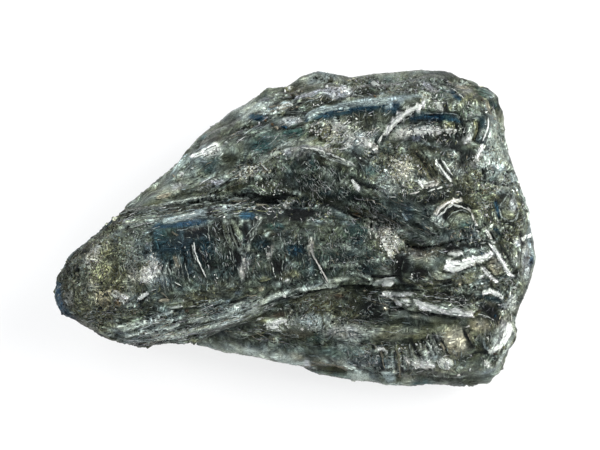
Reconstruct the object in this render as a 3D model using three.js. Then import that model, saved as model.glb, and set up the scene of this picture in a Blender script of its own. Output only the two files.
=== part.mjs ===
// Cylindrite: a small cabinet piece broken out as one solid bundle of
// intergrown, slightly bent cylindrical crystals.  Millimetres, +Z up, +X along
// the bundle, bottom centre of the bounding box at the origin.
import * as THREE from 'three';
import { mergeVertices } from 'three/addons/utils/BufferGeometryUtils.js';

// ---------------------------------------------------------------- dimensions
const ROWS = 62;          // grid rows from the left tip to the right end
const COLS = 70;          // grid columns around the bundle
const CAP_L = 0.20;       // share of the rows spent on the broken left end
const CAP_R = 0.24;       // share of the rows spent on the right end
const SKIN = 16.0;        // farthest the skin can lie from the spine
const WELD = 0.25;        // width of the blend where two crystals are grown together
const SPINE_A = [-11.0, -3.2, 5.6];
const SPINE_B = [10.5, -0.6, 4.4];
const SMOOTH = 0.7;       // grid steps of smoothing over the skin

// Direction the cabinet side faces, and the outline of the piece seen from it.
const FACE_ELEV = THREE.MathUtils.degToRad(72);
const FACE_DIST = 166.6667;
const FACE_AIM = [0.30, 0.10, 5.6];
const FACE_MID = [0.0, -0.4667];   // centre the outline is fitted about
const OUTLINE = [
  [15.53, -0.47], [15.2, 1.13], [14.73, 2.6], [14.13, 4.13], [13.8, 5.67], [13.6, 7.27],
  [12.87, 8.8], [11.27, 9.67], [9.73, 10.27], [7.87, 10.33], [6.13, 10.2], [4.67, 10.07],
  [3.33, 9.87], [2.27, 10.07], [1.13, 10.27], [0.0, 9.93], [-1.0, 9.27], [-2.07, 9.07],
  [-2.93, 8.53], [-3.73, 8.0], [-4.6, 7.53], [-5.4, 6.93], [-6.27, 6.4], [-7.0, 5.8],
  [-7.6, 5.07], [-8.2, 4.27], [-9.0, 3.53], [-9.93, 2.73], [-11.0, 1.73], [-12.13, 0.73],
  [-13.53, -0.47], [-15.33, -2.0], [-16.13, -3.4], [-16.2, -4.73], [-15.73, -5.93],
  [-14.13, -6.87], [-12.53, -7.73], [-10.53, -8.13], [-8.67, -7.87], [-7.47, -7.8],
  [-6.73, -8.0], [-5.73, -8.33], [-4.73, -8.6], [-3.67, -8.73], [-2.67, -8.8], [-1.8, -9.0],
  [-0.93, -9.2], [0.0, -9.47], [1.0, -9.93], [2.07, -10.13], [3.2, -10.33], [4.47, -10.53],
  [5.93, -10.73], [7.47, -10.73], [8.67, -10.6], [10.0, -10.73], [11.47, -10.8],
  [12.67, -10.47], [13.4, -9.67], [13.87, -8.47], [14.47, -7.33], [14.4, -6.2],
  [14.73, -5.27], [15.33, -3.87], [15.73, -2.13],
];

// Every crystal: [x, y, z, radius] along its own axis.
const CRYSTALS = {
  barrel: [[-15.1, -4.03, 5.0, 1.0], [-14.16, -3.75, 5.2, 2.1], [-12.95, -3.63, 5.5, 3.15], [-11.47, -3.58, 5.8, 4.0], [-9.6, -3.6, 6.1, 4.45], [-6.29, -3.27, 6.6, 4.25], [-2.99, -2.7, 7.2, 3.55], [0.3, -2.31, 7.7, 2.8], [3.57, -2.54, 8.0, 2.1], [6.96, -3.5, 8.0, 1.2]],
  backridge: [[-8.56, 3.63, 2.9, 0.9], [-6.67, 5.33, 3.0, 1.3], [-3.95, 7.43, 3.2, 1.8], [-0.93, 8.82, 3.4, 1.8], [3.04, 9.55, 3.6, 1.8], [7.16, 9.84, 3.6, 1.85], [11.0, 9.7, 3.6, 1.75]],
  backbump: [[0.16, 10.24, 3.7, 1.05], [2.09, 10.61, 3.7, 1.05]],
  slope: [[-10.35, 1.26, 4.0, 1.1], [-7.78, 2.62, 4.6, 1.9], [-4.41, 4.09, 5.3, 2.4], [-0.37, 5.19, 5.8, 2.7], [3.66, 5.94, 6.1, 2.9]],
  flank: [[-9.05, 1.01, 5.6, 1.6], [-5.03, 1.66, 6.2, 2.0], [-0.36, 2.02, 6.8, 2.2], [2.95, 1.63, 7.1, 2.2]],
  bar: [[-0.24, 6.36, 6.9, 0.8], [2.3, 7.0, 7.5, 1.05], [4.97, 7.38, 7.8, 1.15], [7.64, 7.6, 7.8, 1.1], [10.67, 7.85, 7.5, 1.0]],
  bar2: [[-3.22, 7.6, 5.5, 0.8], [-0.38, 8.64, 6.0, 0.95], [2.33, 8.99, 6.2, 0.95], [4.22, 8.6, 6.1, 0.8]],
  upper: [[-4.44, 5.34, 4.6, 2.2], [0.3, 6.52, 5.3, 2.8], [5.7, 6.99, 5.6, 3.0], [10.78, 6.92, 5.4, 2.8]],
  centre: [[-3.71, 1.44, 5.8, 1.7], [-0.7, 2.75, 6.7, 2.3], [2.95, 2.69, 7.3, 2.6], [6.91, 1.08, 7.3, 2.6], [10.55, -0.5, 6.8, 2.3]],
  c0: [[9.15, 8.88, 4.8, 1.9], [12.01, 8.51, 4.6, 1.75]],
  c1: [[5.64, 5.55, 7.0, 1.2], [9.65, 5.97, 7.2, 1.3], [12.21, 6.22, 6.9, 1.2]],
  c2: [[5.98, 3.99, 6.6, 2.0], [10.3, 3.74, 6.7, 2.0], [12.6, 3.63, 6.2, 1.9]],
  c3: [[8.57, 0.16, 6.9, 1.9], [11.56, 0.44, 6.9, 1.9], [13.6, 0.78, 6.3, 1.7]],
  c4: [[7.32, -3.85, 8.7, 1.15], [10.05, -3.71, 8.7, 1.15], [13.24, -2.84, 8.1, 1.05]],
  c5: [[7.86, -4.66, 6.4, 1.5], [11.17, -4.6, 6.2, 1.6], [13.52, -4.42, 5.6, 1.5]],
  fill: [[2.31, 1.07, 4.8, 4.0], [7.02, 1.49, 4.6, 4.6], [10.73, 1.55, 4.4, 4.3]],
  rim: [[12.7, 8.82, 2.6, 1.4], [13.45, 5.76, 2.6, 1.3], [13.98, 2.8, 2.8, 1.5], [14.37, -0.12, 3.0, 1.5], [13.97, -3.03, 2.8, 1.5], [13.05, -5.77, 2.6, 1.5], [12.61, -7.79, 2.4, 1.5]],
  lower: [[-5.4, -6.66, 2.3, 0.75], [-2.71, -6.6, 2.6, 1.3], [0.63, -6.3, 3.0, 2.1], [4.3, -6.41, 3.4, 2.7], [8.96, -6.74, 3.6, 2.85], [11.89, -7.1, 3.4, 2.4]],
  under: [[-7.73, -4.46, 3.4, 1.4], [-3.7, -4.64, 4.0, 2.2], [0.3, -4.26, 4.6, 2.6], [4.95, -4.1, 5.0, 2.6]],
  lip: [[0.84, -8.02, 1.7, 0.6], [3.65, -8.53, 1.8, 0.9], [8.33, -8.79, 2.0, 1.2], [11.95, -8.66, 2.0, 1.25]],
  d3: [[5.07, -4.99, 5.2, 0.9], [8.88, -5.9, 5.5, 1.1], [12.6, -6.17, 5.0, 1.2]],
  base: [[-4.47, 1.92, 2.2, 2.2], [0.3, 1.92, 2.2, 3.6], [7.12, 1.27, 2.0, 4.6], [9.84, 0.91, 2.0, 4.5]],
  end: [[11.6, 8.0, 4.4, 1.5], [12.3, 5.5, 5.0, 1.5], [12.8, 2.8, 5.3, 1.6], [13.4, 0.0, 5.2, 1.8], [13.2, -2.8, 5.4, 1.6], [12.4, -5.6, 4.9, 1.7], [11.9, -7.4, 4.0, 1.5]],
  keelfront: [[-4.6, -5.7, 1.5, 0.8], [0.2, -6.0, 1.8, 1.7], [5.5, -6.2, 2.1, 2.2], [11.2, -6.1, 2.2, 2.3]],
  keelback: [[-6.6, 4.2, 1.8, 1.5], [-1.5, 7.0, 2.0, 1.9], [4.5, 7.6, 2.2, 2.2], [11.0, 7.4, 2.3, 2.2]],
  keelbarrel: [[-11.4, -3.3, 4.2, 2.6], [-7.4, -3.0, 2.6, 2.7], [-2.5, -2.6, 2.4, 2.7], [2.5, -2.8, 2.4, 2.8], [9.5, -3.4, 2.4, 2.8]],
  keelleft: [[-9.0, 0.4, 3.2, 1.6], [-6.6, 1.3, 2.2, 2.2], [-3.0, 1.2, 2.2, 2.5]],
};

// ------------------------------------------------------------ crystal volume
// A crystal is a chain of tapering round segments along a Catmull-Rom axis.
function chain(points, steps) {
  const last = points.length - 1;
  const ends = [
    points[0].map((v, k) => 2 * v - points[1][k]),
    ...points,
    points[last].map((v, k) => 2 * v - points[last - 1][k]),
  ];
  const out = [];
  for (let n = 0; n <= steps; n++) {
    const u = (n / steps) * last;
    const i = Math.min(Math.floor(u), last - 1);
    const t = u - i;
    const [a, b, c, d] = [ends[i], ends[i + 1], ends[i + 2], ends[i + 3]];
    out.push(a.map((_, k) => (last === 1)
      ? b[k] + (c[k] - b[k]) * t
      : 0.5 * (2 * b[k] + (c[k] - a[k]) * t
        + (2 * a[k] - 5 * b[k] + 4 * c[k] - d[k]) * t * t
        + (-a[k] + 3 * b[k] - 3 * c[k] + d[k]) * t * t * t)));
  }
  return out;
}
const chains = Object.entries(CRYSTALS).map(([name, pts]) =>
  chain(pts, name === 'barrel' ? 14 : Math.max(4, 2 * (pts.length - 1))));

function toCrystal(c, x, y, z) {
  let best = Infinity;
  for (let i = 0; i + 1 < c.length; i++) {
    const a = c[i], b = c[i + 1];
    const bx = b[0] - a[0], by = b[1] - a[1], bz = b[2] - a[2];
    const px = x - a[0], py = y - a[1], pz = z - a[2];
    const h = Math.min(1, Math.max(0, (px * bx + py * by + pz * bz) / (bx * bx + by * by + bz * bz)));
    const d = Math.hypot(px - h * bx, py - h * by, pz - h * bz) - (a[3] + (b[3] - a[3]) * h);
    if (d < best) best = d;
  }
  return best;
}
function toBundle(x, y, z) {
  let best = null;
  for (const c of chains) {
    const d = toCrystal(c, x, y, z);
    if (best === null) { best = d; continue; }
    const h = Math.max(WELD - Math.abs(best - d), 0) / WELD;
    best = Math.min(best, d) - h * h * WELD * 0.25;
  }
  return best;
}

// ------------------------------------------------------------------- the skin
// Rays leave a spine inside the bundle and stop where they last leave a crystal.
const rays = [];
for (let i = 0; i <= ROWS; i++) {
  const s = i / ROWS;
  const phi = s < CAP_L ? -Math.PI / 2 * (1 - s / CAP_L)
    : s > 1 - CAP_R ? Math.PI / 2 * (1 - (1 - s) / CAP_R) : 0;
  const g = Math.min(1, Math.max(0, (s - CAP_L) / (1 - CAP_L - CAP_R)));
  const o = SPINE_A.map((v, k) => v + (SPINE_B[k] - v) * g);
  for (let j = 0; j < COLS; j++) {
    const th = (j / COLS) * 2 * Math.PI;
    rays.push({ o, d: [Math.sin(phi), Math.cos(phi) * Math.cos(th), Math.cos(phi) * Math.sin(th)] });
  }
}
const floorAt = ({ o, d }) => (d[2] < -1e-6 ? -o[2] / d[2] : Infinity);
let reach = rays.map((ray) => {
  const { o, d } = ray;
  const at = (r) => toBundle(o[0] + d[0] * r, o[1] + d[1] * r, o[2] + d[2] * r);
  const step = SKIN / 39;
  let hi = SKIN, lo = 0;
  for (let r = SKIN; r > 0; r -= step) {
    if (at(r) < 0) { lo = r; hi = Math.min(SKIN, r + step); break; }
  }
  for (let n = 0; n < 10; n++) {
    const mid = (lo + hi) / 2;
    if (at(mid) < 0) lo = mid; else hi = mid;
  }
  return Math.min((lo + hi) / 2, floorAt(ray));
});

// Light smoothing over the grid, columns wrapped, rows held at the ends.
const KERNEL = [-3, -2, -1, 0, 1, 2, 3].map((k) => Math.exp(-k * k / (2 * SMOOTH * SMOOTH)));
const KSUM = KERNEL.reduce((a, b) => a + b, 0);
const row = (i) => Math.min(ROWS, Math.max(0, i));
for (let pass = 0; pass < 2; pass++) {
  const down = reach.map((_, n) => {
    const i = Math.floor(n / COLS), j = n % COLS;
    return KERNEL.reduce((a, w, k) => a + w * reach[row(i + k - 3) * COLS + j], 0) / KSUM;
  });
  reach = down.map((_, n) => {
    const i = Math.floor(n / COLS), j = n % COLS;
    return KERNEL.reduce((a, w, k) => a + w * down[i * COLS + (j + k - 3 + COLS) % COLS], 0) / KSUM;
  });
}
for (const i of [0, ROWS]) {
  let mean = 0;
  for (let j = 0; j < COLS; j++) mean += reach[i * COLS + j] / COLS;
  for (let j = 0; j < COLS; j++) reach[i * COLS + j] = mean;
}
const skin = rays.map((ray, n) => {
  const r = Math.min(reach[n], floorAt(ray));
  return ray.o.map((v, k) => v + ray.d[k] * r);
});

// --------------------------------------------------------- fit to the outline
const SIN = Math.sin(FACE_ELEV), COS = Math.cos(FACE_ELEV);
const eye = [FACE_AIM[0], FACE_AIM[1] - COS * FACE_DIST, FACE_AIM[2] + SIN * FACE_DIST];
function seen(p) {
  const x = p[0] - eye[0], y = p[1] - eye[1], z = p[2] - eye[2];
  const depth = y * COS - z * SIN;
  return [FACE_DIST * x / depth - FACE_MID[0], FACE_DIST * (y * SIN + z * COS) / depth - FACE_MID[1]];
}
const BINS = 360;
const wanted = Array.from({ length: BINS }, (_, k) => {
  const ang = (k + 0.5) / BINS * 2 * Math.PI;
  const dx = Math.cos(ang), dy = Math.sin(ang);
  let far = 0;
  OUTLINE.forEach((a, i) => {
    const b = OUTLINE[(i + 1) % OUTLINE.length];
    const x1 = a[0] - FACE_MID[0], y1 = a[1] - FACE_MID[1];
    const x2 = b[0] - FACE_MID[0], y2 = b[1] - FACE_MID[1];
    const den = dx * (y2 - y1) - dy * (x2 - x1);
    if (Math.abs(den) < 1e-9) return;
    const t = (x1 * (y2 - y1) - y1 * (x2 - x1)) / den;
    const u = (x1 * dy - y1 * dx) / den;
    if (t > 0 && u >= -1e-9 && u <= 1 + 1e-9) far = Math.max(far, t);
  });
  return far;
});
for (let pass = 0; pass < 2; pass++) {
  const polar = skin.map((p) => {
    const [u, v] = seen(p);
    return { u, v, r: Math.hypot(u, v), a: (Math.atan2(v, u) / (2 * Math.PI) + 1) % 1 * BINS };
  });
  const now = new Array(BINS).fill(0);
  for (const q of polar) {
    const b = Math.floor(q.a) % BINS;
    now[b] = Math.max(now[b], q.r);
  }
  for (let k = 0; k < BINS; k++) if (now[k] === 0) now[k] = now[(k + BINS - 1) % BINS];
  const wide = now.map((v, k) => Math.max(
    now[(k + BINS - 2) % BINS], now[(k + BINS - 1) % BINS], v, now[(k + 1) % BINS], now[(k + 2) % BINS]));
  const ratio = wide.map((v, k) => wanted[k] / v);
  const even = ratio.map((_, k) => {
    let sum = 0;
    for (let m = -2; m <= 2; m++) sum += ratio[(k + m + BINS) % BINS];
    return sum / 5;
  });
  polar.forEach((q, n) => {
    const k = q.a - 0.5, i = Math.floor(k), w = k - i;
    const f = even[(i + BINS) % BINS] * (1 - w) + even[(i + 1) % BINS] * w;
    const rel = Math.min(1, q.r / wide[(i + BINS) % BINS]);
    const grow = (f - 1) * rel * rel;
    skin[n][0] += q.u * grow;
    skin[n][1] += q.v * grow / SIN;
  });
}

// ------------------------------------------------------------------- the mesh
const sphere = new THREE.SphereGeometry(1, COLS, ROWS);
const pos = sphere.getAttribute('position');
for (let i = 0; i <= ROWS; i++) {
  for (let j = 0; j <= COLS; j++) {
    const p = skin[i * COLS + ((i === 0 || i === ROWS) ? 0 : j % COLS)];
    pos.setXYZ(i * (COLS + 1) + j, p[0], p[1], Math.max(0, p[2]));
  }
}
sphere.deleteAttribute('normal');
sphere.deleteAttribute('uv');
const geometry = mergeVertices(sphere, 1e-5);
geometry.computeBoundingBox();
const box = geometry.boundingBox;
geometry.translate(-(box.min.x + box.max.x) / 2, -(box.min.y + box.max.y) / 2, -box.min.z);

// Faces turn outward.
const idx = geometry.getIndex();
const v = geometry.getAttribute('position');
const a = new THREE.Vector3(), b = new THREE.Vector3(), c = new THREE.Vector3();
let volume = 0;
for (let i = 0; i < idx.count; i += 3) {
  a.fromBufferAttribute(v, idx.getX(i));
  b.fromBufferAttribute(v, idx.getX(i + 1));
  c.fromBufferAttribute(v, idx.getX(i + 2));
  volume += a.dot(b.cross(c)) / 6;
}
if (volume < 0) {
  for (let i = 0; i < idx.count; i += 3) {
    const k = idx.getX(i);
    idx.setX(i, idx.getX(i + 1));
    idx.setX(i + 1, k);
  }
}
geometry.computeVertexNormals();

const cylindrite = new THREE.Mesh(geometry, new THREE.MeshStandardMaterial({
  color: 0x5b6066, metalness: 0.9, roughness: 0.4,
}));
cylindrite.name = 'cylindrite';

const group = new THREE.Group();
group.name = 'cylindrite_specimen';
group.add(cylindrite);
export default group;
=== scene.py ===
import sys
import bpy
import math
import numpy as np
from mathutils import Matrix, Vector


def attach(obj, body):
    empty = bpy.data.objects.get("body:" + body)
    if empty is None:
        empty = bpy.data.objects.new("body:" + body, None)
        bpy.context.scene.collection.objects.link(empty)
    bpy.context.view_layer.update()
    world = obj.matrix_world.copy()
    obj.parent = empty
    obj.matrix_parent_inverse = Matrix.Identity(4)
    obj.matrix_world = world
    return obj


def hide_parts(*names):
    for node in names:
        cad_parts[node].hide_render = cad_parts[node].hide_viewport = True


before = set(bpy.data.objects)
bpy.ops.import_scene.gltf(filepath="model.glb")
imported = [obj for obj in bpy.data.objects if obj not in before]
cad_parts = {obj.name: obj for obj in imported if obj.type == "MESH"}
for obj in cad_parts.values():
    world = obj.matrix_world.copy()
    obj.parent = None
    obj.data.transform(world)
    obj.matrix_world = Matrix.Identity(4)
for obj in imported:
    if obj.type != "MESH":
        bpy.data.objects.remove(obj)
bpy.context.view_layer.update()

f4 = np.float32

# =====================================================================
# 1. The bundle: the same crystals, spine and outline as the CAD solid, mm
# =====================================================================
SHIFT = np.array([0.193375, 0.858135, 0.0])      # bounding-box centre of the bundle
SPINE_A = np.array([-11.0, -3.2, 5.6])
SPINE_B = np.array([10.5, -0.6, 4.4])
CAP_L, CAP_R, SKIN, WELD = 0.20, 0.24, 16.0, 0.22
ELEV = math.radians(72.0)
DIST = 166.6667
AIM = np.array([0.30, 0.10, 5.6])
SIN, COS = math.sin(ELEV), math.cos(ELEV)
BACK = np.array([0.0, -COS, SIN])
UP = np.array([0.0, SIN, COS])
EYE = AIM + BACK * DIST
PXMM = 15.0                                      # pixels per millimetre at the aim

OUTLINE = [
    (533, 232), (528, 208), (521, 186), (511.5, 163), (506, 140), (505, 115.5), (494.5, 92),
    (469, 80), (446, 70), (418, 69), (392, 72), (370, 74), (350, 77), (334, 74),
    (317, 71), (300, 76), (285, 86), (269, 89), (256, 97), (244, 105), (231, 112),
    (220, 122), (207.5, 130.5), (197, 139.5), (188, 150.5), (179, 162.5), (166.5, 173.5), (152, 185),
    (135, 199), (118, 214), (97, 232), (68.5, 254), (55.5, 275.5), (54.5, 297), (62, 315.5),
    (86.5, 330), (111, 343), (142, 349), (170, 345.5), (188, 343.5), (199, 345), (214, 350),
    (229, 354), (245, 356), (260, 357), (273, 360), (286, 363), (300, 367), (315, 374),
    (331, 377), (348, 380), (367, 383), (389, 387), (412, 388), (430, 386), (450, 388),
    (472, 388), (490, 383), (501, 371), (508.5, 353), (517, 335.5), (516, 318), (521, 304),
    (530, 283), (536, 257)]
MIDPX = (300.0, 232.0)

CRYSTALS = {
    "barrel": [[-15.1, -4.03, 5.0, 1.0], [-14.16, -3.75, 5.2, 2.1], [-12.95, -3.63, 5.5, 3.15], [-11.47, -3.58, 5.8, 4.0], [-9.6, -3.6, 6.1, 4.45], [-6.29, -3.27, 6.6, 4.25], [-2.99, -2.7, 7.2, 3.55], [0.3, -2.31, 7.7, 2.8], [3.57, -2.54, 8.0, 2.1], [6.96, -3.5, 8.0, 1.2]],
    "backridge": [[-8.56, 3.63, 2.9, 0.9], [-6.67, 5.33, 3.0, 1.3], [-3.95, 7.43, 3.2, 1.8], [-0.93, 8.82, 3.4, 1.8], [3.04, 9.55, 3.6, 1.8], [7.16, 9.84, 3.6, 1.85], [11.0, 9.7, 3.6, 1.75]],
    "backbump": [[0.16, 10.24, 3.7, 1.05], [2.09, 10.61, 3.7, 1.05]],
    "slope": [[-10.35, 1.26, 4.0, 1.1], [-7.78, 2.62, 4.6, 1.9], [-4.41, 4.09, 5.3, 2.4], [-0.37, 5.19, 5.8, 2.7], [3.66, 5.94, 6.1, 2.9]],
    "flank": [[-9.05, 1.01, 5.6, 1.6], [-5.03, 1.66, 6.2, 2.0], [-0.36, 2.02, 6.8, 2.2], [2.95, 1.63, 7.1, 2.2]],
    "bar": [[-0.24, 6.36, 6.9, 0.8], [2.3, 7.0, 7.5, 1.05], [4.97, 7.38, 7.8, 1.15], [7.64, 7.6, 7.8, 1.1], [10.67, 7.85, 7.5, 1.0]],
    "bar2": [[-3.22, 7.6, 5.5, 0.8], [-0.38, 8.64, 6.0, 0.95], [2.33, 8.99, 6.2, 0.95], [4.22, 8.6, 6.1, 0.8]],
    "upper": [[-4.44, 5.34, 4.6, 2.2], [0.3, 6.52, 5.3, 2.8], [5.7, 6.99, 5.6, 3.0], [10.78, 6.92, 5.4, 2.8]],
    "centre": [[-3.71, 1.44, 5.8, 1.7], [-0.7, 2.75, 6.7, 2.3], [2.95, 2.69, 7.3, 2.6], [6.91, 1.08, 7.3, 2.6], [10.55, -0.5, 6.8, 2.3]],
    "c0": [[9.15, 8.88, 4.8, 1.9], [12.01, 8.51, 4.6, 1.75]],
    "c1": [[5.64, 5.55, 7.0, 1.2], [9.65, 5.97, 7.2, 1.3], [12.21, 6.22, 6.9, 1.2]],
    "c2": [[5.98, 3.99, 6.6, 2.0], [10.3, 3.74, 6.7, 2.0], [12.6, 3.63, 6.2, 1.9]],
    "c3": [[8.57, 0.16, 6.9, 1.9], [11.56, 0.44, 6.9, 1.9], [13.6, 0.78, 6.3, 1.7]],
    "c4": [[7.32, -3.85, 8.7, 1.15], [10.05, -3.71, 8.7, 1.15], [13.24, -2.84, 8.1, 1.05]],
    "c5": [[7.86, -4.66, 6.4, 1.5], [11.17, -4.6, 6.2, 1.6], [13.52, -4.42, 5.6, 1.5]],
    "fill": [[2.31, 1.07, 4.8, 4.0], [7.02, 1.49, 4.6, 4.6], [10.73, 1.55, 4.4, 4.3]],
    "rim": [[12.7, 8.82, 2.6, 1.4], [13.45, 5.76, 2.6, 1.3], [13.98, 2.8, 2.8, 1.5], [14.37, -0.12, 3.0, 1.5], [13.97, -3.03, 2.8, 1.5], [13.05, -5.77, 2.6, 1.5], [12.61, -7.79, 2.4, 1.5]],
    "lower": [[-5.4, -6.66, 2.3, 0.75], [-2.71, -6.6, 2.6, 1.3], [0.63, -6.3, 3.0, 2.1], [4.3, -6.41, 3.4, 2.7], [8.96, -6.74, 3.6, 2.85], [11.89, -7.1, 3.4, 2.4]],
    "under": [[-7.73, -4.46, 3.4, 1.4], [-3.7, -4.64, 4.0, 2.2], [0.3, -4.26, 4.6, 2.6], [4.95, -4.1, 5.0, 2.6]],
    "lip": [[0.84, -8.02, 1.7, 0.6], [3.65, -8.53, 1.8, 0.9], [8.33, -8.79, 2.0, 1.2], [11.95, -8.66, 2.0, 1.25]],
    "d3": [[5.07, -4.99, 5.2, 0.9], [8.88, -5.9, 5.5, 1.1], [12.6, -6.17, 5.0, 1.2]],
    "base": [[-4.47, 1.92, 2.2, 2.2], [0.3, 1.92, 2.2, 3.6], [7.12, 1.27, 2.0, 4.6], [9.84, 0.91, 2.0, 4.5]],
    "end": [[11.6, 8.0, 4.4, 1.5], [12.3, 5.5, 5.0, 1.5], [12.8, 2.8, 5.3, 1.6], [13.4, 0.0, 5.2, 1.8], [13.2, -2.8, 5.4, 1.6], [12.4, -5.6, 4.9, 1.7], [11.9, -7.4, 4.0, 1.5]],
    "keelfront": [[-4.6, -5.7, 1.5, 0.8], [0.2, -6.0, 1.8, 1.7], [5.5, -6.2, 2.1, 2.2], [11.2, -6.1, 2.2, 2.3]],
    "keelback": [[-6.6, 4.2, 1.8, 1.5], [-1.5, 7.0, 2.0, 1.9], [4.5, 7.6, 2.2, 2.2], [11.0, 7.4, 2.3, 2.2]],
    "keelbarrel": [[-11.4, -3.3, 4.2, 2.6], [-7.4, -3.0, 2.6, 2.7], [-2.5, -2.6, 2.4, 2.7], [2.5, -2.8, 2.4, 2.8], [9.5, -3.4, 2.4, 2.8]],
    "keelleft": [[-9.0, 0.4, 3.2, 1.6], [-6.6, 1.3, 2.2, 2.2], [-3.0, 1.2, 2.2, 2.5]],
}


def chain(points, steps):
    p = np.array(points, float)
    m = len(p)
    if m == 2:
        t = np.linspace(0, 1, steps + 1)[:, None]
        return p[0] * (1 - t) + p[1] * t
    e = np.vstack([2 * p[0] - p[1], p, 2 * p[-1] - p[-2]])
    out = []
    for u in np.linspace(0, m - 1, steps + 1):
        i = min(int(u), m - 2)
        t = u - i
        a, b, c, d = e[i], e[i + 1], e[i + 2], e[i + 3]
        out.append(0.5 * (2 * b + (c - a) * t + (2 * a - 5 * b + 4 * c - d) * t * t
                          + (-a + 3 * b - 3 * c + d) * t ** 3))
    return np.array(out)


CHAINS = [(n, chain(p, 14 if n == "barrel" else max(4, 2 * (len(p) - 1))).astype(f4))
          for n, p in CRYSTALS.items()]


def to_crystal(c, P):
    best = None
    for a, b in zip(c[:-1], c[1:]):
        ba = b[:3] - a[:3]
        pa = P - a[:3]
        h = np.clip((pa @ ba) / (ba @ ba), 0, 1)
        q = pa - h[..., None] * ba
        d = np.sqrt((q * q).sum(-1)) - (a[3] + (b[3] - a[3]) * h)
        best = d if best is None else np.minimum(best, d)
    return best


def to_bundle(P):
    best = None
    for _, c in CHAINS:
        d = to_crystal(c, P)
        if best is None:
            best = d
            continue
        h = np.maximum(WELD - np.abs(best - d), 0) / WELD
        best = np.minimum(best, d) - h * h * WELD * 0.25
    return best


def ray_grid(s, th):
    """Origins (rows) and directions (rows, cols) of the rays; th is (rows, cols)."""
    phi = np.where(s < CAP_L, -np.pi / 2 * (1 - s / CAP_L),
                   np.where(s > 1 - CAP_R, np.pi / 2 * (1 - (1 - s) / CAP_R), 0))
    g = np.clip((s - CAP_L) / (1 - CAP_L - CAP_R), 0, 1)
    O = SPINE_A + (SPINE_B - SPINE_A) * g[:, None]
    cp, sp = np.cos(phi)[:, None], np.sin(phi)[:, None]
    D = np.stack([sp + 0 * th, cp * np.cos(th), cp * np.sin(th)], -1)
    return O.astype(f4), D.astype(f4)


def gauss(a, sig, axis, wrap):
    n = int(3 * sig + 1)
    k = np.exp(-0.5 * (np.arange(-n, n + 1) / sig) ** 2)
    k /= k.sum()
    pad = [(0, 0)] * a.ndim
    pad[axis] = (n, n)
    b = np.pad(a, pad, mode="wrap" if wrap else "edge")
    out = 0
    L = a.shape[axis]
    for i, w in enumerate(k):
        sl = [slice(None)] * a.ndim
        sl[axis] = slice(i, i + L)
        out = out + w * b[tuple(sl)]
    return out


# ---- coarse reach, rays marched from outside
CN, CM = 110, 120
cs = np.linspace(0, 1, CN + 1)
cth = np.tile(np.linspace(0, 2 * np.pi, CM, endpoint=False), (CN + 1, 1))
cO, cD = ray_grid(cs, cth)
cOb = np.broadcast_to(cO[:, None, :], cD.shape)
cr = np.full((CN + 1, CM), SKIN, f4)
live = np.ones(cr.shape, bool)
for _ in range(60):
    idx = np.where(live)
    if len(idx[0]) == 0:
        break
    d = to_bundle(cOb[idx] + cD[idx] * cr[idx][:, None])
    cr[idx] -= np.maximum(d * 0.96, 0.012)
    live[idx] = (d > 0.02) & (cr[idx] > 0.3)

# ---- fine grid: columns spread evenly over the skin, closer together on top
ROWS, COLS = 414, 238
fs = np.linspace(0, 1, ROWS + 1)
rs = np.clip(fs * CN, 0, CN - 1e-6)
ri = rs.astype(int)
rw = (rs - ri)[:, None]
row_r = cr[ri] * (1 - rw) + cr[np.minimum(ri + 1, CN)] * rw
oC, dC = ray_grid(fs, np.tile(cth[0], (ROWS + 1, 1)))
pC = oC[:, None, :] + dC * row_r[..., None]
seg = np.linalg.norm(np.roll(pC, -1, 1) - pC, axis=-1)
mid = cth[0] + np.pi / CM
top = 0.5 + 0.5 * np.tanh((np.cos(mid - np.pi / 2 + 0.12) + 0.28) * 4.0)
wgt = (0.55 * seg + 0.45 * seg.mean(1, keepdims=True)) * (0.30 + 0.70 * top)
wgt = gauss(wgt, 5.0, 0, False)
cum = np.concatenate([np.zeros((ROWS + 1, 1)), np.cumsum(wgt, 1)], 1)
cum /= cum[:, -1:]
fth = np.empty((ROWS + 1, COLS))
grid_t = np.linspace(0, 2 * np.pi, CM + 1)
want = np.linspace(0, 1, COLS, endpoint=False)
for i in range(ROWS + 1):
    fth[i] = np.interp(want, cum[i], grid_t)
O, D = ray_grid(fs, fth)
Ob = np.broadcast_to(O[:, None, :], D.shape)
tj = fth / (2 * np.pi) * CM
tj0 = np.floor(tj).astype(int)
tw = tj - tj0
a0 = np.take_along_axis(row_r, tj0 % CM, 1)
a1 = np.take_along_axis(row_r, (tj0 + 1) % CM, 1)
# start just outside and walk in
reach = (np.maximum(a0, a1) + 0.25).astype(f4)
live = np.ones(reach.shape, bool)
for _ in range(26):
    idx = np.where(live)
    if len(idx[0]) == 0:
        break
    d = to_bundle(Ob[idx] + D[idx] * reach[idx][:, None])
    reach[idx] -= np.maximum(d * 0.95, 0.006)
    live[idx] = (d > 0.012) & (reach[idx] > 0.3)
reach = gauss(gauss(reach, 2.0, 0, False), 1.6, 1, True)
reach[0] = reach[0].mean()
reach[-1] = reach[-1].mean()
floor_r = np.where(D[..., 2] < -1e-6, -Ob[..., 2] / np.minimum(D[..., 2], -1e-6), 1e9)
P = Ob + D * np.minimum(reach, floor_r)[..., None]
P = P.astype(float)


# ------------------------------------------------------------ small helpers
def hsh(i, j, k, seed):
    n = (i.astype(np.int64) * 73856093) ^ (j.astype(np.int64) * 19349663) ^ (k.astype(np.int64) * 83492791) ^ (seed * 2654435761 + 1013904223)
    n = (n & 0xFFFFFFFF).astype(np.uint32)
    n ^= n >> np.uint32(16)
    n *= np.uint32(0x7FEB352D)
    n ^= n >> np.uint32(15)
    n *= np.uint32(0x846CA68B)
    n ^= n >> np.uint32(16)
    return n.astype(np.float64) / 4294967296.0


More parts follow.
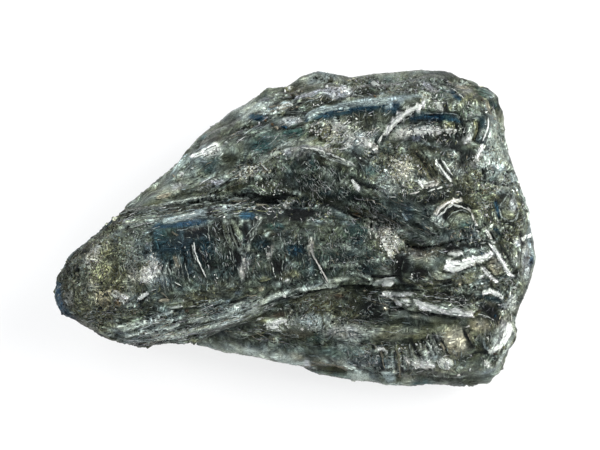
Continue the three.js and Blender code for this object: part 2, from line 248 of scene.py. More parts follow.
def vnoise(x, y, z, seed=0):
    """Value noise, -1..1."""
    xi, yi, zi = np.floor(x), np.floor(y), np.floor(z)
    fx, fy, fz = x - xi, y - yi, z - zi
    ux, uy, uz = [f * f * f * (f * (f * 6 - 15) + 10) for f in (fx, fy, fz)]
    xi, yi, zi = xi.astype(np.int64), yi.astype(np.int64), zi.astype(np.int64)
    out = 0
    for a in (0, 1):
        for b in (0, 1):
            for c in (0, 1):
                w = (ux if a else 1 - ux) * (uy if b else 1 - uy) * (uz if c else 1 - uz)
                out = out + w * hsh(xi + a, yi + b, zi + c, seed)
    return out * 2 - 1


def fbm(x, y, z, seed=0, octs=4, gain=0.5):
    s, a, f, n = 0, 1.0, 1.0, 0
    for o in range(octs):
        s = s + a * vnoise(x * f + 13.7 * o, y * f - 7.1 * o, z * f + 3.3 * o, seed + o)
        n += a
        a *= gain
        f *= 2.03
    return s / n


def ridged(x, y, z, seed=0, octs=3, gain=0.55):
    s, a, f, n = 0, 1.0, 1.0, 0
    for o in range(octs):
        s = s + a * (1 - 2 * np.abs(vnoise(x * f + 5.1 * o, y * f, z * f, seed + 31 * o)))
        n += a
        a *= gain
        f *= 2.1
    return s / n


def cells(x, y, z, seed=0):
    """Cellular noise: F1, F2 and two random values of the nearest cell."""
    xi, yi, zi = [np.floor(v).astype(np.int64) for v in (x, y, z)]
    f1 = np.full(x.shape, 9.0)
    f2 = np.full(x.shape, 9.0)
    r1 = np.zeros(x.shape)
    r2 = np.zeros(x.shape)
    for a in (-1, 0, 1):
        for b in (-1, 0, 1):
            for c in (-1, 0, 1):
                ci, cj, ck = xi + a, yi + b, zi + c
                dx = ci + hsh(ci, cj, ck, seed) - x
                dy = cj + hsh(ci, cj, ck, seed + 1) - y
                dz = ck + hsh(ci, cj, ck, seed + 2) - z
                d = dx * dx + dy * dy + dz * dz
                near = d < f1
                f2 = np.where(near, f1, np.minimum(f2, d))
                f1 = np.where(near, d, f1)
                r1 = np.where(near, hsh(ci, cj, ck, seed + 3), r1)
                r2 = np.where(near, hsh(ci, cj, ck, seed + 4), r2)
    return np.sqrt(f1), np.sqrt(f2), r1, r2


def sstep(a, b, x):
    t = np.clip((x - a) / (b - a), 0, 1)
    return t * t * (3 - 2 * t)


def mix(a, b, w):
    return a + (b - a) * w


def normals(P, blur=0.0):
    Q = P
    if blur:
        Q = np.stack([gauss(gauss(P[..., k], blur, 0, False), blur, 1, True) for k in range(3)], -1)
    dr = np.empty_like(Q)
    dr[1:-1] = Q[2:] - Q[:-2]
    dr[0] = Q[1] - Q[0]
    dr[-1] = Q[-1] - Q[-2]
    dc = np.roll(Q, -1, 1) - np.roll(Q, 1, 1)
    n = np.cross(dc, dr)
    n[0] = [-1, 0, 0]
    n[-1] = [1, 0, 0]
    n /= np.maximum(np.linalg.norm(n, axis=-1, keepdims=True), 1e-12)
    c = Q - (Q[:, :1] * 0 + Q.mean(1, keepdims=True))
    if (n[ROWS // 2] * c[ROWS // 2]).sum() < 0:
        n = -n
        n[0] = [-1, 0, 0]
        n[-1] = [1, 0, 0]
    return n


def project(P):
    d = P - EYE
    z = -(d @ BACK)
    return 300 + 2500.0 * d[..., 0] / z, 225 - 2500.0 * (d @ UP) / z


# --------------------------------------------------- slow natural undulation
N = normals(P, 3.0)
x, y, z = P[..., 0], P[..., 1], P[..., 2]
side = 1 - sstep(0.15, 0.75, N @ BACK)           # sides and underside, unseen from above
und = 0.10 * fbm(x * 0.35, y * 0.35, z * 0.35, 11, 3) + side * 0.30 * fbm(x * 0.22, y * 0.45, z * 0.6, 12, 3)
lift = sstep(0.05, 0.8, z)                        # the resting face stays flat
P = P + N * (und * lift)[..., None]


# ------------------------------------------------------- fit to the outline
def polygon_reach(bins):
    o = np.array(OUTLINE, float)
    ox = np.append(o[:, 0], o[0, 0]) - MIDPX[0]
    oy = -(np.append(o[:, 1], o[0, 1]) - MIDPX[1])
    ang = (np.arange(bins) + 0.5) / bins * 2 * np.pi
    dx, dy = np.cos(ang), np.sin(ang)
    out = np.zeros(bins)
    for i in range(len(o)):
        x1, y1, x2, y2 = ox[i], oy[i], ox[i + 1], oy[i + 1]
        den = dx * (y2 - y1) - dy * (x2 - x1)
        den = np.where(np.abs(den) < 1e-9, 1e-9, den)
        t = (x1 * (y2 - y1) - y1 * (x2 - x1)) / den
        w = (x1 * dy - y1 * dx) / den
        ok = (t > 0) & (w >= -1e-6) & (w <= 1 + 1e-6)
        out = np.where(ok, np.maximum(out, t), out)
    return out


BINS = 540
wanted = polygon_reach(BINS)
for _ in range(3):
    u, v = project(P)
    du, dv = u - MIDPX[0], -(v - MIDPX[1])
    R = np.hypot(du, dv)
    a = (np.arctan2(dv, du) / (2 * np.pi) % 1.0) * BINS
    b = a.astype(int) % BINS
    cur = np.zeros(BINS)
    np.maximum.at(cur, b.ravel(), R.ravel())
    for k in range(BINS):
        if cur[k] == 0:
            cur[k] = cur[k - 1]
    wide = np.maximum(cur, np.maximum(np.roll(cur, 1), np.roll(cur, -1)))
    ratio = wanted / wide
    ratio = gauss(ratio, 1.5, 0, True)
    k0 = a - 0.5
    i0 = np.floor(k0).astype(int)
    w = k0 - i0
    f = ratio[i0 % BINS] * (1 - w) + ratio[(i0 + 1) % BINS] * w
    rel = np.clip(R / wide[b], 0, 1)
    grow = (f - 1) * rel ** 2
    P[..., 0] += du * grow / PXMM
    P[..., 1] += dv * grow / PXMM / SIN

# =====================================================================
# 2b. Features of the seen side, in pixels of the 600 x 450 view
# =====================================================================
# Colours of the marks, linear. W, PW, S, PB and LL mostly serve as painted highlights, glints and reflections; K, D, BB
# and NB mostly as painted shade and painted reflections of dark surroundings; the others are mostly tones of the stone.
K = (0.007, 0.010, 0.010)
D = (0.024, 0.031, 0.026)
BB = (0.013, 0.034, 0.044)
NB = (0.018, 0.058, 0.098)
PB = (0.330, 0.395, 0.410)
OD = (0.036, 0.040, 0.022)
OL = (0.105, 0.106, 0.068)
YG = (0.270, 0.280, 0.160)
OR = (0.150, 0.092, 0.044)
BR = (0.060, 0.046, 0.032)
BG = (0.440, 0.400, 0.310)
S = (0.480, 0.530, 0.500)
W = (0.880, 0.905, 0.870)
PW = (0.740, 0.715, 0.680)
LL = (0.400, 0.400, 0.440)
GG = (0.200, 0.235, 0.205)
TL = (0.040, 0.092, 0.094)
GR = (0.125, 0.150, 0.132)
MB = (0.185, 0.160, 0.138)
SB = (0.034, 0.092, 0.140)

TONE, BAND, GROOVE, RIDGE, LINE, BAR, SLIT, SPARK, MOTTLE, DOT, LATH, PLATE = [], [], [], [], [], [], [], [], [], [], [], []


def pt(c, x, y, rx, ry, ang=0.0, a=0.6, soft=0.6):      # soft patch of colour; light ones are painted highlights, dark ones painted shade, the rest tones of the stone
    TONE.append((c, x, y, rx, ry, ang, a, soft))


def bd(c, w, a, *p):                                     # soft band of colour; light ones are painted highlights, dark ones painted shade, the rest tones of the stone
    BAND.append((c, w, a, p))


def gr(c, w, a, d, *p):                                  # groove, d mm deep, with a dark colour laid in it as painted shade
    GROOVE.append((c, w, a, d, p))


def rd(c, w, a, h, *p):                                  # low ridge, h mm high, with its light colour laid on it as a painted highlight
    RIDGE.append((c, w, a, h, p))


def ln(c, w, a, *p):                                     # thin upstanding blade; light ones are painted highlights and glints
    LINE.append((c, w, a, p))


def br(c, w, a, *p):                                     # flat cleavage lath; its light colour is a painted highlight
    BAR.append((c, w, a, p))


def lt(c, w, *p):                                        # one solid lath, w wide at either end; its light colour is a painted highlight
    LATH.append((c, w, p))


def pl(c, *p):                                           # a small level plate, corners in order; its colour is a painted highlight
    PLATE.append((c, p))


def dk(c, w, a, *p):                                     # painted shade in a crack
    SLIT.append((c, w, a, p))


def sp(cs, cov, w, *p):                                  # painted glints along a line
    SPARK.append((cs, cov, w, p))


def ms(cs, cov, x, y, rx, ry, ang=0.0):                  # flecks of colour in a patch; white and silver ones are painted glints
    MOTTLE.append((cs, cov, x, y, rx, ry, ang))


def dt(c, x, y, rx, ry=None):                            # single flake; white and silver ones are painted glints
    DOT.append((c, x, y, rx, rx if ry is None else ry))


# ---- broad painted highlights and painted shade, and broad tones of the stone
for q in [(OD, 66, 285, 12, 30, 0, .50), (D, 72, 308, 14, 12, -40, .45), (D, 132, 345, 22, 7, 3, .75), (GR, 120, 262, 12, 10, 0, .35),
          (D, 284, 220, 26, 11, 0, .65), (D, 255, 214, 16, 8, 0, .45), (D, 170, 211, 20, 6, 12, .45), (D, 206, 206, 16, 5, 5, .5),
          (D, 140, 226, 14, 7, 20, .35), (TL, 265, 140, 15, 10, 15, .55), (D, 237, 126, 16, 8, 35, .35), (D, 325, 151, 26, 7, 4, .65),
          (D, 310, 110, 7, 6, 0, .45), (D, 440, 149, 20, 9, 0, .65), (D, 465, 163, 8, 12, 0, .6), (D, 442, 191, 26, 8, 5, .55),
          (D, 466, 236, 11, 12, 0, .6), (D, 480, 214, 8, 14, 0, .3), (K, 405, 263, 11, 9, 0, .65), (D, 336, 275, 12, 8, 0, .35),
          (D, 362, 291, 16, 8, 0, .6), (D, 378, 301, 12, 10, 0, .5), (D, 430, 286, 18, 5, 0, .4), (D, 175, 184, 11, 6, 30, .35),
          (D, 446, 76, 20, 6, 0, .6), (BB, 500, 100, 6, 8, 0, .3), (D, 476, 384, 22, 4, 0, .5), (D, 486, 320, 12, 11, 0, .45),
          (S, 152, 268, 11, 14, 0, .38), (PW, 150, 262, 7, 9, 0, .22), (S, 127, 297, 8, 8, 0, .42), (OL, 95, 272, 11, 26, 0, .5), (BG, 95, 262, 9, 14, 0, .18),
          (S, 203, 272, 5, 12, -15, .3), (S, 397, 131, 19, 7, 5, .55), (S, 360, 140, 14, 9, -25, .5), (S, 332, 126, 12, 7, 10, .32),
          (S, 495, 158, 11, 20, 0, .5), (S, 504, 184, 9, 12, 0, .3), (S, 374, 226, 8, 11, 0, .42), (S, 392, 238, 13, 9, -35, .45),
          (GG, 430, 243, 18, 8, 0, .6), (S, 436, 244, 14, 6, 0, .25), (S, 386, 280, 9, 8, 0, .3), (S, 402, 296, 12, 6, 0, .3),
          (S, 320, 324, 18, 10, 0, .45), (S, 350, 331, 18, 9, 0, .5), (S, 428, 362, 14, 7, 0, .35), (BG, 455, 344, 14, 10, 0, .2),
          (S, 240, 350, 42, 6, -8, .38), (S, 290, 360, 18, 6, -18, .45), (S, 330, 378, 26, 4, -8, .35), (S, 402, 385, 16, 3, 0, .3),
          (S, 470, 314, 14, 4, 0, .25), (S, 420, 305, 14, 5, -12, .3), (S, 262, 105, 16, 6, 22, .3), (S, 214, 150, 12, 7, 30, .3),
          (LL, 206, 186, 14, 5, 18, .3), (S, 330, 190, 5, 8, 0, .25),
          (K, 64, 290, 7, 36, 0, .75), (K, 74, 316, 12, 8, -40, .5), (D, 142, 341, 36, 6, 0, .7), (D, 134, 238, 16, 8, 20, .6),
          (D, 150, 196, 8, 6, 30, .4), (D, 208, 236, 10, 12, 0, .4), (D, 236, 222, 24, 10, 0, .4), (K, 280, 220, 30, 10, 0, .45),
          (D, 294, 135, 10, 11, 0, .5), (D, 305, 160, 10, 12, 0, .55), (D, 237, 137, 9, 6, 0, .4), (D, 322, 138, 7, 6, 0, .4),
          (D, 360, 158, 8, 12, 0, .4), (D, 371, 135, 7, 6, 0, .35), (D, 402, 145, 14, 6, 0, .45), (D, 448, 186, 10, 14, 20, .55),
          (D, 486, 122, 6, 9, 0, .5), (D, 495, 156, 6, 8, 0, .35), (D, 500, 112, 5, 18, 0, .5), (D, 447, 254, 12, 6, 0, .5),
          (K, 406, 268, 9, 8, 0, .4), (D, 450, 298, 30, 5, 0, .55), (D, 476, 352, 8, 14, 0, .5), (D, 212, 338, 10, 6, 0, .4),
          (D, 152, 302, 6, 6, 0, .3), (D, 470, 234, 8, 10, 0, .4), (D, 491, 207, 6, 7, 0, .35), (D, 515, 278, 6, 8, 0, .3),
          (OL, 102, 284, 10, 30, 0, .55), (GG, 98, 252, 8, 8, 0, .4), (BG, 100, 298, 7, 8, 0, .25), (S, 158, 276, 10, 14, 0, .4),
          (S, 128, 297, 7, 7, 0, .35), (S, 182, 272, 6, 8, 0, .25), (S, 206, 155, 10, 6, 25, .3), (S, 252, 110, 16, 9, 20, .38),
          (S, 318, 80, 20, 5, 0, .45), (S, 246, 170, 8, 6, 0, .3), (S, 292, 182, 7, 6, 0, .25), (W, 334, 138, 6, 8, 0, .25),
          (S, 346, 140, 6, 6, 0, .3), (W, 466, 135, 5, 8, -20, .4), (S, 446, 166, 6, 6, 0, .3), (GG, 286, 201, 8, 3, 0, .3),
          (GG, 336, 210, 10, 7, 0, .5), (S, 371, 223, 7, 8, 0, .4), (S, 420, 245, 14, 6, 0, .3), (W, 388, 281, 5, 9, 0, .3),
          (S, 400, 310, 6, 8, 0, .35), (S, 446, 278, 16, 8, 0, .22), (S, 494, 230, 8, 6, 0, .3), (S, 514, 260, 11, 7, 0, .3),
          (W, 512, 303, 5, 9, 0, .35), (S, 446, 312, 26, 4, 0, .5), (S, 480, 320, 5, 5, 0, .3), (S, 292, 326, 32, 10, 5, .32),
          (S, 347, 342, 10, 9, 0, .45), (S, 421, 355, 7, 7, 0, .35), (S, 446, 365, 8, 10, 0, .35), (S, 318, 365, 14, 10, 0, .35),
          (S, 354, 375, 14, 4, 0, .45), (S, 350, 360, 30, 14, 0, .22), (S, 262, 353, 32, 4, -10, .4), (GG, 172, 333, 26, 4, 0, .3)]:
    pt(*q)
rd(S, 20, .0, .40, (388, 233), (408, 240), (436, 244), (462, 242))
gr(K, 7, .35, .16, (388, 204), (408, 204), (426, 203), (440, 199))

# ---- left end of the barrel
pt(OL, 100, 275, 42, 50, 0, .55)
pt(OL, 90, 300, 26, 30, 0, .35)
ms((YG, OL, BG), .55, 100, 268, 9, 16)
ms((YG, OL, OD), .45, 118, 248, 9, 13)
ms((OL, GR, D, BG), .30, 105, 285, 42, 45)
bd(NB, 9, .75, (57, 285), (57, 296), (62, 308), (72, 318))
ln(PB, 3, .8, (60, 270), (66, 262), (75, 248), (88, 238))
ln(S, 2, .8, (70, 312), (76, 314))
dt(K, 77, 268, 3, 6); dt(K, 85, 251, 3); dt(K, 77, 247, 2.5); dt(K, 101, 283, 3); dt(K, 100, 308, 3)
dt(W, 98, 246, 2.2); dt(W, 101, 242, 1.4); dt(W, 99, 253, 1.6); dt(W, 142, 229, 1.3); dt(W, 133, 232, 1.3)
ln(S, 1.5, .8, (113, 238), (118, 240))
dt(BG, 93, 252, 2.2); dt(BG, 91, 262, 2.8, 2); dt(PW, 115, 291, 2.4, 1.8); dt(OR, 118, 300, 3.2, 2.2)
ms((W, PW, S), .7, 124, 299, 4, 4)
ln(PB, 1.4, .9, (128, 301), (138, 294))
br(W, 3, .95, (139, 299.5), (143, 297), (147, 294))
dk(K, 2.5, .95, (139, 302.5), (146, 298))
dt(K, 143, 308, 3.2)
sp((W, PW, S), .6, 9, (152, 256), (155, 266), (152, 274))
sp((W, PW, BG), .5, 5, (143, 268), (142, 284))
sp((W, S), .5, 4, (147, 270), (150, 280))
dt(PW, 160, 268, 2.2); dt(S, 165, 273, 2.6)
bd(BB, 9, .6, (118, 345), (135, 347), (155, 345))
rd(S, 2.5, .6, .05, (118, 325), (140, 322), (160, 315), (172, 311))
rd(S, 2.5, .55, .05, (125, 330), (150, 325), (172, 319))
rd(S, 2.0, .8, .05, (126, 337), (150, 331), (178, 324))
rd(S, 3.0, .4, .04, (118, 341), (145, 341), (172, 336))
gr(D, 3, .7, .06, (116, 334), (140, 329), (165, 321))
dk(D, 3, .8, (120, 320), (129, 321))
pt(LL, 69, 298, 5, 9, 0, .22)
ln(S, 1.8, .8, (118, 214), (140, 208), (170, 204))
bd(D, 3, .7, (123, 217), (150, 210), (170, 207))
ln(S, 1.8, .6, (130, 218), (160, 212))
dt(D, 128, 226, 3, 2.2); dt(OL, 120, 222, 5, 3)
ln(NB, 2.5, .8, (107, 225), (113, 218))
ln(S, 1.5, .7, (98, 233), (107, 227))

# ---- top of the barrel, left half
pt(BB, 172, 250, 40, 22, 20, .55)
pt(BB, 215, 262, 46, 24, 15, .60)
pt(D, 240, 270, 60, 34, 10, .45)
rd(S, 2.2, .75, .05, (150, 207), (170, 203), (190, 200), (215, 197))
bd(D, 2.5, .8, (165, 207), (185, 203), (205, 202))
ln(S, 1.4, .7, (170, 208), (200, 204), (225, 201))
bd(OD, 5, .6, (160, 212), (180, 208), (198, 210))
gr(D, 3.5, .8, .08, (200, 206), (240, 202), (262, 199))
br(PB, 6, .85, (166, 222), (185, 217), (197, 213), (205, 213))
ln(W, 2, .85, (172, 219), (185, 215), (196, 213))
ln(PB, 2, .6, (200, 217), (212, 216))
dk(NB, 3, .85, (155, 227), (175, 226), (193, 224), (205, 221))
ln(PB, 1.4, .8, (175, 230), (185, 229), (191, 226))
ln(PB, 1.3, .7, (150, 229), (160, 226))
ln(BG, 2.5, .7, (172, 232), (177, 235))
bd(K, 8, .85, (187, 236), (205, 232))
pt(K, 216, 232, 10, 6, 0, .85, .4)
bd(BR, 2.5, .6, (178, 231), (200, 230))
ln(S, 1.6, .7, (208, 226), (209, 238))
pt(BB, 160, 240, 10, 12, 0, .85); pt(BB, 165, 262, 12, 6, 0, .5); pt(BB, 185, 265, 8, 6, 0, .6)
pt(BB, 205, 252, 9, 13, 0, .75); pt(BB, 259, 243, 12, 9, 0, .75)
lt(W, (1.8, 1.6), (193.5, 242), (194.5, 250), (197, 258), (200.5, 266), (206, 278)); ln(W, 1.4, .8, (192.5, 246), (193.5, 253), (196, 261)); ln(S, 1.3, .7, (192, 246), (193, 254), (195, 262))
bd(K, 5, .8, (198, 248), (206, 262), (212, 268))
ln(S, 1.5, .8, (229, 249), (231, 257), (233, 264), (233, 270))
dk(K, 3.5, .95, (235, 252), (237, 258), (239, 265))
pt(GG, 229, 236, 10, 17, 25, .7); pt(GG, 256, 228, 4, 12, -25, .5)
for q in [((225, 224), (229, 234), (234, 246)), ((228, 222), (232, 233), (237, 246)), ((232, 224), (236, 234), (240, 245)), ((223, 229), (226, 238), (231, 248))]:
    ln(S, 1.3, .6, *q)
dk(K, 1.5, .8, (227, 226), (231, 237), (235, 247)); dk(K, 1.3, .8, (231, 226), (235, 236), (239, 247)); pt(D, 248, 229, 4, 8, 0, .7)
ln(S, 1.4, .8, (227, 222), (229, 232)); ln(S, 1.6, .9, (233, 232), (240, 240), (243, 249))
dk(K, 3, .9, (240, 228), (245, 234))
for q in [((258, 217), (256, 224), (251, 230), (250, 237), (247, 244)), ((254, 219), (253, 227), (248, 234)), ((262, 220), (257, 227), (255, 235), (250, 241))]:
    ln(S, 1.4, .8, *q)
dt(PW, 256, 217, 1.6); dt(W, 259, 219, 1.3)
dt(PW, 257, 218, 1.8); pt((NB), 247.5, 216, 8, 4.6, 0, .92, .3); dt(PB, 248, 209, 4, 1.6); dt(PW, 254, 208, 1.6)
dt(W, 224, 217, 1.6); dt(S, 219, 223, 1.6)
pt(LL, 232, 207, 8, 3, 0, .4); dt(PW, 243, 260, 2.6, 3.4)
ln(YG, 2, .8, (260, 281), (270, 279))
for q in [(185, 247), (188, 277), (194, 277), (215, 275), (217, 278)]:
    dt(W, q[0], q[1], 1.4)
ln(W, 1.5, .9, (176, 283), (181, 286)); ln(BG, 3, .6, (175, 258), (178, 266))

# ---- top of the barrel, middle
pt(BB, 330, 250, 60, 34, 20, .55)
pt(D, 300, 240, 50, 26, 10, .45)
dt(W, 286, 203, 3.4, 1.9); ln(S, 2.4, .9, (278, 201), (284, 205))
dk(K, 5.5, .95, (287, 212), (300, 214), (312, 211)); dk(K, 3, .9, (293, 219), (303, 218))
dk(K, 2.6, .9, (262, 200), (275, 197)); dk(K, 2.6, .8, (268, 202), (279, 199))
ln(BG, 2.6, .7, (258, 205), (268, 204)); ms((LL, D, BR), .3, 309, 204, 10, 4)
ln(S, 1.6, .8, (320, 216), (321, 210)); dt(W, 330, 210, 1.4); ln(S, 1.4, .7, (334, 209), (336, 214))
gr(OD, 7, .65, .07, (300, 190), (320, 198), (345, 207), (365, 215), (378, 222))
ln(BG, 2, .8, (352, 214), (360, 217)); dt(OR, 356, 214, 3, 1.8)
pt(BB, 340, 194, 20, 7, 10, .5); pt(BB, 295, 248, 12, 4, 0, .8); pt(BB, 361, 235, 6, 8, 0, .9); dt(K, 358, 238, 3)
ms((PW, LL, S), .5, 311.5, 248, 2.6, 8, 8); ln(PW, 1.4, .8, (310, 243), (312, 250), (314.5, 257)); ln(LL, 1.4, .7, (313, 242), (313.5, 248))
ln(W, 1.7, .95, (314.5, 258), (318, 265), (321.5, 272)); ln(W, 1.5, .95, (321.5, 273), (324, 279), (328, 285)); dk(K, 1.6, .8, (317, 259), (322, 268), (326, 277))
dt(K, 313, 248, 1.8)
ms((S, PW, LL), .4, 269, 254, 3, 8, 10); ln(W, 1.7, .95, (272, 263), (273.5, 270), (276, 279)); pt(K, 279, 267, 6.5, 7, 0, .9, .4); dk(K, 2.4, .95, (274.5, 261), (276, 266), (279, 273))
ln(S, 1.3, .7, (266, 247), (267, 256)); ln(S, 1.3, .7, (270, 246), (271.5, 256)); ln(S, 1.2, .6, (283, 262), (282, 271))
dt(W, 287, 280, 3, 1.5); dt(W, 282, 279, 1.5)
ln(YG, 2.4, .8, (262, 281), (270, 279)); ln(YG, 2.4, .8, (290, 276), (293, 272)); dt(YG, 298, 276, 1.6, 3)
pt(OL, 290, 276, 14, 6, 0, .6)
for q in [(316, 275), (338, 260), (364, 241), (265, 249)]:
    dt(W, q[0], q[1], 1.3)
rd(S, 3.4, .45, .05, (300, 290), (320, 285), (335, 284)); rd(S, 2.4, .5, .04, (330, 280), (348, 277)); dt(S, 328, 285, 2)

# ---- lower side of the barrel
pt(GR, 215, 310, 60, 16, 15, .35)
rd(S, 4, .35, .07, (190, 320), (205, 319), (225, 313), (240, 308), (255, 305), (265, 300), (275, 296), (285, 293))
rd(S, 3, .45, .06, (262, 302), (270, 297), (284, 293), (300, 289), (316, 286), (330, 284))
ln(S, 1.8, .85, (190, 322), (200, 320), (210, 317)); ln(W, 1.4, .85, (196, 319), (207, 316.5)); ln(S, 1.4, .8, (212, 319), (224, 315), (238, 311))
gr(D, 2.2, .8, .06, (178, 328), (195, 325), (210, 322), (230, 317), (245, 311), (258, 304))
gr(D, 1.8, .6, .04, (262, 309), (280, 302), (295, 299), (308, 293), (318, 289)); gr(D, 2.0, .6, .05, (345, 287), (368, 288)); bd(OL, 7, .7, (292, 301), (312, 296), (330, 291.5), (345, 290.5))
bd(OL, 7, .45, (150, 340), (180, 333), (200, 325), (230, 318), (245, 312))
gr(D, 4, .7, .10, (150, 347), (170, 344), (185, 339), (200, 335), (215, 332), (228, 330), (250, 326))
ln(S, 1.6, .8, (175, 320), (184, 319)); ln(S, 2.8, .8, (171, 308), (180, 306))
dk(D, 1.8, .9, (174, 322), (181, 321)); dk(D, 1.8, .9, (174, 325), (180, 324)); dk(D, 1.6, .9, (173, 312), (181, 311))
dt(BR, 187, 311, 4.5, 2.4)
ln(S, 1.7, .8, (195, 303), (201, 301)); ln(S, 2.2, .8, (197, 307), (204, 305)); ln(S, 1.8, .8, (212, 309), (218, 307))
ln(BG, 2.6, .7, (160, 301), (168, 300)); ln(BG, 1.6, .7, (160, 292), (166, 297))
dk(K, 2.6, .9, (231, 304), (245, 298)); dk(D, 1.8, .9, (262, 300), (272, 290))
br(S, 3.6, .8, (235, 306), (243, 303)); ln(S, 1.6, .7, (241, 303), (244, 309))
br(S, 4.5, .75, (270, 299), (281, 295)); dt(W, 284, 296, 2.4, 2.8)
ln(S, 2.4, .8, (290, 297), (300, 293)); ln(S, 1.8, .8, (295, 290), (300, 288)); ln(S, 1.8, .9, (291, 298), (297, 297), (303, 295), (310, 290))
gr(D, 9, .45, .06, (210, 336), (240, 331), (262, 326)); pt(D, 240, 338, 12, 5, 0, .4)
pt(S, 250, 349, 18, 4, 0, .35); ln(PB, 2.4, .4, (252, 346), (262, 349)); ln(PB, 2.4, .4, (270, 352), (277, 350))
pt(S, 255, 350, 26, 4, -8, .3)

# ---- sparkling ledge under the barrel
ln(W, 2.2, .95, (257, 320), (263, 318.5)); dt(W, 264, 325, 1.9); dt(W, 269.5, 326.5, 2.3)
br(W, 3.2, .95, (271, 327.5), (277, 326.5)); br(W, 3.4, .95, (273.5, 324), (279, 322.5), (285.5, 320.5))
dt(W, 286, 325, 2.2); dt(S, 293, 324, 1.8); dt(W, 289, 328, 1.4); ln(W, 2.2, .95, (276, 331), (281, 332))
dt(S, 278, 310, 1.8, 1.4); dt(W, 281, 309, 1.5); dt(S, 285, 308.5, 1.8); dt(K, 283, 307, 2)
pt(BR, 278, 315, 9, 4, 10, .75)
pt(OD, 262, 333, 14, 5, 0, .6); dt(YG, 263, 333, 2.4, 1.4); bd(BR, 6, .5, (284, 333), (300, 334), (312, 334))
dt(W, 302, 318.5, 2.2); dt(W, 306, 317.5, 1.8); dt(PW, 301.5, 329, 3); dt(W, 308, 329.3, 1.6)
pt(PB, 312, 320, 8, 7, 0, .35); ms((PB, W, S, GR), .5, 312, 321, 8, 7)
dt(S, 313, 324, 2.2); dt(W, 317, 321, 1.5); dt(S, 324, 326.5, 2.2, 1.6); ln(YG, 1.6, .6, (321, 312), (323, 320), (325, 327)); dt(S, 323, 310, 2.6, 1.5)
pt(OL, 320, 303, 16, 10, 0, .55); ms((YG, OL, OD), .4, 316, 305, 8, 8); pt(BR, 327, 301, 8, 4, 0, .6)
pt(OR, 339, 295, 4.5, 3, 0, .9); pt(BR, 348, 305, 3, 5, 0, .4); dt(W, 340, 306.3, 1.9); dt(BG, 346, 314, 1.4)
pt(TL, 315, 338, 11, 4, 0, .7); ln(PB, 1.5, .45, (303, 343), (315, 346), (325, 343), (331, 335))
pt(LL, 337, 333, 10, 4, 0, .6); pt(PB, 348, 332, 14, 6, 0, .15)
ms((S, PB, GR), .4, 344, 347, 9, 4)
pt(D, 325, 353, 24, 6, -5, .55); ln(PB, 2.2, .55, (310, 355), (318, 357)); ln(S, 2.2, .55, (330, 357), (335, 362), (340, 366))
ln(BG, 2.2, .9, (313, 361.5), (325, 364), (335, 366), (346, 369.5))
gr(OD, 4, .9, .10, (313, 365), (325, 368), (340, 370.5), (352, 371.5)); bd(OL, 3, .6, (318, 371), (345, 374))
pt(LL, 307, 364, 4, 6, 0, .7); ln(S, 2, .6, (305, 370), (315, 374)); bd(TL, 3, .5, (305, 371), (330, 375), (350, 378))
pt(BG, 297, 356, 8, 4, -10, .35); pt(BR, 298, 360, 5, 2, 0, .4)

# ---- slope behind the barrel, left
pt(GG, 205, 165, 40, 20, 30, .35)
pt(S, 175, 185, 30, 12, 35, .22)
lt(W, (3.6, 4.6), (192.5, 157.5), (199, 155), (206, 152.5)); lt(W, (6.4, 5), (203.5, 152.5), (210, 149.5), (216.5, 145.5)); dt(W, 218, 149, 2)
lt(S, (3.4, 3.6), (203, 157.5), (212, 155.5), (222, 153.5)); dk(D, 1.5, .9, (209, 155), (217, 152)); dt(PB, 205, 162, 7, 2)
dt(S, 226, 142, 2.4); dt(S, 232, 135, 1.4); dt(W, 192, 168, 1.8); ms((BG, GR), .5, 191, 164, 5, 3)
dt(BG, 174, 176, 2.2); dt(W, 182, 174, 2.4); ln(BG, 2.6, .9, (158, 197), (168, 194)); dt(PB, 184, 189, 2.6, 1.8); pt(BB, 175, 183, 7, 4, 0, .35)
ln(LL, 3.2, .7, (208, 183), (214, 181)); ln(LL, 3, .8, (216, 184), (222, 181)); dk(K, 2, .9, (220, 186), (229, 180))
pt(OD, 228, 158, 8, 6, 0, .7); pt(OD, 228, 170, 6, 4, 0, .5); pt(OD, 233, 190, 7, 4, 0, .5)
pt(TL, 208, 170, 8, 5, 0, .7); pt(TL, 206, 138, 7, 4, 0, .6); bd(BR, 5, .4, (200, 143), (220, 138))
ln(S, 2, .75, (130, 208), (150, 206), (165, 204), (180, 201)); bd(D, 2, .8, (168, 205), (185, 204), (200, 202))
ln(YG, 1.5, .55, (170, 197), (200, 190), (215, 185)); ln(YG, 1.5, .45, (183, 190), (210, 183))
gr(OD, 6, .45, .07, (145, 205), (175, 199), (205, 193), (235, 187), (262, 186), (285, 188), (302, 191))

# ---- slope behind the barrel, middle
for q in [(240, 175), (245, 169), (252, 167), (258, 170)]:
    dt(W, q[0], q[1], 2.0, 1.6)
ln(W, 1.8, .8, (262, 165), (267, 170)); ms((YG, BG, S, OL), .5, 253, 169, 15, 7)
pt(OD, 240, 183, 12, 5, 0, .6)
dk(K, 2.6, .9, (235, 196), (250, 193), (262, 196), (285, 198)); dk(K, 2.6, .85, (256, 202), (275, 201)); dk(K, 2, .9, (282, 193), (295, 196))
ln(S, 2.6, .8, (235, 199), (248, 198))
for q in [((271, 178), (277, 172)), ((294, 168), (296, 174)), ((275, 190), (278, 186)), ((284, 189), (290, 192))]:
    ln(S, 1.4, .8, *q)
dt(W, 282, 180, 1.2); pt(TL, 313, 165, 6, 6, 0, .7); pt(BB, 308, 178, 8, 6, 0, .7); dt(K, 317, 180, 2.4)
pt(BB, 322, 194, 19, 6, 5, .6)
ln(S, 1.7, .8, (328, 170), (325, 178)); ln(S, 1.7, .9, (334, 181), (331, 188)); ln(S, 1.7, .9, (333, 184), (337, 190)); ln(S, 1.4, .7, (338, 172), (340, 180))
br(S, 3.4, .95, (320, 153), (331, 159), (340, 161), (351, 164))
dt(W, 354, 183, 2); dk(K, 2.6, .9, (352, 176), (353, 181))
pt(BB, 330, 178, 22, 10, 0, .35)

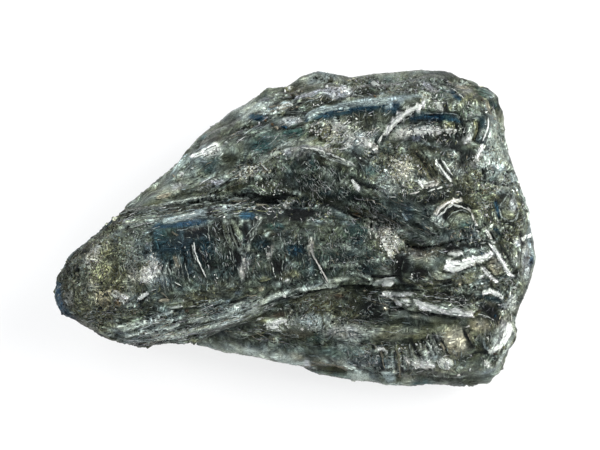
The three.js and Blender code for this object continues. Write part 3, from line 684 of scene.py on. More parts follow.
# ---- the two laths and the back ridge
ms((D, S, OD), .45, 322, 78, 12, 5)
dt(D, 317, 78, 3, 2.2); dt(S, 322, 76, 2); dt(OD, 330, 80, 5, 4)
dt(W, 289, 88, 3, 2.4); dt(W, 285, 91, 2.2); pt(BR, 295, 91, 10, 5, 0, .45); ms((BG, BR, GR), .4, 295, 91, 9, 5)
rd(LL, 3, .65, .06, (296, 98), (310, 94), (320, 91), (335, 89), (345, 88))
dt(PW, 341, 92, 4, 2); dt(W, 327, 87, 2.4); pt(OD, 325, 101, 18, 4, 5, .75)
for q in [(314, 105), (318, 105), (322, 103), (332, 100)]:
    dt(W, q[0], q[1], 1.4)
rd(PB, 4.5, .75, .06, (310, 119), (318, 112), (330, 108), (340, 106), (355, 103), (370, 102), (380, 102.5), (390, 104))
br(PB, 4.2, .6, (322, 110), (334, 107), (345, 105.5), (358, 103))
bd(BB, 8, .85, (312, 119), (330, 115), (350, 112), (372, 109)); bd(BB, 3.5, .8, (340, 112), (360, 107), (375, 107), (385, 111), (395, 113), (400, 112))
ln(BG, 1.8, .8, (268, 107), (280, 105), (290, 104)); ln(BG, 1.8, .7, (270, 111), (282, 109), (290, 107)); ln(S, 2.6, .8, (262, 112), (275, 112))
dt(NB, 257, 118, 6, 2.6); ln(S, 2, .8, (258, 114), (270, 112)); dt(W, 259, 123, 1.8); dt(BG, 251, 127, 2)
dt(OR, 265, 120, 3, 2); dt(OR, 272, 124, 3, 2); pt(PB, 291, 120, 12, 5, 8, .45); ln(S, 2, .8, (288, 112), (302, 112))
dt(K, 300, 103, 4, 2.2); dt(BG, 297, 107, 1.6); dk(K, 2.6, .9, (305, 113), (306, 118)); dt(NB, 285, 127, 4, 3)
bd(TL, 5, .8, (285, 133), (300, 134)); ln(S, 1.5, .7, (295, 127), (305, 126)); dt(BG, 277, 128, 2.8)
pt(BB, 262, 146, 10, 5, 0, .7); ln(S, 2.6, .75, (278, 148), (290, 144), (303, 141), (312, 139))
sp((W, PW, S), .7, 5, (312, 127), (320, 125)); sp((W, S), .5, 5, (323, 123), (330, 122)); sp((W, PW), .7, 5, (311, 131), (318, 133))
sp((W, PW), .7, 6, (334, 128), (341, 126), (343, 130)); sp((W, S), .6, 4, (336, 133), (339, 131)); sp((W, PW, S), .7, 7, (345, 135), (350, 141))
ln(S, 1.6, .8, (325, 127), (332, 123), (340, 119)); pt(GG, 320, 145, 12, 4, 8, .45)
for q in [(278, 157), (284, 154), (286, 159), (292, 150)]:
    dt(W, q[0], q[1], 1.7)
ln(S, 2.6, .6, (262, 158), (270, 156)); pt(LL, 300, 155, 12, 4, 5, .4)

# ---- back ridge, right, and the plates under it
ms((S, GG, D, OD, LL), .5, 395, 85, 60, 9, 0)
dt(S, 376, 85, 6, 4); dt(K, 376, 85, 2); dt(S, 405, 82, 2); dt(S, 410, 90, 2.6); ln(LL, 4.5, .6, (425, 84), (435, 90))
dt(OD, 368, 88, 3); dt(OD, 388, 88, 3); dt(K, 446, 80, 2.6, 5); dt(OR, 375, 96, 3, 2)
pt(PB, 345, 92, 8, 4, 0, .5); ln(S, 2, .7, (355, 95), (363, 96))
br(PB, 5, .85, (340, 107), (355, 103.5), (370, 102), (380, 102.5), (391, 104))
pt(GG, 405, 104, 11, 6, 0, .6); ln(S, 1.5, .8, (400, 109), (412, 104))
pt(D, 380, 124, 15, 13, 0, .6); pt(BB, 378, 128, 10, 8, 0, .4); ln(S, 1.5, .8, (362, 120), (366, 112)); dt(S, 384, 115, 1.8); dt(S, 373, 126, 1.8); dt(W, 357, 119, 1.8)
lt(W, (5.6, 5.0), (387, 132.5), (392, 125.5), (399, 118.5), (407, 112.5), (415, 108), (422.5, 105)); ln(S, 1.4, .8, (388, 124), (395, 117), (403, 111)); dk(K, 1.6, .9, (391, 132), (397, 125), (404, 119.5), (414, 113))
ln(W, 1.8, .9, (377, 143), (380, 139), (383.5, 134))
ln(S, 1.3, .6, (402, 120), (412, 112), (420, 106)); ln(S, 1.3, .6, (400, 124), (410, 117))
sp((W, PW, S), .7, 6, (340, 123), (345, 130)); sp((W, PW, S), .65, 8, (345, 135), (348, 140))
sp((W, PW, S), .7, 5, (355, 136), (365, 141), (372, 143), (375, 149))
sp((W, W, PW), .85, 5.5, (398, 131), (407, 133)); sp((W, PW), .85, 5.5, (413, 129), (417, 132))
sp((W, W, S), .95, 6.5, (420, 133), (426, 132.5), (433, 132)); sp((W, PW), .8, 4, (433, 128), (438, 130)); sp((W, S, PW), .6, 6, (440, 131), (447, 132), (455, 132))
ln(W, 2.2, .95, (413, 133.5), (422, 132.5), (432, 131.5)); ln(W, 2.0, .95, (432, 131), (441, 130), (452, 129)); pt(LL, 417, 138, 6, 3, 0, .5)
dk(NB, 4, .9, (413, 118), (426, 117), (440, 117)); dk(K, 2, .9, (418, 120.5), (430, 120), (440, 120)); pt(OD, 410, 124, 12, 4, 0, .7)
ln(S, 1.4, .8, (428, 114), (440, 113)); dk(K, 1.8, .9, (430, 115.5), (442, 112), (455, 113)); pt(TL, 415, 113, 8, 4, 0, .5)
for q in [(422, 98, 1.5), (428, 108, 1.4)]:
    dt(S, *q)
ln(S, 1.8, .8, (432, 98), (437, 97)); dt(K, 446, 105, 2.2, 3); pt(GG, 437, 106, 7, 5, 0, .5)
ln(S, 1.4, .7, (420, 138), (427, 143), (433, 148)); ln(S, 1.4, .7, (401, 143), (410, 136)); pt(K, 445, 140, 10, 4, 0, .6)
pt(OD, 412, 158, 14, 8, 0, .5); pt(BR, 418, 152, 6, 4, 0, .5); dt(W, 374, 149, 2.4, 1.8); dk(K, 3.6, .8, (354, 152), (359, 158)); dt(W, 360, 158, 1.8)

# ---- upper right: plates and bright edges
ln(BG, 3, .6, (457, 86), (466, 88)); pt(LL, 466, 91, 5, 4, 0, .35); ln(BG, 1.8, .6, (473, 94), (478, 93)); dt(BR, 482, 99, 2.4, 3.2); dt(OR, 480, 97, 1.6)
ln(W, 2.2, .8, (453, 89.5), (458, 93), (463, 97)); dk(NB, 3.6, .9, (451.5, 90.5), (455, 95), (460, 99))
ln(YG, 3, .7, (461, 101), (466, 98), (472, 94)); ln(S, 1.4, .8, (447, 101), (448, 108))
dk(K, 3.4, .9, (443, 105), (446, 110)); dk(K, 2, .9, (452, 113), (459, 115), (460, 118)); dk(K, 3.4, .95, (461, 118.5), (466, 121), (473, 120))
pt(GG, 472, 110, 8, 7, 0, .5); pt(OD, 468, 106, 5, 3, 0, .4); ln(PB, 1.5, .8, (475, 109), (479, 106.5), (483, 110))
dt(W, 486, 112, 2.6, 1.8); ln(PB, 1.8, .8, (486, 110), (487, 107)); ln(BG, 2.6, .7, (488, 104), (489, 110)); dt(K, 492, 109, 1.8, 2.4)
bd(BB, 6, .85, (491, 103), (497, 107)); dt(PB, 491, 97, 4, 2); pt(PB, 487, 92, 8, 4, -40, .3)
bd(BB, 5.5, .85, (485, 116), (483, 122), (484, 127)); lt(W, (2.4, 2.8), (488.5, 117.5), (488, 126), (486, 133), (482.5, 141.5)); ln(S, 1.3, .8, (490.5, 121), (489.5, 129), (487, 137))
br(YG, 3.2, .85, (476, 122), (477, 128), (475.5, 136)); dk(K, 2, .9, (479, 122), (478.5, 130), (475.5, 140)); pt(LL, 482, 132, 3, 3, 0, .6)
dk(K, 1.8, .9, (463, 125), (465, 131), (464, 137)); dt(K, 468, 133, 1.6); sp((W, LL), .8, 4, (464, 142), (471, 141)); pt(S, 463, 143, 5, 3, 0, .4)
dt(OD, 474, 139, 1.8, 3); lt(W, (3.2, 3.8), (483, 146), (480, 151.5), (476, 160)); ms((W, S, PW), .55, 478, 156, 5, 7, -30); dt(W, 477, 158, 2.6, 2)
pt(S, 493, 126, 9, 16, 0, .38); dt(BG, 495, 119, 1.8, 2.6); pt(YG, 494, 134, 6, 6, 0, .22)
rd(S, 3.4, .4, .04, (503, 119), (506, 140), (508, 158)); gr(GR, 2, .5, .03, (500, 121), (503, 140), (505, 158))
for q in [(486, 163), (487, 169), (491, 166), (493, 172), (490, 148), (497, 165)]:
    dt(W, q[0], q[1], 1.4)
dk(K, 2.2, .9, (483, 170), (484, 174), (485, 178)); pt(BB, 495, 173, 4, 5, 0, .6); pt(BB, 466, 155, 8, 6, 0, .6); dk(K, 2.8, .9, (452, 148), (460, 152)); dk(K, 3.4, .9, (461, 154), (462, 162))
pt(GG, 445, 169, 5, 13, 28, .6); lt(W, (2.4, 2.4), (441, 158), (445, 164.5), (449, 170.5), (452.5, 175)); lt(W, (2.8, 2.8), (437, 161.5), (441, 168), (445.5, 174), (450, 180)); dk(K, 1.4, .95, (438.5, 160.5), (443.5, 167.5), (448.5, 174.5), (451.5, 177.5)); ln(S, 1.3, .8, (436, 161), (441, 170), (446, 178))
sp((PW, S), .6, 2.5, (451, 156), (459, 155)); pt(LL, 473, 165, 5, 3, 0, .35); dt(W, 478, 160, 1.5)
bd(PB, 3.5, .4, (505, 160), (511, 170), (517, 182)); dk(K, 2, .95, (507, 171.5), (513, 172.5)); dt(YG, 509, 181, 2); dt(YG, 513, 184, 1.6)
pt(LL, 460, 170, 8, 8, 0, .12)

# ---- the saddle between the crystals
pt(GG, 404, 170, 11, 14, 0, .45); pt(S, 404, 168, 8, 11, 0, .28); dt(W, 406, 156.5, 1.6, 2.2)
pt(TL, 371, 173, 8, 5, 0, .7); ms((YG, BG, OL, OD), .35, 386, 163, 13, 12); dt(K, 390, 168, 1.6); dt(YG, 384, 163, 2); dt(K, 371, 157, 2.4, 1.6)
ln(PB, 1.3, .8, (359, 163), (364, 171)); dk(K, 1.6, .8, (360, 159), (368, 166)); br(W, 4, .95, (353, 180), (355, 185), (358, 189))
bd(OD, 8, .65, (412, 150), (420, 158), (428, 166), (433, 173)); ms((K, OR, BG, OD), .35, 422, 161, 14, 5, -45); ms((YG, BG, OL), .4, 435, 152, 5, 4); dt(W, 436, 152, 1.6)
ln(W, 2.6, .9, (419.5, 182), (423, 186.5)); ln(W, 1.7, .95, (424, 183.5), (434, 181)); ln(PW, 1.9, .95, (426, 187.5), (438, 184)); ln(W, 1.9, .95, (430, 190.5), (441, 187)); dk(K, 1.5, .9, (424, 188), (432, 186)); ln(OR, 1.8, .8, (433, 178), (437, 181))
pt(S, 388, 186, 14, 12, 0, .25); ms((S, PB, GG, LL), .35, 388, 187, 14, 12); ln(S, 1.8, .8, (392, 182), (399, 187)); ln(PW, 2.2, .8, (402, 184), (407, 187)); ln(PW, 1.9, .9, (410, 194), (418, 192))
bd(K, 7, .75, (424, 202), (436, 199), (446, 196)); pt(K, 426, 203, 10, 5, 15, .5)
pt(BB, 405, 212, 34, 14, -10, .55); pt(D, 415, 225, 26, 14, -10, .5)
ln(PB, 2.6, .8, (403, 214), (407, 219.5)); ln(S, 1.5, .7, (400, 209), (402, 213)); dt(W, 423, 219, 1.2); ln(S, 1.4, .8, (415, 223), (419, 222.5), (421, 226)); dt(K, 418, 223.5, 1.4)
ln(S, 1.6, .75, (410, 230.5), (418, 234), (425, 237)); ln(S, 1.3, .6, (409, 229), (413, 230)); dt(K, 429.5, 215, 1.8, 2.2); ln(S, 1.8, .8, (427, 211), (428, 216))

# ---- the curled shell and its core
pt(S, 438, 220, 6, 6, 0, .5)
lt(PW, (3.6, 2.6), (436, 214), (440.5, 208.5), (447, 203.5), (454, 200.5), (461, 199))
for q in [(W, 1.8, (439, 216), (444, 211), (449, 206.5), (453, 204)), (BG, 1.6, (435, 211), (440, 206), (446, 202))]:
    br(q[0], q[1], .9, *q[2:])
dk(D, 1.3, .9, (439, 211), (444, 206.5), (450, 202.5)); ln(W, 1.8, .95, (453, 204), (460, 206), (467, 208.5)); ln(S, 1.6, .8, (456, 201.5), (463, 203), (471, 206))
dk(K, 4.6, .95, (444.5, 217), (447, 211), (452, 208), (458, 208.5), (463, 209.5)); dk(K, 2, .9, (457, 203.3), (462, 202), (467, 204.5)); dk(K, 2.2, .9, (463, 205), (469, 207.5), (475, 207.5))
ln(PW, 2.2, .95, (467.5, 208), (471, 211), (473, 216), (475, 221), (478, 226)); dt(W, 476.5, 225, 2.4)
pt(GG, 459, 219, 12, 8, 0, .65); pt(OL, 452, 224, 6, 5, 0, .6); pt(TL, 465, 225, 8, 4, 0, .6); ln(S, 1.9, .75, (447, 219), (451, 214), (457, 211), (463, 210), (468, 212.5))
ms((BG, BR, OL, LL), .35, 460, 236, 12, 6); dt(K, 466, 236, 1.6); dt(BG, 455, 233, 1.8); dt(BG, 460, 235, 1.6); dt(BG, 452, 237, 1.6)
pt(OL, 468, 182, 11, 7, 0, .55); pt(BB, 492, 180, 5, 4, 0, .6); ms((BG, OR, OL, GR), .35, 486, 190, 8, 7); ms((BG, GR, LL), .25, 480, 205, 10, 10)
dk(NB, 3.4, .9, (496, 203), (497.5, 209), (498, 216)); dk(K, 1.6, .8, (495, 198), (497, 203))

# ---- right end: teardrop, thin laths, rim
for q in [((509, 190.5), (505, 198), (501, 205), (500, 212), (503, 218), (508, 221)), ((508, 221), (514, 221), (518, 216), (519, 208)), ((509, 190.5), (513, 195), (516, 201), (518, 207))]:
    ln(S, 2, .8, *q)
bd(GR, 4, .5, (507, 198), (504, 206), (506, 213)); pt(LL, 514, 205, 3.5, 8, 0, .55); pt(PB, 513, 207, 2.4, 6, 0, .4); dt(YG, 519, 211, 2); dt(BG, 518, 208, 1.6); dk(K, 3.6, .9, (504.5, 192.5), (500, 199))
dk(K, 1.8, .8, (506, 223), (511, 224), (514, 226.5)); dt(K, 486, 225, 1.8); dt(K, 515, 224, 1.6)
ln(W, 2.6, .95, (487, 231), (490, 236), (493.5, 241.5)); ln(S, 2, .85, (492, 232), (495, 237), (497.5, 242)); dk(K, 1.6, .9, (490.5, 232), (494.5, 239)); dk(NB, 3, .9, (495, 229), (500, 233.5))
lt(W, (2.4, 3.6), (492, 245), (496, 252), (500, 258), (504, 265), (508, 271), (512, 275)); lt(W, (2.6, 2.6), (483, 268), (487, 272.5), (491, 277), (497, 281)); lt(W, (2.0, 2.0), (487, 231), (490, 236), (493.5, 242))
ms((BG, OR, OL, BR), .4, 508, 236, 6, 5); pt(OD, 506, 244, 6, 5, 0, .75); dt(K, 508, 248, 2); pt(LL, 517, 241, 4, 5, 0, .55); br(W, 3.4, .95, (522, 240), (526, 237), (531, 235)); dt(W, 522.5, 239, 2)
dt(K, 532, 262, 2.2, 3); dt(BR, 528, 258, 2.6); bd(PB, 4, .4, (530, 245), (533, 254)); bd(S, 4, .3, (521, 190), (528, 210), (532, 232))
lt(W, (9, 5), (447, 267.5), (454, 269.5), (462, 267), (470, 263.5), (478, 260.5)); lt(W, (6.5, 4.5), (449, 262.5), (459, 264), (467, 262), (475, 260)); lt(W, (5.0, 5.4), (473, 260.5), (481, 258.5), (487, 256.5), (491, 254)); dk(K, 2, .9, (475.5, 261.5), (477, 264))
ln(W, 3, .9, (449.5, 253.5), (456, 255), (461.5, 253.5)); dt(W, 458.5, 254.5, 2.2); bd(PB, 4, .45, (445, 276), (460, 272), (474, 268)); dk(K, 2, .9, (434, 280.5), (444, 281), (452, 279))
dt(YG, 463, 279, 1.8); ln(BG, 2.6, .9, (459, 281), (461, 284.5)); ln(S, 1.4, .8, (481, 251), (486, 252)); dt(NB, 482, 253.5, 1.6); pt(D, 481, 244, 6, 5, 0, .6); dt(K, 479, 243, 1.4, 2.4); dt(K, 488, 242, 1.4); dt(W, 481, 247, 1.4)

# ---- glitter patch, small cylinder and the folds below
for q in [((369, 221), (368.5, 230), (371, 238)), ((373.5, 222), (373.5, 230), (376, 237)), ((379, 225), (379.5, 234), (382, 243)), ((377, 219), (380, 221), (383, 222))]:
    ln(PW, 1.7, .85, *q)
dk(K, 1.3, .8, (371.5, 222), (371.5, 231), (373, 237)); sp((W, PW, BG), .75, 6, (382, 226), (384, 235), (386, 244), (389, 251), (391, 255))
ln(W, 2.8, .9, (383, 240), (386, 247), (390, 255)); sp((BG, PW), .6, 4, (386, 226), (390, 233)); sp((W, BG), .7, 4, (392, 243), (396, 251)); sp((S, LL), .5, 5, (395, 232), (401, 243)); dt(K, 392, 242, 1.5); ln(PW, 1.8, .9, (396, 247), (398, 253)); ms((BG, PW, OL, D), .4, 387, 237, 10, 14, -25)
dt(W, 397, 261.5, 1.7); dt(W, 409, 253, 1.4); ln(W, 2, .95, (420.5, 252), (422, 255)); dt(S, 428, 252, 1.2); dt(W, 432, 251.5, 1.2); dt(BG, 405, 252, 1.4)
dk(K, 3.6, 1, (402, 257), (398.5, 262), (397, 269), (398, 276), (401, 281), (405, 284.5), (411, 286)); ln(S, 1.5, .8, (396, 258), (394, 266), (394.5, 274)); ln(GG, 1.6, .8, (403, 262), (401.5, 269), (402.5, 276)); pt(D, 405, 266, 6, 10, 0, .8); pt(K, 403, 263, 4, 6, 0, .5)
sp((W, PW), .9, 3, (410.5, 275), (412.5, 278)); dt(S, 415, 280, 1.6); bd(K, 5, .95, (413, 272.5), (419, 271.5), (425, 271)); pt(K, 420, 274, 6, 4, 0, .9, .4); ln(S, 1.8, .8, (428, 272), (431, 277)); dt(PB, 433, 278, 1.4)
dk(K, 2.4, .95, (373, 274.5), (380, 277), (388, 277.3), (396, 276)); lt(S, (2.2, 3.0), (374, 284), (379, 282.5), (384, 281)); pl(W, (382.5, 280), (387, 279), (392.5, 279.5), (394, 283), (391, 286.5), (385, 286))
br(W, 2.6, .9, (384, 293.5), (391, 296.5)); br(W, 3, .9, (391, 293.5), (401, 294.5), (410.5, 294.5)); br(W, 3.6, .9, (396, 301), (400.5, 304)); ln(W, 2, .9, (404, 306), (408.5, 305))
br(W, 4, .95, (416, 301), (422, 304), (429, 306), (436, 307.5), (441, 310)); br(W, 3.4, .95, (420.5, 307), (426, 309), (432, 310)); br(S, 3, .8, (430, 311.5), (441, 313)); br(W, 3.6, .95, (440, 311.5), (446.5, 312))
br(W, 5, .97, (449, 312), (455, 310), (461, 311.5)); br(PW, 3.2, .95, (462, 313.5), (468, 312.5), (473, 313.5)); br(YG, 2.6, .95, (473, 315.5), (477, 313.5), (480, 311.5)); ln(W, 2.4, .9, (483, 316), (486.5, 317.5)); dk(BR, 1.5, .9, (474, 314), (481, 310.5))
bd(GG, 6, .5, (420, 315), (436, 318), (452, 318)); pt(LL, 462, 316, 8, 2, 0, .4)
pt(D, 366, 300, 14, 15, 0, .65); pt(K, 374, 310, 9, 9, 0, .85); bd(K, 8, .85, (366, 312), (374, 316), (382, 318)); pt(K, 348, 289, 10, 3.5, 0, .8); dt(BG, 364, 291, 2.6, 2)
ln(S, 1.6, .9, (379, 298), (381, 303)); dt(S, 383, 313.5, 1.8, 2.2); dt(S, 386.5, 312, 1.8); dt(S, 389, 315, 1.8); dt(PW, 396, 310, 1.3); ln(S, 2.4, .8, (402, 316.5), (407.5, 316.5))
gr(D, 3.5, .8, .08, (355, 320), (370, 321), (385, 322), (410, 325), (432, 326)); pt(OL, 428, 296, 16, 6, 0, .6); ln(S, 1.4, .6, (443, 286), (452, 284)); dk(K, 1.5, .9, (444, 284.5), (452, 281.5)); dt(K, 448, 290, 1.8)
pt(BB, 372, 262, 18, 14, 0, .4); ln(PB, 1.6, .5, (362, 262), (367, 267)); ms((S, GR, BG), .2, 434, 248, 10, 14)
lt(W, (3, 3.4), (484, 293), (490, 291.5), (496, 293.5), (502, 297.5)); bd(BB, 5, .85, (482, 296), (490, 298), (499, 301)); dt(W, 501, 297.5, 2); dt(YG, 506, 298, 1.9)
pt(BR, 491, 304, 7, 3, 0, .5); dt(PW, 499, 305, 1.6); dt(K, 462, 303, 3, 3.4); bd(K, 7.5, .92, (482, 305), (488, 310), (493, 316), (498, 321)); dt(NB, 495.5, 316, 1.6, 2.6)
pt(S, 506, 309, 6, 7, 0, .45); pt(LL, 505, 309, 5, 5, 0, .3); pt(OL, 481, 322, 13, 7, 0, .55); dt(PW, 468, 326.5, 3.4, 1.5)

# ---- lower crystal, right: pale plate, gash, bright edge
pt(BG, 457, 340, 14, 13, 10, .55); dt(PW, 458, 333, 1.6); dt(K, 457, 346.5, 1.4); dk(K, 1.6, .9, (463.5, 330.5), (465.5, 335.5), (468, 340)); ln(BG, 1.6, .8, (467, 332), (470, 340))
bd(OD, 6, .8, (468, 342), (472, 347), (480, 350)); dt(K, 470, 346, 2); pt(OD, 484, 345, 5, 5, 0, .6)
br(W, 5.5, .97, (509.5, 325.5), (508.5, 332), (505.5, 339), (502, 345)); br(W, 4.6, .97, (491.5, 352), (496, 348.5), (501.5, 346.5)); dt(YG, 504, 347.5, 2.6)
pt(LL, 500, 332, 6, 15, -20, .5); pt(PB, 497, 336, 4, 10, -25, .35); dt(W, 488, 338.5, 1.8); ln(PB, 2.8, .8, (484, 342), (485, 346), (487.5, 350.5)); dt(K, 491, 343, 1.5); dk(K, 2.6, .9, (482.5, 347), (487, 352.5)); dt(BR, 496, 354, 4, 2.2)
pt(S, 507, 345, 5, 10, -20, .15); bd(S, 4, .4, (514, 320), (514, 332), (509, 344), (503, 358), (497, 370))
sp((W, PB, W), .85, 5, (437.5, 361.5), (442.5, 364.5), (447, 367.5)); ln(W, 2.8, .95, (447, 362), (449, 368.5)); pt(PB, 435, 358, 4, 3, 0, .6); sp((PW, W), .9, 4, (485, 361), (487, 364), (490.5, 367)); dt(K, 485.5, 364.5, 1.4)
dt(W, 470, 370, 1.8); dt(PW, 459, 375, 2.4, 1.8); ln(PB, 1.9, .8, (455, 361), (455.5, 366)); ln(S, 1.5, .8, (461, 358.5), (464.5, 356)); ln(S, 1.5, .8, (466.5, 359.5), (469.5, 357)); dt(PB, 465, 366, 1.4)
pt(PB, 490, 374, 12, 6, 15, .35); pt(GG, 478, 366, 14, 6, 10, .2)

# ---- lower crystal, middle: ribs and cracks
pt(OL, 390, 333, 24, 7, 0, .45); pt(BG, 390, 333, 20, 5, 0, .14); ln(PB, 2, .4, (335, 333), (350, 331), (360, 334)); gr(D, 2.5, .6, .06, (335, 342), (350, 344), (362, 344))
br(W, 2.6, .9, (378, 348), (383, 349.5), (386.5, 351.5)); ln(BG, 1.6, .9, (380.5, 352), (381.5, 357), (383, 363), (384.5, 369.5)); ln(BG, 2, .9, (397, 352), (398.5, 358), (398.5, 365), (400, 372), (399, 378))
dk(K, 2.2, .9, (394, 352), (395, 362), (396, 369.5)); dt(W, 399, 349, 1.8); sp((W, S), .8, 3, (402.5, 347), (406, 350), (404, 353)); ln(PW, 2.6, .9, (407, 359), (409, 363)); dt(S, 402.5, 366, 2); dk(K, 2, .9, (402, 367), (402.5, 373))
dk(K, 2.4, .95, (413.5, 344.5), (417, 351), (421, 357.5)); dt(W, 416, 344, 2.2); dt(PW, 421, 354, 1.2); dk(K, 2, .95, (423, 340), (426, 345), (428, 348.5)); ln(PW, 1.6, .8, (427, 338), (428, 335)); dt(S, 427, 329, 1.8)
dk(K, 2.4, .95, (433, 334), (436, 341), (439, 347.5)); ln(BG, 2.6, .8, (442, 343.5), (445, 349)); dk(K, 1.6, .9, (441, 347), (442.5, 350.5)); pt(LL, 438, 337, 4, 3, 0, .4); dk(K, 1.2, .8, (440, 340), (446, 349)); pt(S, 431, 343, 3, 6, 0, .3)
sp((W, W, PW), .9, 5, (414, 364), (418.5, 366)); ln(W, 2.6, .95, (422, 362), (424, 368)); sp((W, W), .9, 4.5, (427, 361.5), (428.5, 366.5)); ln(PW, 2.8, .95, (425, 367.3), (432.5, 366.5))
pt(OD, 416, 374, 13, 4, 0, .5); pt(BG, 408, 378, 8, 4, 0, .25); pt(PB, 388, 376, 8, 4.5, -30, .75, .35)
rd(S, 3, .6, .05, (345, 363), (355, 368), (360, 372), (367, 377)); gr(D, 2, .8, .05, (350, 357), (356, 364), (362, 370), (369, 374)); ln(S, 1.4, .6, (361, 365), (368, 373)); bd(PB, 3.5, .45, (345, 378), (362, 381.5), (382, 384), (400, 386))
pt(TL, 372, 369, 10, 2.4, 0, .5); bd(TL, 3, .7, (414, 384), (424, 382.5), (431, 384)); pt(BB, 380, 360, 18, 8, 0, .35); pt(D, 358, 355, 14, 6, -20, .4)

# ---- second look: the left end
for q in [(K, 60, 292, 5, 22, 0, .6), (K, 70, 316, 12, 4, -35, .6), (K, 100, 336, 22, 3.5, -28, .6), (K, 140, 344, 30, 4, 0, .8), (GR, 138, 242, 16, 11, 0, .4),
          (YG, 98, 270, 8, 11, 0, .28), (BG, 102, 298, 9, 8, 0, .30), (LL, 132, 262, 9, 11, 0, .22), (PW, 152, 270, 8, 8, -35, .6), (PW, 144, 279, 4.5, 5, 0, .5),
          (D, 160, 287, 9, 6, 0, .45), (PW, 121, 297, 6, 3.5, -35, .5), (OR, 117.5, 303, 4.5, 3, 0, .7), (D, 144, 306, 8, 4.5, 0, .6), (S, 128, 284, 8, 7, 0, .25),
          (OL, 110, 318, 18, 7, -15, .35), (OD, 68, 258, 5, 10, -20, .4), (GG, 112, 238, 10, 6, 30, .3)]:
    pt(*q)
ms((W, PW, PW, S), .55, 151.5, 268, 8, 8, -35); ms((PW, W, LL), .5, 144, 279, 4, 5); ms((PW, W, BG), .45, 121, 297, 7, 3.5, -40); ms((BG, YG, LL), .3, 98, 272, 9, 13); ms((LL, GR, S), .25, 138, 242, 15, 11)
ms((BG, PW, GR), .2, 104, 298, 14, 10); ln(PW, 1.5, .9, (118, 294), (122, 298), (126, 302)); lt(W, (2.4, 2.6), (140.5, 300), (144, 297), (148, 294)); ln(S, 1.2, .7, (126, 301), (134, 296))
for q in [((164, 268), (166, 280), (169, 292)), ((168, 266), (171, 278), (173, 290)), ((160, 272), (163, 284), (166, 296)), ((174, 259), (177, 266), (179, 274)), ((178, 258), (181, 266), (183, 276)), ((185, 262), (187, 272), (190, 283))]:
    ln(S, 1.4, .75, *q)
pt(S, 177, 266, 4, 8, -15, .4); pt(GG, 167, 283, 4.5, 13, -12, .45); pt(K, 208, 259, 7, 11, 0, .6); pt(BB, 188, 250, 6, 12, 0, .5); dk(K, 2, .9, (169, 262), (171, 270)); dk(K, 2, .9, (184, 254), (187, 264))
ln(W, 1.4, .9, (172, 307.5), (183, 306.5)); ln(W, 1.4, .9, (190, 307), (203, 305)); ln(S, 1.3, .8, (175, 326), (192, 322), (208, 318)); dk(D, 1.6, .9, (170, 310), (185, 309), (200, 308))

# ---- second look: the barrel
for q in [(K, 300, 213, 15, 5, -5, .7), (D, 262, 222, 6, 8, 0, .4), (D, 210, 240, 8, 8, 0, .5), (LL, 245, 268, 4, 11, -12, .5), (K, 237, 259, 3.5, 9, -10, .75), (K, 221, 252, 4, 10, -10, .4),
          (S, 287, 280, 4.5, 2.2, 0, .8), (YG, 265, 279, 5, 2.4, 0, .6), (YG, 296, 275, 4.5, 3.5, 0, .6), (OL, 215, 292, 28, 12, 12, .4), (OL, 190, 302, 24, 7, 8, .35), (GR, 330, 232, 30, 12, 0, .35),
          (BB, 297, 249, 10, 6, 0, .6), (D, 280, 305, 22, 3, 14, .6), (OD, 318, 302, 26, 8, 6, .6), (BR, 336, 296, 8, 3.5, 0, .5), (OR, 339, 295, 4.5, 2.4, 0, .5), (D, 245, 341, 36, 7, 10, .5),
          (TL, 200, 286, 12, 5, 0, .3), (BB, 258, 243, 10, 7, 0, .4), (K, 330, 201, 14, 4, -18, .45)]:
    pt(*q)
ms((PW, LL, S), .45, 245, 268, 4, 11, -12); ms((S, GG, LL), .3, 294, 241, 11, 6); ms((GG, YG, S), .22, 215, 292, 28, 12, 12); ms((W, S, W), .5, 280, 325, 17, 6, 8); ms((W, S, GG), .28, 307, 324, 12, 8); ms((YG, OR, OD, GG), .25, 322, 303, 22, 8, 5)
for q in [((232, 250), (233, 258), (235, 266)), ((241, 256), (244, 266), (248, 278)), ((245, 254), (248, 265), (251, 278)), ((238, 268), (240, 276), (242, 284)), ((284, 236), (286, 246)), ((290, 236), (291, 245)), ((298, 238), (299, 247)), ((304, 240), (305, 250))]:
    ln(S, 1.3, .7, *q)
for q in [((190, 283), (204, 290), (222, 293), (240, 290)), ((196, 292), (214, 298), (234, 297), (250, 291)), ((188, 298), (206, 304), (226, 303)), ((214, 284), (230, 288), (246, 284)), ((250, 287), (262, 286), (276, 284))]:
    ln(GG, 1.2, .6, *q)
for q in [((190, 333), (215, 328), (240, 321), (254, 316)), ((196, 336), (222, 330), (248, 322))]:
    ln(S, 1.2, .65, *q)
dk(K, 1.2, .7, (258, 307), (275, 302), (292, 298)); dk(K, 1.2, .8, (300, 296), (312, 292.5), (324, 289.5), (338, 287.5)); dk(K, 1.6, .9, (288, 209), (300, 211), (314, 210)); dk(K, 1.6, .9, (290, 216), (304, 217))

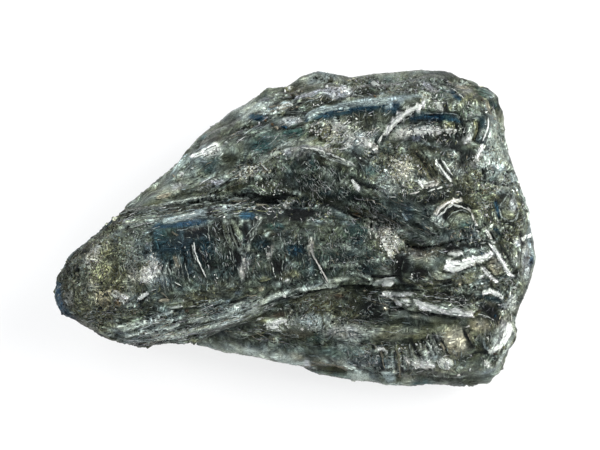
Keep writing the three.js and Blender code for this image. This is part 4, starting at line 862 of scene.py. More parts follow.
# ---- second look: slope, back ridge and plates
for q in [(NB, 258, 118.5, 7.5, 4, 10, .92), (LL, 291, 121, 13, 5.5, 8, .5), (S, 203, 154, 14, 4, 25, .3), (D, 297, 158, 16, 7, 0, .5), (OD, 230, 161, 8, 6, 0, .5), (D, 293, 176, 20, 12, 0, .35), (OD, 372, 82, 20, 5, 0, .45),
          (LL, 347, 93, 9, 4, 0, .4), (D, 380, 112, 30, 2.2, 3, .6), (OD, 381, 120, 18, 5, 0, .5), (S, 350, 125, 14, 7, 30, .35), (K, 459, 130, 6, 11, 0, .45), (NB, 437, 118, 24, 3, 2, .75), (BG, 401, 170, 12, 14, 0, .3),
          (OL, 426, 156, 10, 12, -40, .5), (D, 445, 195, 26, 3.5, 4, .7), (OL, 505, 185, 12, 12, 0, .35), (K, 470, 118, 8, 2.2, 0, .5), (TL, 440, 92, 10, 6, 0, .4), (GG, 497, 140, 6, 22, 0, .35), (D, 380, 88, 6, 4, 0, .5),
          (BB, 482, 128, 3.2, 13, -8, .6), (TL, 285, 137, 16, 5, 5, .4)]:
    pt(*q)
br(PB, 2.6, .9, (340, 106.5), (356, 104), (375, 100), (393, 97), (421, 96)); dk(NB, 2.2, .9, (340, 110.5), (358, 108), (380, 106), (398, 104)); ln(LL, 1.6, .7, (258, 100), (275, 98), (292, 97)); dk(D, 1.4, .8, (278, 114.5), (292, 115), (303, 118)); dk(D, 1.4, .8, (280, 128), (294, 128), (304, 124))
br(PB, 3, .85, (304, 118), (310, 113), (320, 109), (335, 106)); dk(NB, 2, .9, (306, 121), (314, 116), (326, 112.5), (338, 110)); ms((W, YG, BG, LL), .45, 254, 171.5, 16, 5.5, 6); ms((W, S, BG), .4, 330, 132, 18, 9, -8); ms((S, W, LL), .35, 270, 188, 18, 8)
for q in [((326, 121), (331, 128), (330, 136)), ((338, 119), (341, 128)), ((318, 128), (327, 131))]:
    dk(K, 1.1, .8, *q)
for q in [((340, 130), (352, 121)), ((344, 134), (357, 124)), ((350, 136), (362, 127)), ((342, 126), (350, 119)), ((348, 143), (358, 137)), ((356, 145), (366, 139))]:
    ln(W, 1.5, .8, *q)
dk(NB, 2.4, .95, (413, 117), (428, 116.5), (444, 118), (460, 121)); ln(PB, 1.4, .85, (426, 113.5), (440, 113), (456, 114)); dk(K, 1.8, .9, (454, 121), (457, 128), (456, 137)); dk(K, 1.6, .9, (461, 120), (463, 129), (461, 139)); ln(S, 1.3, .8, (459, 122), (460, 130)); ln(S, 1.3, .8, (466, 122), (467, 131), (465, 140))
for q in [((414, 131), (416, 137)), ((420, 130), (422, 136)), ((427, 129), (429, 136)), ((434, 128), (436, 134)), ((441, 127), (443, 134)), ((448, 126), (450, 133))]:
    dk(D, 1.1, .8, *q)
ms((S, W, YG, GG), .35, 401, 168, 13, 16); ms((GG, BG, S), .3, 496, 142, 8, 30, -4)

# ---- second look: right end
for q in [(D, 446, 246, 20, 4, 8, .55), (D, 452, 296, 34, 4.5, -3, .6), (D, 473, 231, 9, 6, 0, .5), (D, 515, 249, 6, 6, 0, .45), (OL, 462, 277, 16, 5, 8, .5), (BG, 494, 266, 7, 8, 0, .35), (S, 384, 281, 12, 4, 0, .7),
          (GG, 425, 262, 16, 5, 5, .5), (D, 422, 276, 10, 4, 0, .6), (K, 405, 266, 6, 8, 0, .5), (K, 373, 308, 14, 10, -20, .5), (GG, 388, 318, 14, 3, 0, .3), (K, 495, 314, 5, 6, 0, .4), (K, 462, 304, 5, 4, 0, .7),
          (GG, 440, 330, 30, 5, -3, .45), (OD, 425, 322, 34, 3, -4, .5), (GG, 458, 339, 13, 11, 0, .35), (S, 352, 334, 16, 8, 0, .7), (OL, 385, 335, 18, 6, 0, .5), (D, 405, 345, 40, 3, 5, .5), (S, 422, 364, 14, 4, 0, .45),
          (S, 446, 365, 6, 6, 0, .4), (LL, 527, 262, 5, 18, 0, .3), (OL, 478, 335, 10, 6, 0, .4), (D, 482, 345, 9, 8, 0, .5), (D, 474, 380, 24, 4, 5, .5), (GG, 418, 381, 14, 3, 0, .3), (BB, 378, 361, 26, 6, 0, .4), (TL, 345, 352, 26, 6, -4, .4)]:
    pt(*q)
ln(W, 1.8, .95, (375, 282), (383, 280.5)); br(W, 3, .98, (383, 280), (388, 279), (393, 278.5)); br(W, 3, .98, (383.5, 284.5), (392, 284)); dk(K, 1.8, .95, (342, 286), (356, 285), (370, 287)); dk(K, 1.6, .95, (380, 289), (398, 290), (418, 291)); dk(K, 1.5, .9, (372, 277), (384, 275.5), (395, 276.5))
ln(W, 1.8, .9, (382, 292), (394, 293), (410, 294)); ln(W, 1.8, .9, (391, 298), (400, 302), (410, 305)); ln(S, 1.6, .85, (412, 300), (426, 303), (440, 308)); ln(W, 1.6, .9, (478, 314), (486, 316), (494, 320)); dk(K, 1.8, .95, (398, 308), (414, 312), (430, 315), (446, 317)); dk(K, 1.4, .9, (396, 297), (410, 298), (424, 299))
dk(K, 1.8, .95, (463, 329), (466, 335), (470, 341), (473, 347)); dk(K, 1.4, .95, (466, 335), (470, 331)); dk(K, 2.2, .95, (411, 340), (414, 348), (419, 358)); dk(K, 2.2, .95, (428, 337), (432, 345), (436, 356)); dk(K, 2, .95, (440, 338), (444, 346), (449, 355)); dk(K, 1.6, .95, (421, 341), (424, 349))
ln(BG, 1.5, .9, (381, 350), (382.5, 358), (384.5, 368)); ln(BG, 1.7, .9, (397, 350), (399, 360), (399.5, 374)); dk(K, 2, .95, (401, 352), (402.5, 362), (402, 372)); br(W, 2.6, .95, (421, 366.5), (428, 366), (434, 366.5)); br(W, 2.2, .95, (412, 364), (419, 367)); ln(W, 1.8, .9, (438, 362), (441, 368)); ln(W, 1.8, .9, (444, 362), (448, 369))
ln(S, 1.4, .8, (405, 352), (408, 360)); ln(S, 1.4, .8, (416, 352), (420, 361)); ln(S, 1.4, .8, (430, 350), (433, 358)); ln(W, 1.6, .9, (382, 349), (388, 351)); dk(K, 2, .9, (470, 356), (478, 352), (486, 354))
ln(BG, 1.6, .9, (306, 367.5), (319, 363.5), (335, 366), (351, 369)); pt(D, 328, 369, 18, 3, 3, .8); ln(PB, 1.6, .8, (308, 371), (330, 375), (352, 379)); dk(K, 1.6, .9, (305, 369.5), (325, 371), (345, 373))
for q in [((329, 334), (336, 330), (346, 328)), ((332, 338), (342, 334), (354, 332)), ((338, 341), (350, 337), (362, 335))]:
    ln(S, 1.3, .6, *q)
dk(K, 3, .95, (352, 180), (366, 186), (380, 190)); dk(K, 1.8, .9, (446, 252), (458, 250), (470, 247), (480, 246)); dk(K, 1.8, .95, (443, 272), (456, 272), (470, 268), (480, 264))
dk(K, 1.6, .9, (500, 245), (506, 254), (511, 264), (515, 272)); dk(K, 1.4, .9, (483, 265), (489, 271), (497, 278)); dk(K, 1.8, .9, (521, 232), (522, 246), (520, 262))

# ---- third look: the middle-sized painted highlights and painted shade, and tones
for q in [(W, 154, 268.5, 5, 6.5, 0, .85, .5), (PW, 147, 275, 5, 8, 15, .65, .5), (PW, 123.5, 298, 6, 4, -30, .85, .5), (YG, 101, 271, 8, 11, 0, .45), (W, 98, 246, 3, 3.5, 0, .6), (PW, 93, 252, 5, 6, 0, .35),
          (BR, 105, 302, 6, 7, 0, .45), (BG, 110, 292, 9, 3.5, 0, .5), (GR, 126, 256, 14, 12, 0, .45), (K, 69, 266, 4, 12, 10, .7), (K, 115, 341, 16, 4, -20, .7),
          (TL, 172, 232, 20, 10, 8, .7), (NB, 184, 225.5, 18, 2.2, 10, .7), (K, 161, 241, 5, 6, 0, .85), (K, 199, 232, 9, 4, 8, .9), (BB, 175, 246, 14, 9, 0, .6), (BB, 208, 252, 7, 16, -12, .8),
          (K, 221, 230, 7, 15, 0, .75), (BB, 212, 222, 10, 5, 0, .6), (K, 236, 257, 4, 8, -15, .85), (BB, 246, 234, 5, 9, 0, .75), (SB, 246, 216, 7, 4, 0, .9, .4), (GG, 230, 235, 7, 15, 22, .7),
          (S, 178, 264, 2.5, 7, -8, .6), (S, 165, 274, 2.2, 11, -12, .6), (BB, 158, 255, 6, 8, 0, .4)]:
    pt(*q)
ms((W, PW, S), .5, 154, 268, 6, 8); ms((W, PW), .5, 123, 298, 6, 4, -30); bd(S, 6, .4, (150, 341), (175, 335), (200, 329), (230, 318), (258, 306)); bd(S, 3, .5, (120, 328), (150, 324), (180, 318))
for q in [(W, 287, 203.5, 4, 3, 0, .85), (GG, 338, 209, 10, 6, 0, .6), (TL, 356, 232, 10, 10, 0, .6), (NB, 357, 240, 5, 4, 0, .7), (TL, 276, 226, 9, 4, 0, .5), (NB, 261, 246, 5, 6, 0, .6), (NB, 295, 251, 9, 5, 0, .55),
          (K, 278, 268, 5.5, 7, 0, .9, .4), (PW, 311, 247, 3, 8.5, 0, .6, .5), (PW, 242, 266, 3.2, 13, -5, .45), (PW, 270, 253, 3, 8, -10, .45), (S, 372, 227, 5, 10, -10, .7), (PW, 385, 234, 8, 9, -30, .25),
          (PW, 392, 247, 6, 8, 0, .3), (K, 404, 265, 6, 9, 0, .92, .4), (MB, 422, 252, 16, 9, 0, .6), (K, 419, 273, 5.5, 5.5, 0, .9, .4), (OD, 352, 294, 16, 8, -10, .65), (K, 368, 307, 8, 12, -15, .8),
          (D, 358, 290, 20, 4.5, 0, .6), (OR, 338, 295, 4, 2.5, 0, .8), (S, 412, 303, 6, 4, -20, .6), (W, 272, 325.5, 8, 3, 8, .8), (W, 281, 320.5, 6, 2.5, 25, .75), (PB, 312, 321, 13, 7, 0, .5),
          (LL, 345, 332.5, 17, 6, 0, .9), (W, 343, 333, 10, 3.4, 0, .6), (D, 405, 321, 34, 3, -2, .8), (OL, 398, 330.5, 38, 5.5, -2, .6), (GG, 398, 330, 34, 4, -2, .35), (D, 395, 341, 30, 3, -3, .6), (D, 252, 337, 14, 7, 10, .25), (D, 310, 339, 22, 5, 0, .5)]:
    pt(*q)
ms((W, PW), .6, 287, 203.5, 4, 3); ms((W, PW, S), .5, 373, 226, 5, 10, -10); ms((W, PW, BG, D, OL), .5, 387, 240, 10, 14, -28); lt(PW, (2.2, 1.6), (310.5, 246), (312, 253), (316, 261), (321, 269), (325, 276), (329, 284)); ms((W, S), .4, 276, 323, 11, 4, 10)
gr(K, 2.2, .9, .08, (318, 201), (332, 206), (345, 212), (358, 216), (370, 218), (384, 223), (395, 231), (403, 240)); bd(BR, 5, .5, (345, 207), (362, 211), (380, 215), (396, 224))
lt(W, (3.8, 5.4), (418, 303), (427, 306.8), (434, 309.5), (441, 312.5)); lt(W, (5.4, 3.6), (446, 313), (455, 312), (463, 313.5), (472, 315)); bd(W, 3, .7, (385, 293.5), (398, 296), (408, 300)); dk(K, 1.8, .95, (428, 312), (440, 316), (455, 318))
for q in [(S, 210, 152, 14, 6, 20, .6, .5), (PW, 218, 151, 4, 3, 0, .5), (W, 182, 174, 2.6, 2.4, 0, .8), (BG, 166, 195, 6, 2, 15, .6), (LL, 178, 187, 7, 4, 15, .45), (SB, 256, 118, 7, 3.5, 5, .95, .4),
          (TL, 264, 147, 11, 7, 15, .8), (TL, 297, 131, 13, 6, -5, .75), (TL, 213, 164, 9, 4, 15, .6), (OD, 232, 162, 7, 8, 0, .6), (BG, 252, 168, 5, 3.5, 0, .7), (BG, 242, 174.5, 3.5, 3, 0, .7), (BB, 300, 172, 20, 18, 0, .5),
          (K, 305, 163, 6, 4, 0, .8), (K, 310, 178, 7, 5, 0, .7), (K, 316, 188, 7, 4, 0, .7), (LL, 336, 92, 14, 4.5, 8, .7), (W, 346, 91, 5, 3, 0, .55), (YG, 289, 89, 4.5, 3.2, 10, .9, .4), (W, 290, 88.5, 2.4, 1.8, 0, .8),
          (W, 337, 126, 6, 6, 0, .65), (W, 349, 141, 4.5, 8, 0, .7), (PW, 328, 126, 5, 5, 0, .35), (OD, 311, 104, 6, 8, 0, .6), (W, 240, 200.5, 5, 1.8, 0, .7)]:
    pt(*q)
ms((W, YG, BG), .55, 252, 168, 6, 4); ms((W, PW), .4, 209, 152, 12, 4, 22); bd(S, 3.2, .6, (262, 161), (272, 156), (285, 150), (297, 145), (312, 143)); bd(LL, 4, .5, (285, 153), (300, 148), (315, 147), (330, 151)); bd(GG, 4, .5, (272, 145), (288, 140), (305, 138))
ln(W, 1.8, .9, (303, 147), (318, 150), (332, 155), (345, 160), (353, 164)); dk(K, 1.6, .9, (318, 153), (332, 158.5), (345, 164)); dk(K, 2, .95, (240, 197.5), (262, 196.5), (280, 197), (297, 195))
bd(PB, 5, .7, (310, 117), (322, 110), (338, 106), (352, 104)); bd(NB, 3.6, .85, (308, 121), (320, 117), (335, 113), (350, 112)); bd(PB, 3.6, .8, (340, 105), (356, 101.5), (375, 99.5), (390, 100), (402, 101)); bd(NB, 4.5, .9, (345, 110), (362, 107), (378, 106), (390, 109), (400, 114))
for q in [(TL, 370, 86, 5, 5, 0, .6), (K, 371, 85, 2.5, 2.5, 0, .8), (TL, 388, 80, 6, 4, 0, .4), (LL, 428, 86, 6, 4, -20, .5), (W, 428, 131, 14, 4, 0, .92, .4), (W, 447, 130.5, 9, 3, 0, .75, .4), (PW, 404, 133, 8, 4, 5, .8),
          (K, 455, 145, 16, 6, 8, .75), (K, 468, 156, 7, 7, 0, .8), (TL, 468, 112, 8, 6, 0, .4), (W, 468, 139.5, 5, 4, 0, .85), (BB, 481, 122, 1.6, 14, -6, .6), (GG, 495, 135, 8, 26, -4, .3), (PW, 479, 155, 3, 7, -22, .5, .4), (GG, 487, 133, 4, 13, 5, .6),
          (BG, 402, 169, 11, 12, 0, .35), (S, 390, 190, 6, 5, 0, .45), (OL, 426, 166, 9, 18, 42, .7), (W, 424, 184, 4, 4, 0, .7), (PW, 434, 183, 6, 5, 0, .6), (PW, 355, 185, 3, 3, 0, .8),
          (PW, 367, 143.5, 9, 4.5, -18, .5), (PW, 376, 149, 3, 4, 0, .5), (OD, 366, 117, 16, 8, 0, .75), (D, 380, 120, 5, 10, 0, .55), (W, 492, 96, 3, 3, 0, .3), (D, 420, 194, 50, 4, 4, .5)]:
    pt(*q)
ms((W, PW), .35, 428, 131, 14, 4); lt(W, (3.6, 4.4), (414, 132.5), (421, 131.5), (429, 132)); lt(W, (4.6, 3.4), (424, 130), (432, 130.5), (441, 130)); lt(PW, (2.6, 2.4), (442, 131), (448, 130.5), (455, 130)); ms((W, PW), .5, 404, 133, 8, 4); ms((W, PW), .45, 367, 143, 9, 4.5, -18); ms((W, S), .4, 349, 141, 5, 8); bd(TL, 3, .6, (408, 113), (425, 112), (445, 112), (460, 113)); bd(NB, 3.4, .9, (405, 118.5), (425, 118), (445, 119), (462, 122))
for q in [((353, 112), (352, 124)), ((359, 112), (360, 124)), ((366, 110), (368, 124)), ((373, 112), (375, 124))]:
    ln(GG, 1.3, .7, *q)
ln(W, 1.5, .7, (385, 184), (384, 190), (388, 196), (395, 197)); dk(K, 1.4, .8, (414, 150), (423, 162), (432, 176)); dk(D, 1.4, .8, (420, 148), (430, 162), (437, 174)); ln(OL, 1.6, .8, (418, 151), (427, 164), (434, 175))
for q in [(K, 492, 312, 5, 10, 32, .85, .4), (BG, 455, 340, 14, 11, 5, .45), (BG, 480, 326, 11, 7, 0, .4), (GG, 496, 338, 7, 11, -20, .45), (W, 498, 346, 6, 5, 20, .35), (W, 508, 332, 4, 9, -12, .45), (W, 418, 363.5, 5, 3.5, 0, .8),
          (W, 428.5, 364, 4.5, 3.5, 0, .85), (W, 446.5, 362.5, 6, 4.5, 0, .8), (W, 488, 365, 3, 3, 0, .7), (S, 424, 351, 17, 7, 0, .45), (S, 356, 376, 18, 3.5, -12, .6), (D, 370, 361, 24, 7, -10, .45), (OL, 464, 278, 12, 6, 0, .55),
          (YG, 470, 276, 6, 4, 0, .3), (S, 526, 247, 4, 10, -10, .3), (NB, 532, 260, 2.5, 5, 0, .8), (K, 462, 304, 4, 4, 0, .85), (MB, 452, 272, 8, 3, 0, .3)]:
    pt(*q)
ms((W, PW), .5, 420, 364, 8, 4); ms((W, PW), .5, 446, 363, 6, 4.5); bd(YG, 2.4, .7, (397, 346), (399, 356), (399, 368)); gr(D, 2.4, .7, .05, (370, 344), (390, 343.5), (408, 341), (425, 337))
for q in [((409, 343), (412, 356)), ((418, 342), (424, 357)), ((426, 341), (431, 355)), ((434, 339), (441, 355)), ((446, 346), (449, 356))]:
    ln(S, 1.6, .8, *q)

for q in [(K, 178, 238, 24, 11, 8, .45), (BB, 202, 243, 13, 12, 0, .55), (K, 214, 234, 6, 16, 5, .5), (GG, 398, 360, 9, 10, 0, .7), (S, 432, 347, 13, 8, 0, .5), (GG, 465, 127, 8, 11, 0, .6), (GG, 425, 154, 7, 5, -40, .5),
          (YG, 96, 268, 12, 16, 0, .3), (BG, 94, 284, 7, 6, 0, .3), (GG, 405, 315, 12, 4, 0, .5), (S, 432, 317, 12, 2.2, -8, .3), (GG, 340, 372, 22, 5, -6, .4), (S, 318, 372, 8, 3, -20, .4), (S, 400, 292, 12, 3, -8, .3)]:
    pt(*q)
bd(S, 3.4, .55, (226, 222), (231, 232), (237, 243), (241, 252)); bd(GG, 3, .6, (232, 220), (238, 230), (242, 240)); bd(S, 3, .55, (260, 217), (255, 227), (251, 238), (247, 249)); bd(K, 4.5, .85, (245, 224), (247, 234), (247, 241)); bd(K, 4.5, .8, (218, 218), (221, 230), (225, 243), (229, 252))
ms((W, S, GG), .4, 465, 128, 8, 11); ms((S, YG), .35, 398, 358, 7, 10); ms((S, W), .3, 430, 347, 14, 7); ms((YG, BG, PW), .25, 96, 268, 12, 18)

for q in [(W, 346, 332.5, 12, 4.2, 0, .9, .5), (S, 372, 333, 10, 4, 0, .4), (PW, 92, 260, 9, 9, 0, .4, .5), (PW, 134, 276, 7, 6, 0, .25, .5), (W, 116, 296, 6, 4, -25, .6, .5), (W, 145, 297.5, 5, 3, -30, .6, .5), (YG, 101, 272, 9, 12, 0, .35, .5), (BR, 106, 306, 7, 6, 0, .35),
          (W, 286, 107, 8, 3, 10, .5, .4), (W, 213, 152, 9, 3.4, 24, .6, .4), (GG, 333, 186, 7, 8, 0, .5), (S, 358, 107, 8, 3, 0, .3), (W, 425, 97, 6, 3, 0, .4), (PW, 440, 107, 7, 4, 0, .35), (GG, 470, 118, 7, 10, 0, .4)]:
    pt(*q)
ms((W, PW), .5, 346, 332.5, 12, 4); ms((W, PW), .4, 213, 152, 9, 4, 24); ms((W, PW), .35, 116, 297, 7, 5); ms((W, S), .35, 286, 106, 10, 4, 10); ms((W, YG), .3, 432, 100, 12, 8)

for q in [(D, 447, 232, 10, 6, 0, .6), (D, 240, 140, 12, 4, 20, .35), (K, 325, 158, 8, 5, 0, .45), (TL, 350, 236, 12, 8, 0, .4), (OD, 425, 270, 9, 9, 0, .4), (GG, 338, 338, 16, 4, 0, .4), (S, 400, 361, 6, 9, 0, .4)]:
    pt(*q)
bd(GG, 3, .55, (298, 297.5), (314, 292.5), (332, 289), (350, 287.5)); ms((S, W, YG), .3, 320, 337, 10, 4)

for q in [(S, 488, 132, 3.4, 14, 4, .6), (GG, 382, 122, 9, 11, 0, .35), (GG, 428, 155, 6, 5, -40, .4), (S, 450, 168, 4, 8, -35, .35), (W, 440, 313, 26, 2.0, 8, .5), (S, 408, 311, 10, 3, 12, .4), (S, 436, 246, 12, 3, 0, .35)]:
    pt(*q)

for q in [(TL, 484, 92, 11, 4.5, -32, .7), (D, 474, 87, 8, 3, -30, .4), (GG, 448, 150, 12, 3, -5, .3), (YG, 100, 272, 8, 12, 0, .3, .5), (OL, 106, 310, 8, 6, 0, .4), (OL, 170, 298, 30, 8, 6, .25), (OL, 215, 290, 24, 8, 6, .25), (TL, 160, 240, 8, 8, 0, .4),
          (W, 388, 294, 5, 2, -6, .6), (W, 399, 296, 6, 1.8, -8, .6), (GG, 315, 300, 22, 4, 8, .3), (BR, 338, 296, 6, 4, 0, .5), (OD, 300, 308, 18, 6, 6, .35)]:
    pt(*q)

for q in [(OL, 61, 292, 6, 24, 0, .35), (D, 456, 295, 18, 5, -3, .5), (GG, 385, 270, 10, 6, 0, .35), (OL, 392, 268, 5, 5, 0, .3), (K, 440, 149, 12, 4, -5, .4), (S, 133, 204, 7, 5, 30, .3)]:
    pt(*q)

# ---- painted light and painted shade: stretches made lighter or darker (x, y, rx, ry, turn, times)
LIGHT_AND_SHADE_WASH = [
    (285, 86, 13, 8, 0, 1.25), (277, 105, 25, 7, 8, 1.22), (211, 153, 10, 5, 30, 1.3), (262, 160, 26, 9, 8, 1.3), (204, 190, 28, 5, 6, 1.25),
    (104, 250, 13, 10, 0, 1.22), (94, 284, 9, 11, 0, 1.3), (122, 302, 28, 10, -15, 1.25), (165, 270, 12, 10, 0, 1.15), (233, 285, 16, 6, 0, 1.12),
    (318, 255, 15, 14, -30, 1.35), (400, 300, 9, 8, 0, 1.25), (322, 188, 9, 10, 0, 1.22), (370, 222, 13, 13, -30, 1.5),
    (440, 103, 22, 7, 0, 1.22), (452, 156, 9, 7, 0, 1.25),
    (430, 186, 9, 7, 0, 1.25), (476, 214, 6, 13, 0, 1.4), (470, 272, 30, 8, 5, 1.3), (268, 306, 26, 6, 12, 1.25),
    (205, 324, 15, 6, 10, 1.25), (398, 360, 11, 10, 0, 1.4), (432, 350, 19, 9, 0, 1.4), (330, 371, 24, 8, -4, 1.25), (432, 247, 15, 5, 0, 1.22),
    (505, 186, 13, 8, 0, 1.2), (505, 228, 9, 10, 0, 1.25), (264, 203, 26, 5, 0, 1.15), (375, 187, 10, 12, 0, 1.2),
    (80, 322, 22, 6, -32, .70), (142, 343, 36, 5, 0, .60), (112, 327, 13, 8, -20, .72), (165, 312, 9, 7, 0, .78), (155, 190, 13, 7, 30, .78),
    (222, 210, 28, 5, 4, .72), (204, 146, 13, 5, 35, .78), (236, 140, 9, 8, 0, .78), (280, 138, 17, 7, 0, .82), (351, 120, 11, 7, 0, .70),
    (308, 112, 9, 5, 0, .78), (325, 161, 26, 7, 0, .70), (388, 170, 17, 8, 0, .72), (362, 172, 11, 8, 0, .76), (411, 146, 11, 6, 0, .80),
    (466, 166, 8, 8, 0, .72), (450, 254, 28, 6, 5, .66), (345, 231, 22, 9, -10, .76), (255, 236, 13, 12, 0, .76), (290, 315, 9, 5, 0, .78),
    (450, 300, 24, 6, 0, .75), (420, 270, 13, 8, 0, .80), (382, 246, 9, 6, 0, .76), (352, 200, 11, 8, 0, .80), (350, 301, 9, 6, 0, .80),
    (455, 195, 13, 5, 0, .80), (404, 106, 10, 8, 0, .65), (382, 122, 10, 12, 0, 1.2), (236, 143, 36, 6, 5, .8), (78, 252, 14, 10, 30, .78), (255, 245, 9, 9, 0, .8), (210, 260, 9, 12, 0, .85), (352, 238, 10, 8, 0, .8),
    (327, 160, 10, 12, 0, .82), (430, 156, 10, 7, 0, 1.15), (450, 168, 8, 8, 0, 1.2), (524, 250, 8, 14, 0, .78), (509, 206, 7, 10, 0, .78), (443, 234, 9, 7, 0, .75), (318, 226, 34, 6, 5, .87), (320, 370, 14, 7, 0, 1.18), (392, 360, 9, 12, 0, 1.2),
    (86, 256, 11, 7, 20, .75), (160, 183, 18, 7, 32, .78), (195, 211, 24, 5, 4, .76), (211, 155, 8, 5, 20, 1.2), (246, 164, 8, 6, 0, 1.2), (257, 117, 10, 6, 0, 1.2), (210, 188, 18, 4, 6, 1.15), (260, 238, 11, 10, 0, .68), (288, 258, 9, 9, 0, .68),
    (350, 240, 11, 10, 0, .7), (366, 142, 7, 10, 0, .8), (358, 107, 12, 5, 0, 1.2), (491, 217, 7, 10, 0, .8), (213, 216, 28, 5, 6, .82), (452, 120, 14, 7, 0, 1.15), (90, 305, 20, 8, 0, 1.12), (395, 229, 8, 9, 0, .62), (463, 298, 20, 7, 0, .62), (430, 272, 10, 8, 0, .85), (477, 275, 7, 7, 0, .85), (389, 281, 11, 9, 0, 1.35), (432, 313, 12, 4, 0, 1.3), (315, 336, 16, 8, 0, 1.18), (145, 335, 10, 7, 0, 1.25),
    (115, 328, 12, 5, -20, .8), (440, 148, 12, 5, 0, .78), (462, 125, 28, 14, 0, 1.13), (491, 216, 6, 9, 0, .75), (524, 212, 6, 9, 0, 1.2), (475, 216, 5, 9, 0, 1.15), (505, 162, 8, 8, 0, .8), (318, 86, 12, 9, 0, .8), (413, 97, 12, 5, 0, .85),
    (310, 142, 16, 6, 0, .88), (352, 158, 9, 7, 0, .85), (345, 212, 16, 8, 0, 1.15), (472, 250, 10, 5, 0, .8), (520, 250, 6, 10, 0, .85), (455, 352, 9, 10, 0, .88), (70, 290, 10, 22, 0, 1.08), (338, 372, 24, 5, -6, 1.12),
    (280, 300, 34, 6, 8, 1.12), (358, 315, 16, 6, 0, 1.15), (484, 92, 11, 5, -32, .75), (60, 290, 8, 30, 0, 1.2), (452, 337, 11, 10, 0, .84), (505, 162, 7, 8, 0, .85), (150, 345, 38, 3.5, 0, .85), (85, 326, 26, 5, -28, .85), (462, 77, 36, 4, -14, .75), (500, 112, 4, 20, 0, .8), (76, 252, 20, 5, 35, .7), (495, 340, 9, 13, -20, .7), (486, 132, 5, 14, 0, 1.3), (438, 247, 15, 5, 0, 1.2), (388, 282, 8, 5, 0, 1.3), (498, 166, 9, 12, 0, .85), (102, 276, 26, 30, 0, 1.18), (355, 240, 12, 8, 0, .8), (495, 135, 10, 30, 0, .85), (400, 172, 22, 14, 0, .88), (508, 206, 8, 8, 0, .85), (150, 345, 28, 4, 0, .7), (340, 352, 24, 6, 0, 1.15), (262, 336, 16, 7, 0, 1.12), (265, 210, 16, 6, 0, .78), (300, 166, 12, 8, 0, .8), (420, 170, 8, 8, 0, .85), (357, 262, 12, 14, 0, .85), (494, 220, 8, 8, 0, .82), (352, 372, 24, 6, -8, 1.2), (300, 302, 18, 5, 10, 1.15), (330, 326, 24, 8, 0, 1.15), (180, 245, 11, 8, 0, .85), (408, 124, 7, 8, 0, .82)]

# ---- calm places: glassy faces with little grain (x, y, rx, ry, turn, how calm)
CALM = [
    (428, 266, 28, 15, 0, .80), (467, 262, 27, 8, 10, .90), (455, 205, 20, 9, 20, .70), (461, 220, 11, 9, 0, .70),
    (418, 222, 20, 17, 0, .45), (510, 208, 12, 16, 0, .75), (526, 256, 8, 28, 0, .70), (494, 294, 14, 5, -10, .6),
    (440, 326, 58, 9, -3, .88), (458, 338, 15, 14, 0, .88), (385, 334, 48, 8, 0, .85), (502, 335, 10, 18, -25, .85),
    (440, 358, 44, 16, 0, .60), (400, 378, 70, 8, -3, .60), (480, 370, 24, 14, 0, .45),
    (400, 82, 66, 11, 3, .65), (382, 101, 42, 8, 4, .80), (452, 94, 24, 13, 0, .45), (499, 140, 10, 42, -5, .55),
    (228, 122, 36, 14, 38, .70), (270, 132, 20, 20, 0, .50), (300, 86, 36, 9, 12, .70), (326, 113, 26, 9, 10, .60), (195, 176, 44, 14, 28, .45),
    (178, 221, 28, 8, 5, .85), (172, 243, 18, 16, 0, .60), (230, 322, 44, 8, 14, .55), (256, 348, 52, 11, -14, .85),
    (300, 326, 34, 10, 3, .45), (345, 335, 28, 9, 0, .85), (320, 356, 38, 10, -8, .80), (340, 300, 26, 12, -10, .5),
    (148, 330, 40, 9, 0, .40), (446, 228, 14, 8, 0, .5), (400, 205, 24, 8, -10, .5),
    (262, 357, 66, 9, -12, .92), (350, 376, 60, 8, -8, .85), (170, 186, 46, 8, 36, .80), (232, 122, 52, 9, 36, .85), (310, 78, 46, 7, 6, .85), (400, 74, 70, 7, 0, .85),
    (240, 148, 18, 12, 20, .75), (222, 170, 18, 12, 20, .65), (186, 198, 16, 5, 8, .5), (246, 240, 10, 8, 0, .5), (345, 274, 14, 8, 0, .6), (276, 297, 16, 5, 12, .5),
    (363, 250, 14, 10, 0, .5), (365, 330, 26, 8, 0, .6), (440, 170, 8, 10, 30, .5), (458, 178, 9, 8, 0, .5), (441, 240, 12, 6, 0, .5), (480, 292, 10, 5, 0, .5),
    (96, 268, 20, 24, 0, .55), (138, 278, 16, 14, 0, .5), (346, 333, 16, 6, 0, .9), (213, 152, 12, 5, 24, .7), (184, 238, 32, 14, 5, .6), (245, 234, 8, 12, 0, .5), (404, 265, 7, 10, 0, .85), (419, 273, 6, 6, 0, .85), (388, 282, 8, 6, 0, .8), (492, 312, 8, 11, 0, .8), (343, 333, 18, 6, 0, .8),
    (118, 272, 10, 8, 0, .4), (150, 218, 14, 6, 0, .4), (88, 328, 26, 6, -34, .6), (530, 250, 7, 40, 0, .75), (520, 300, 8, 20, -12, .6)]

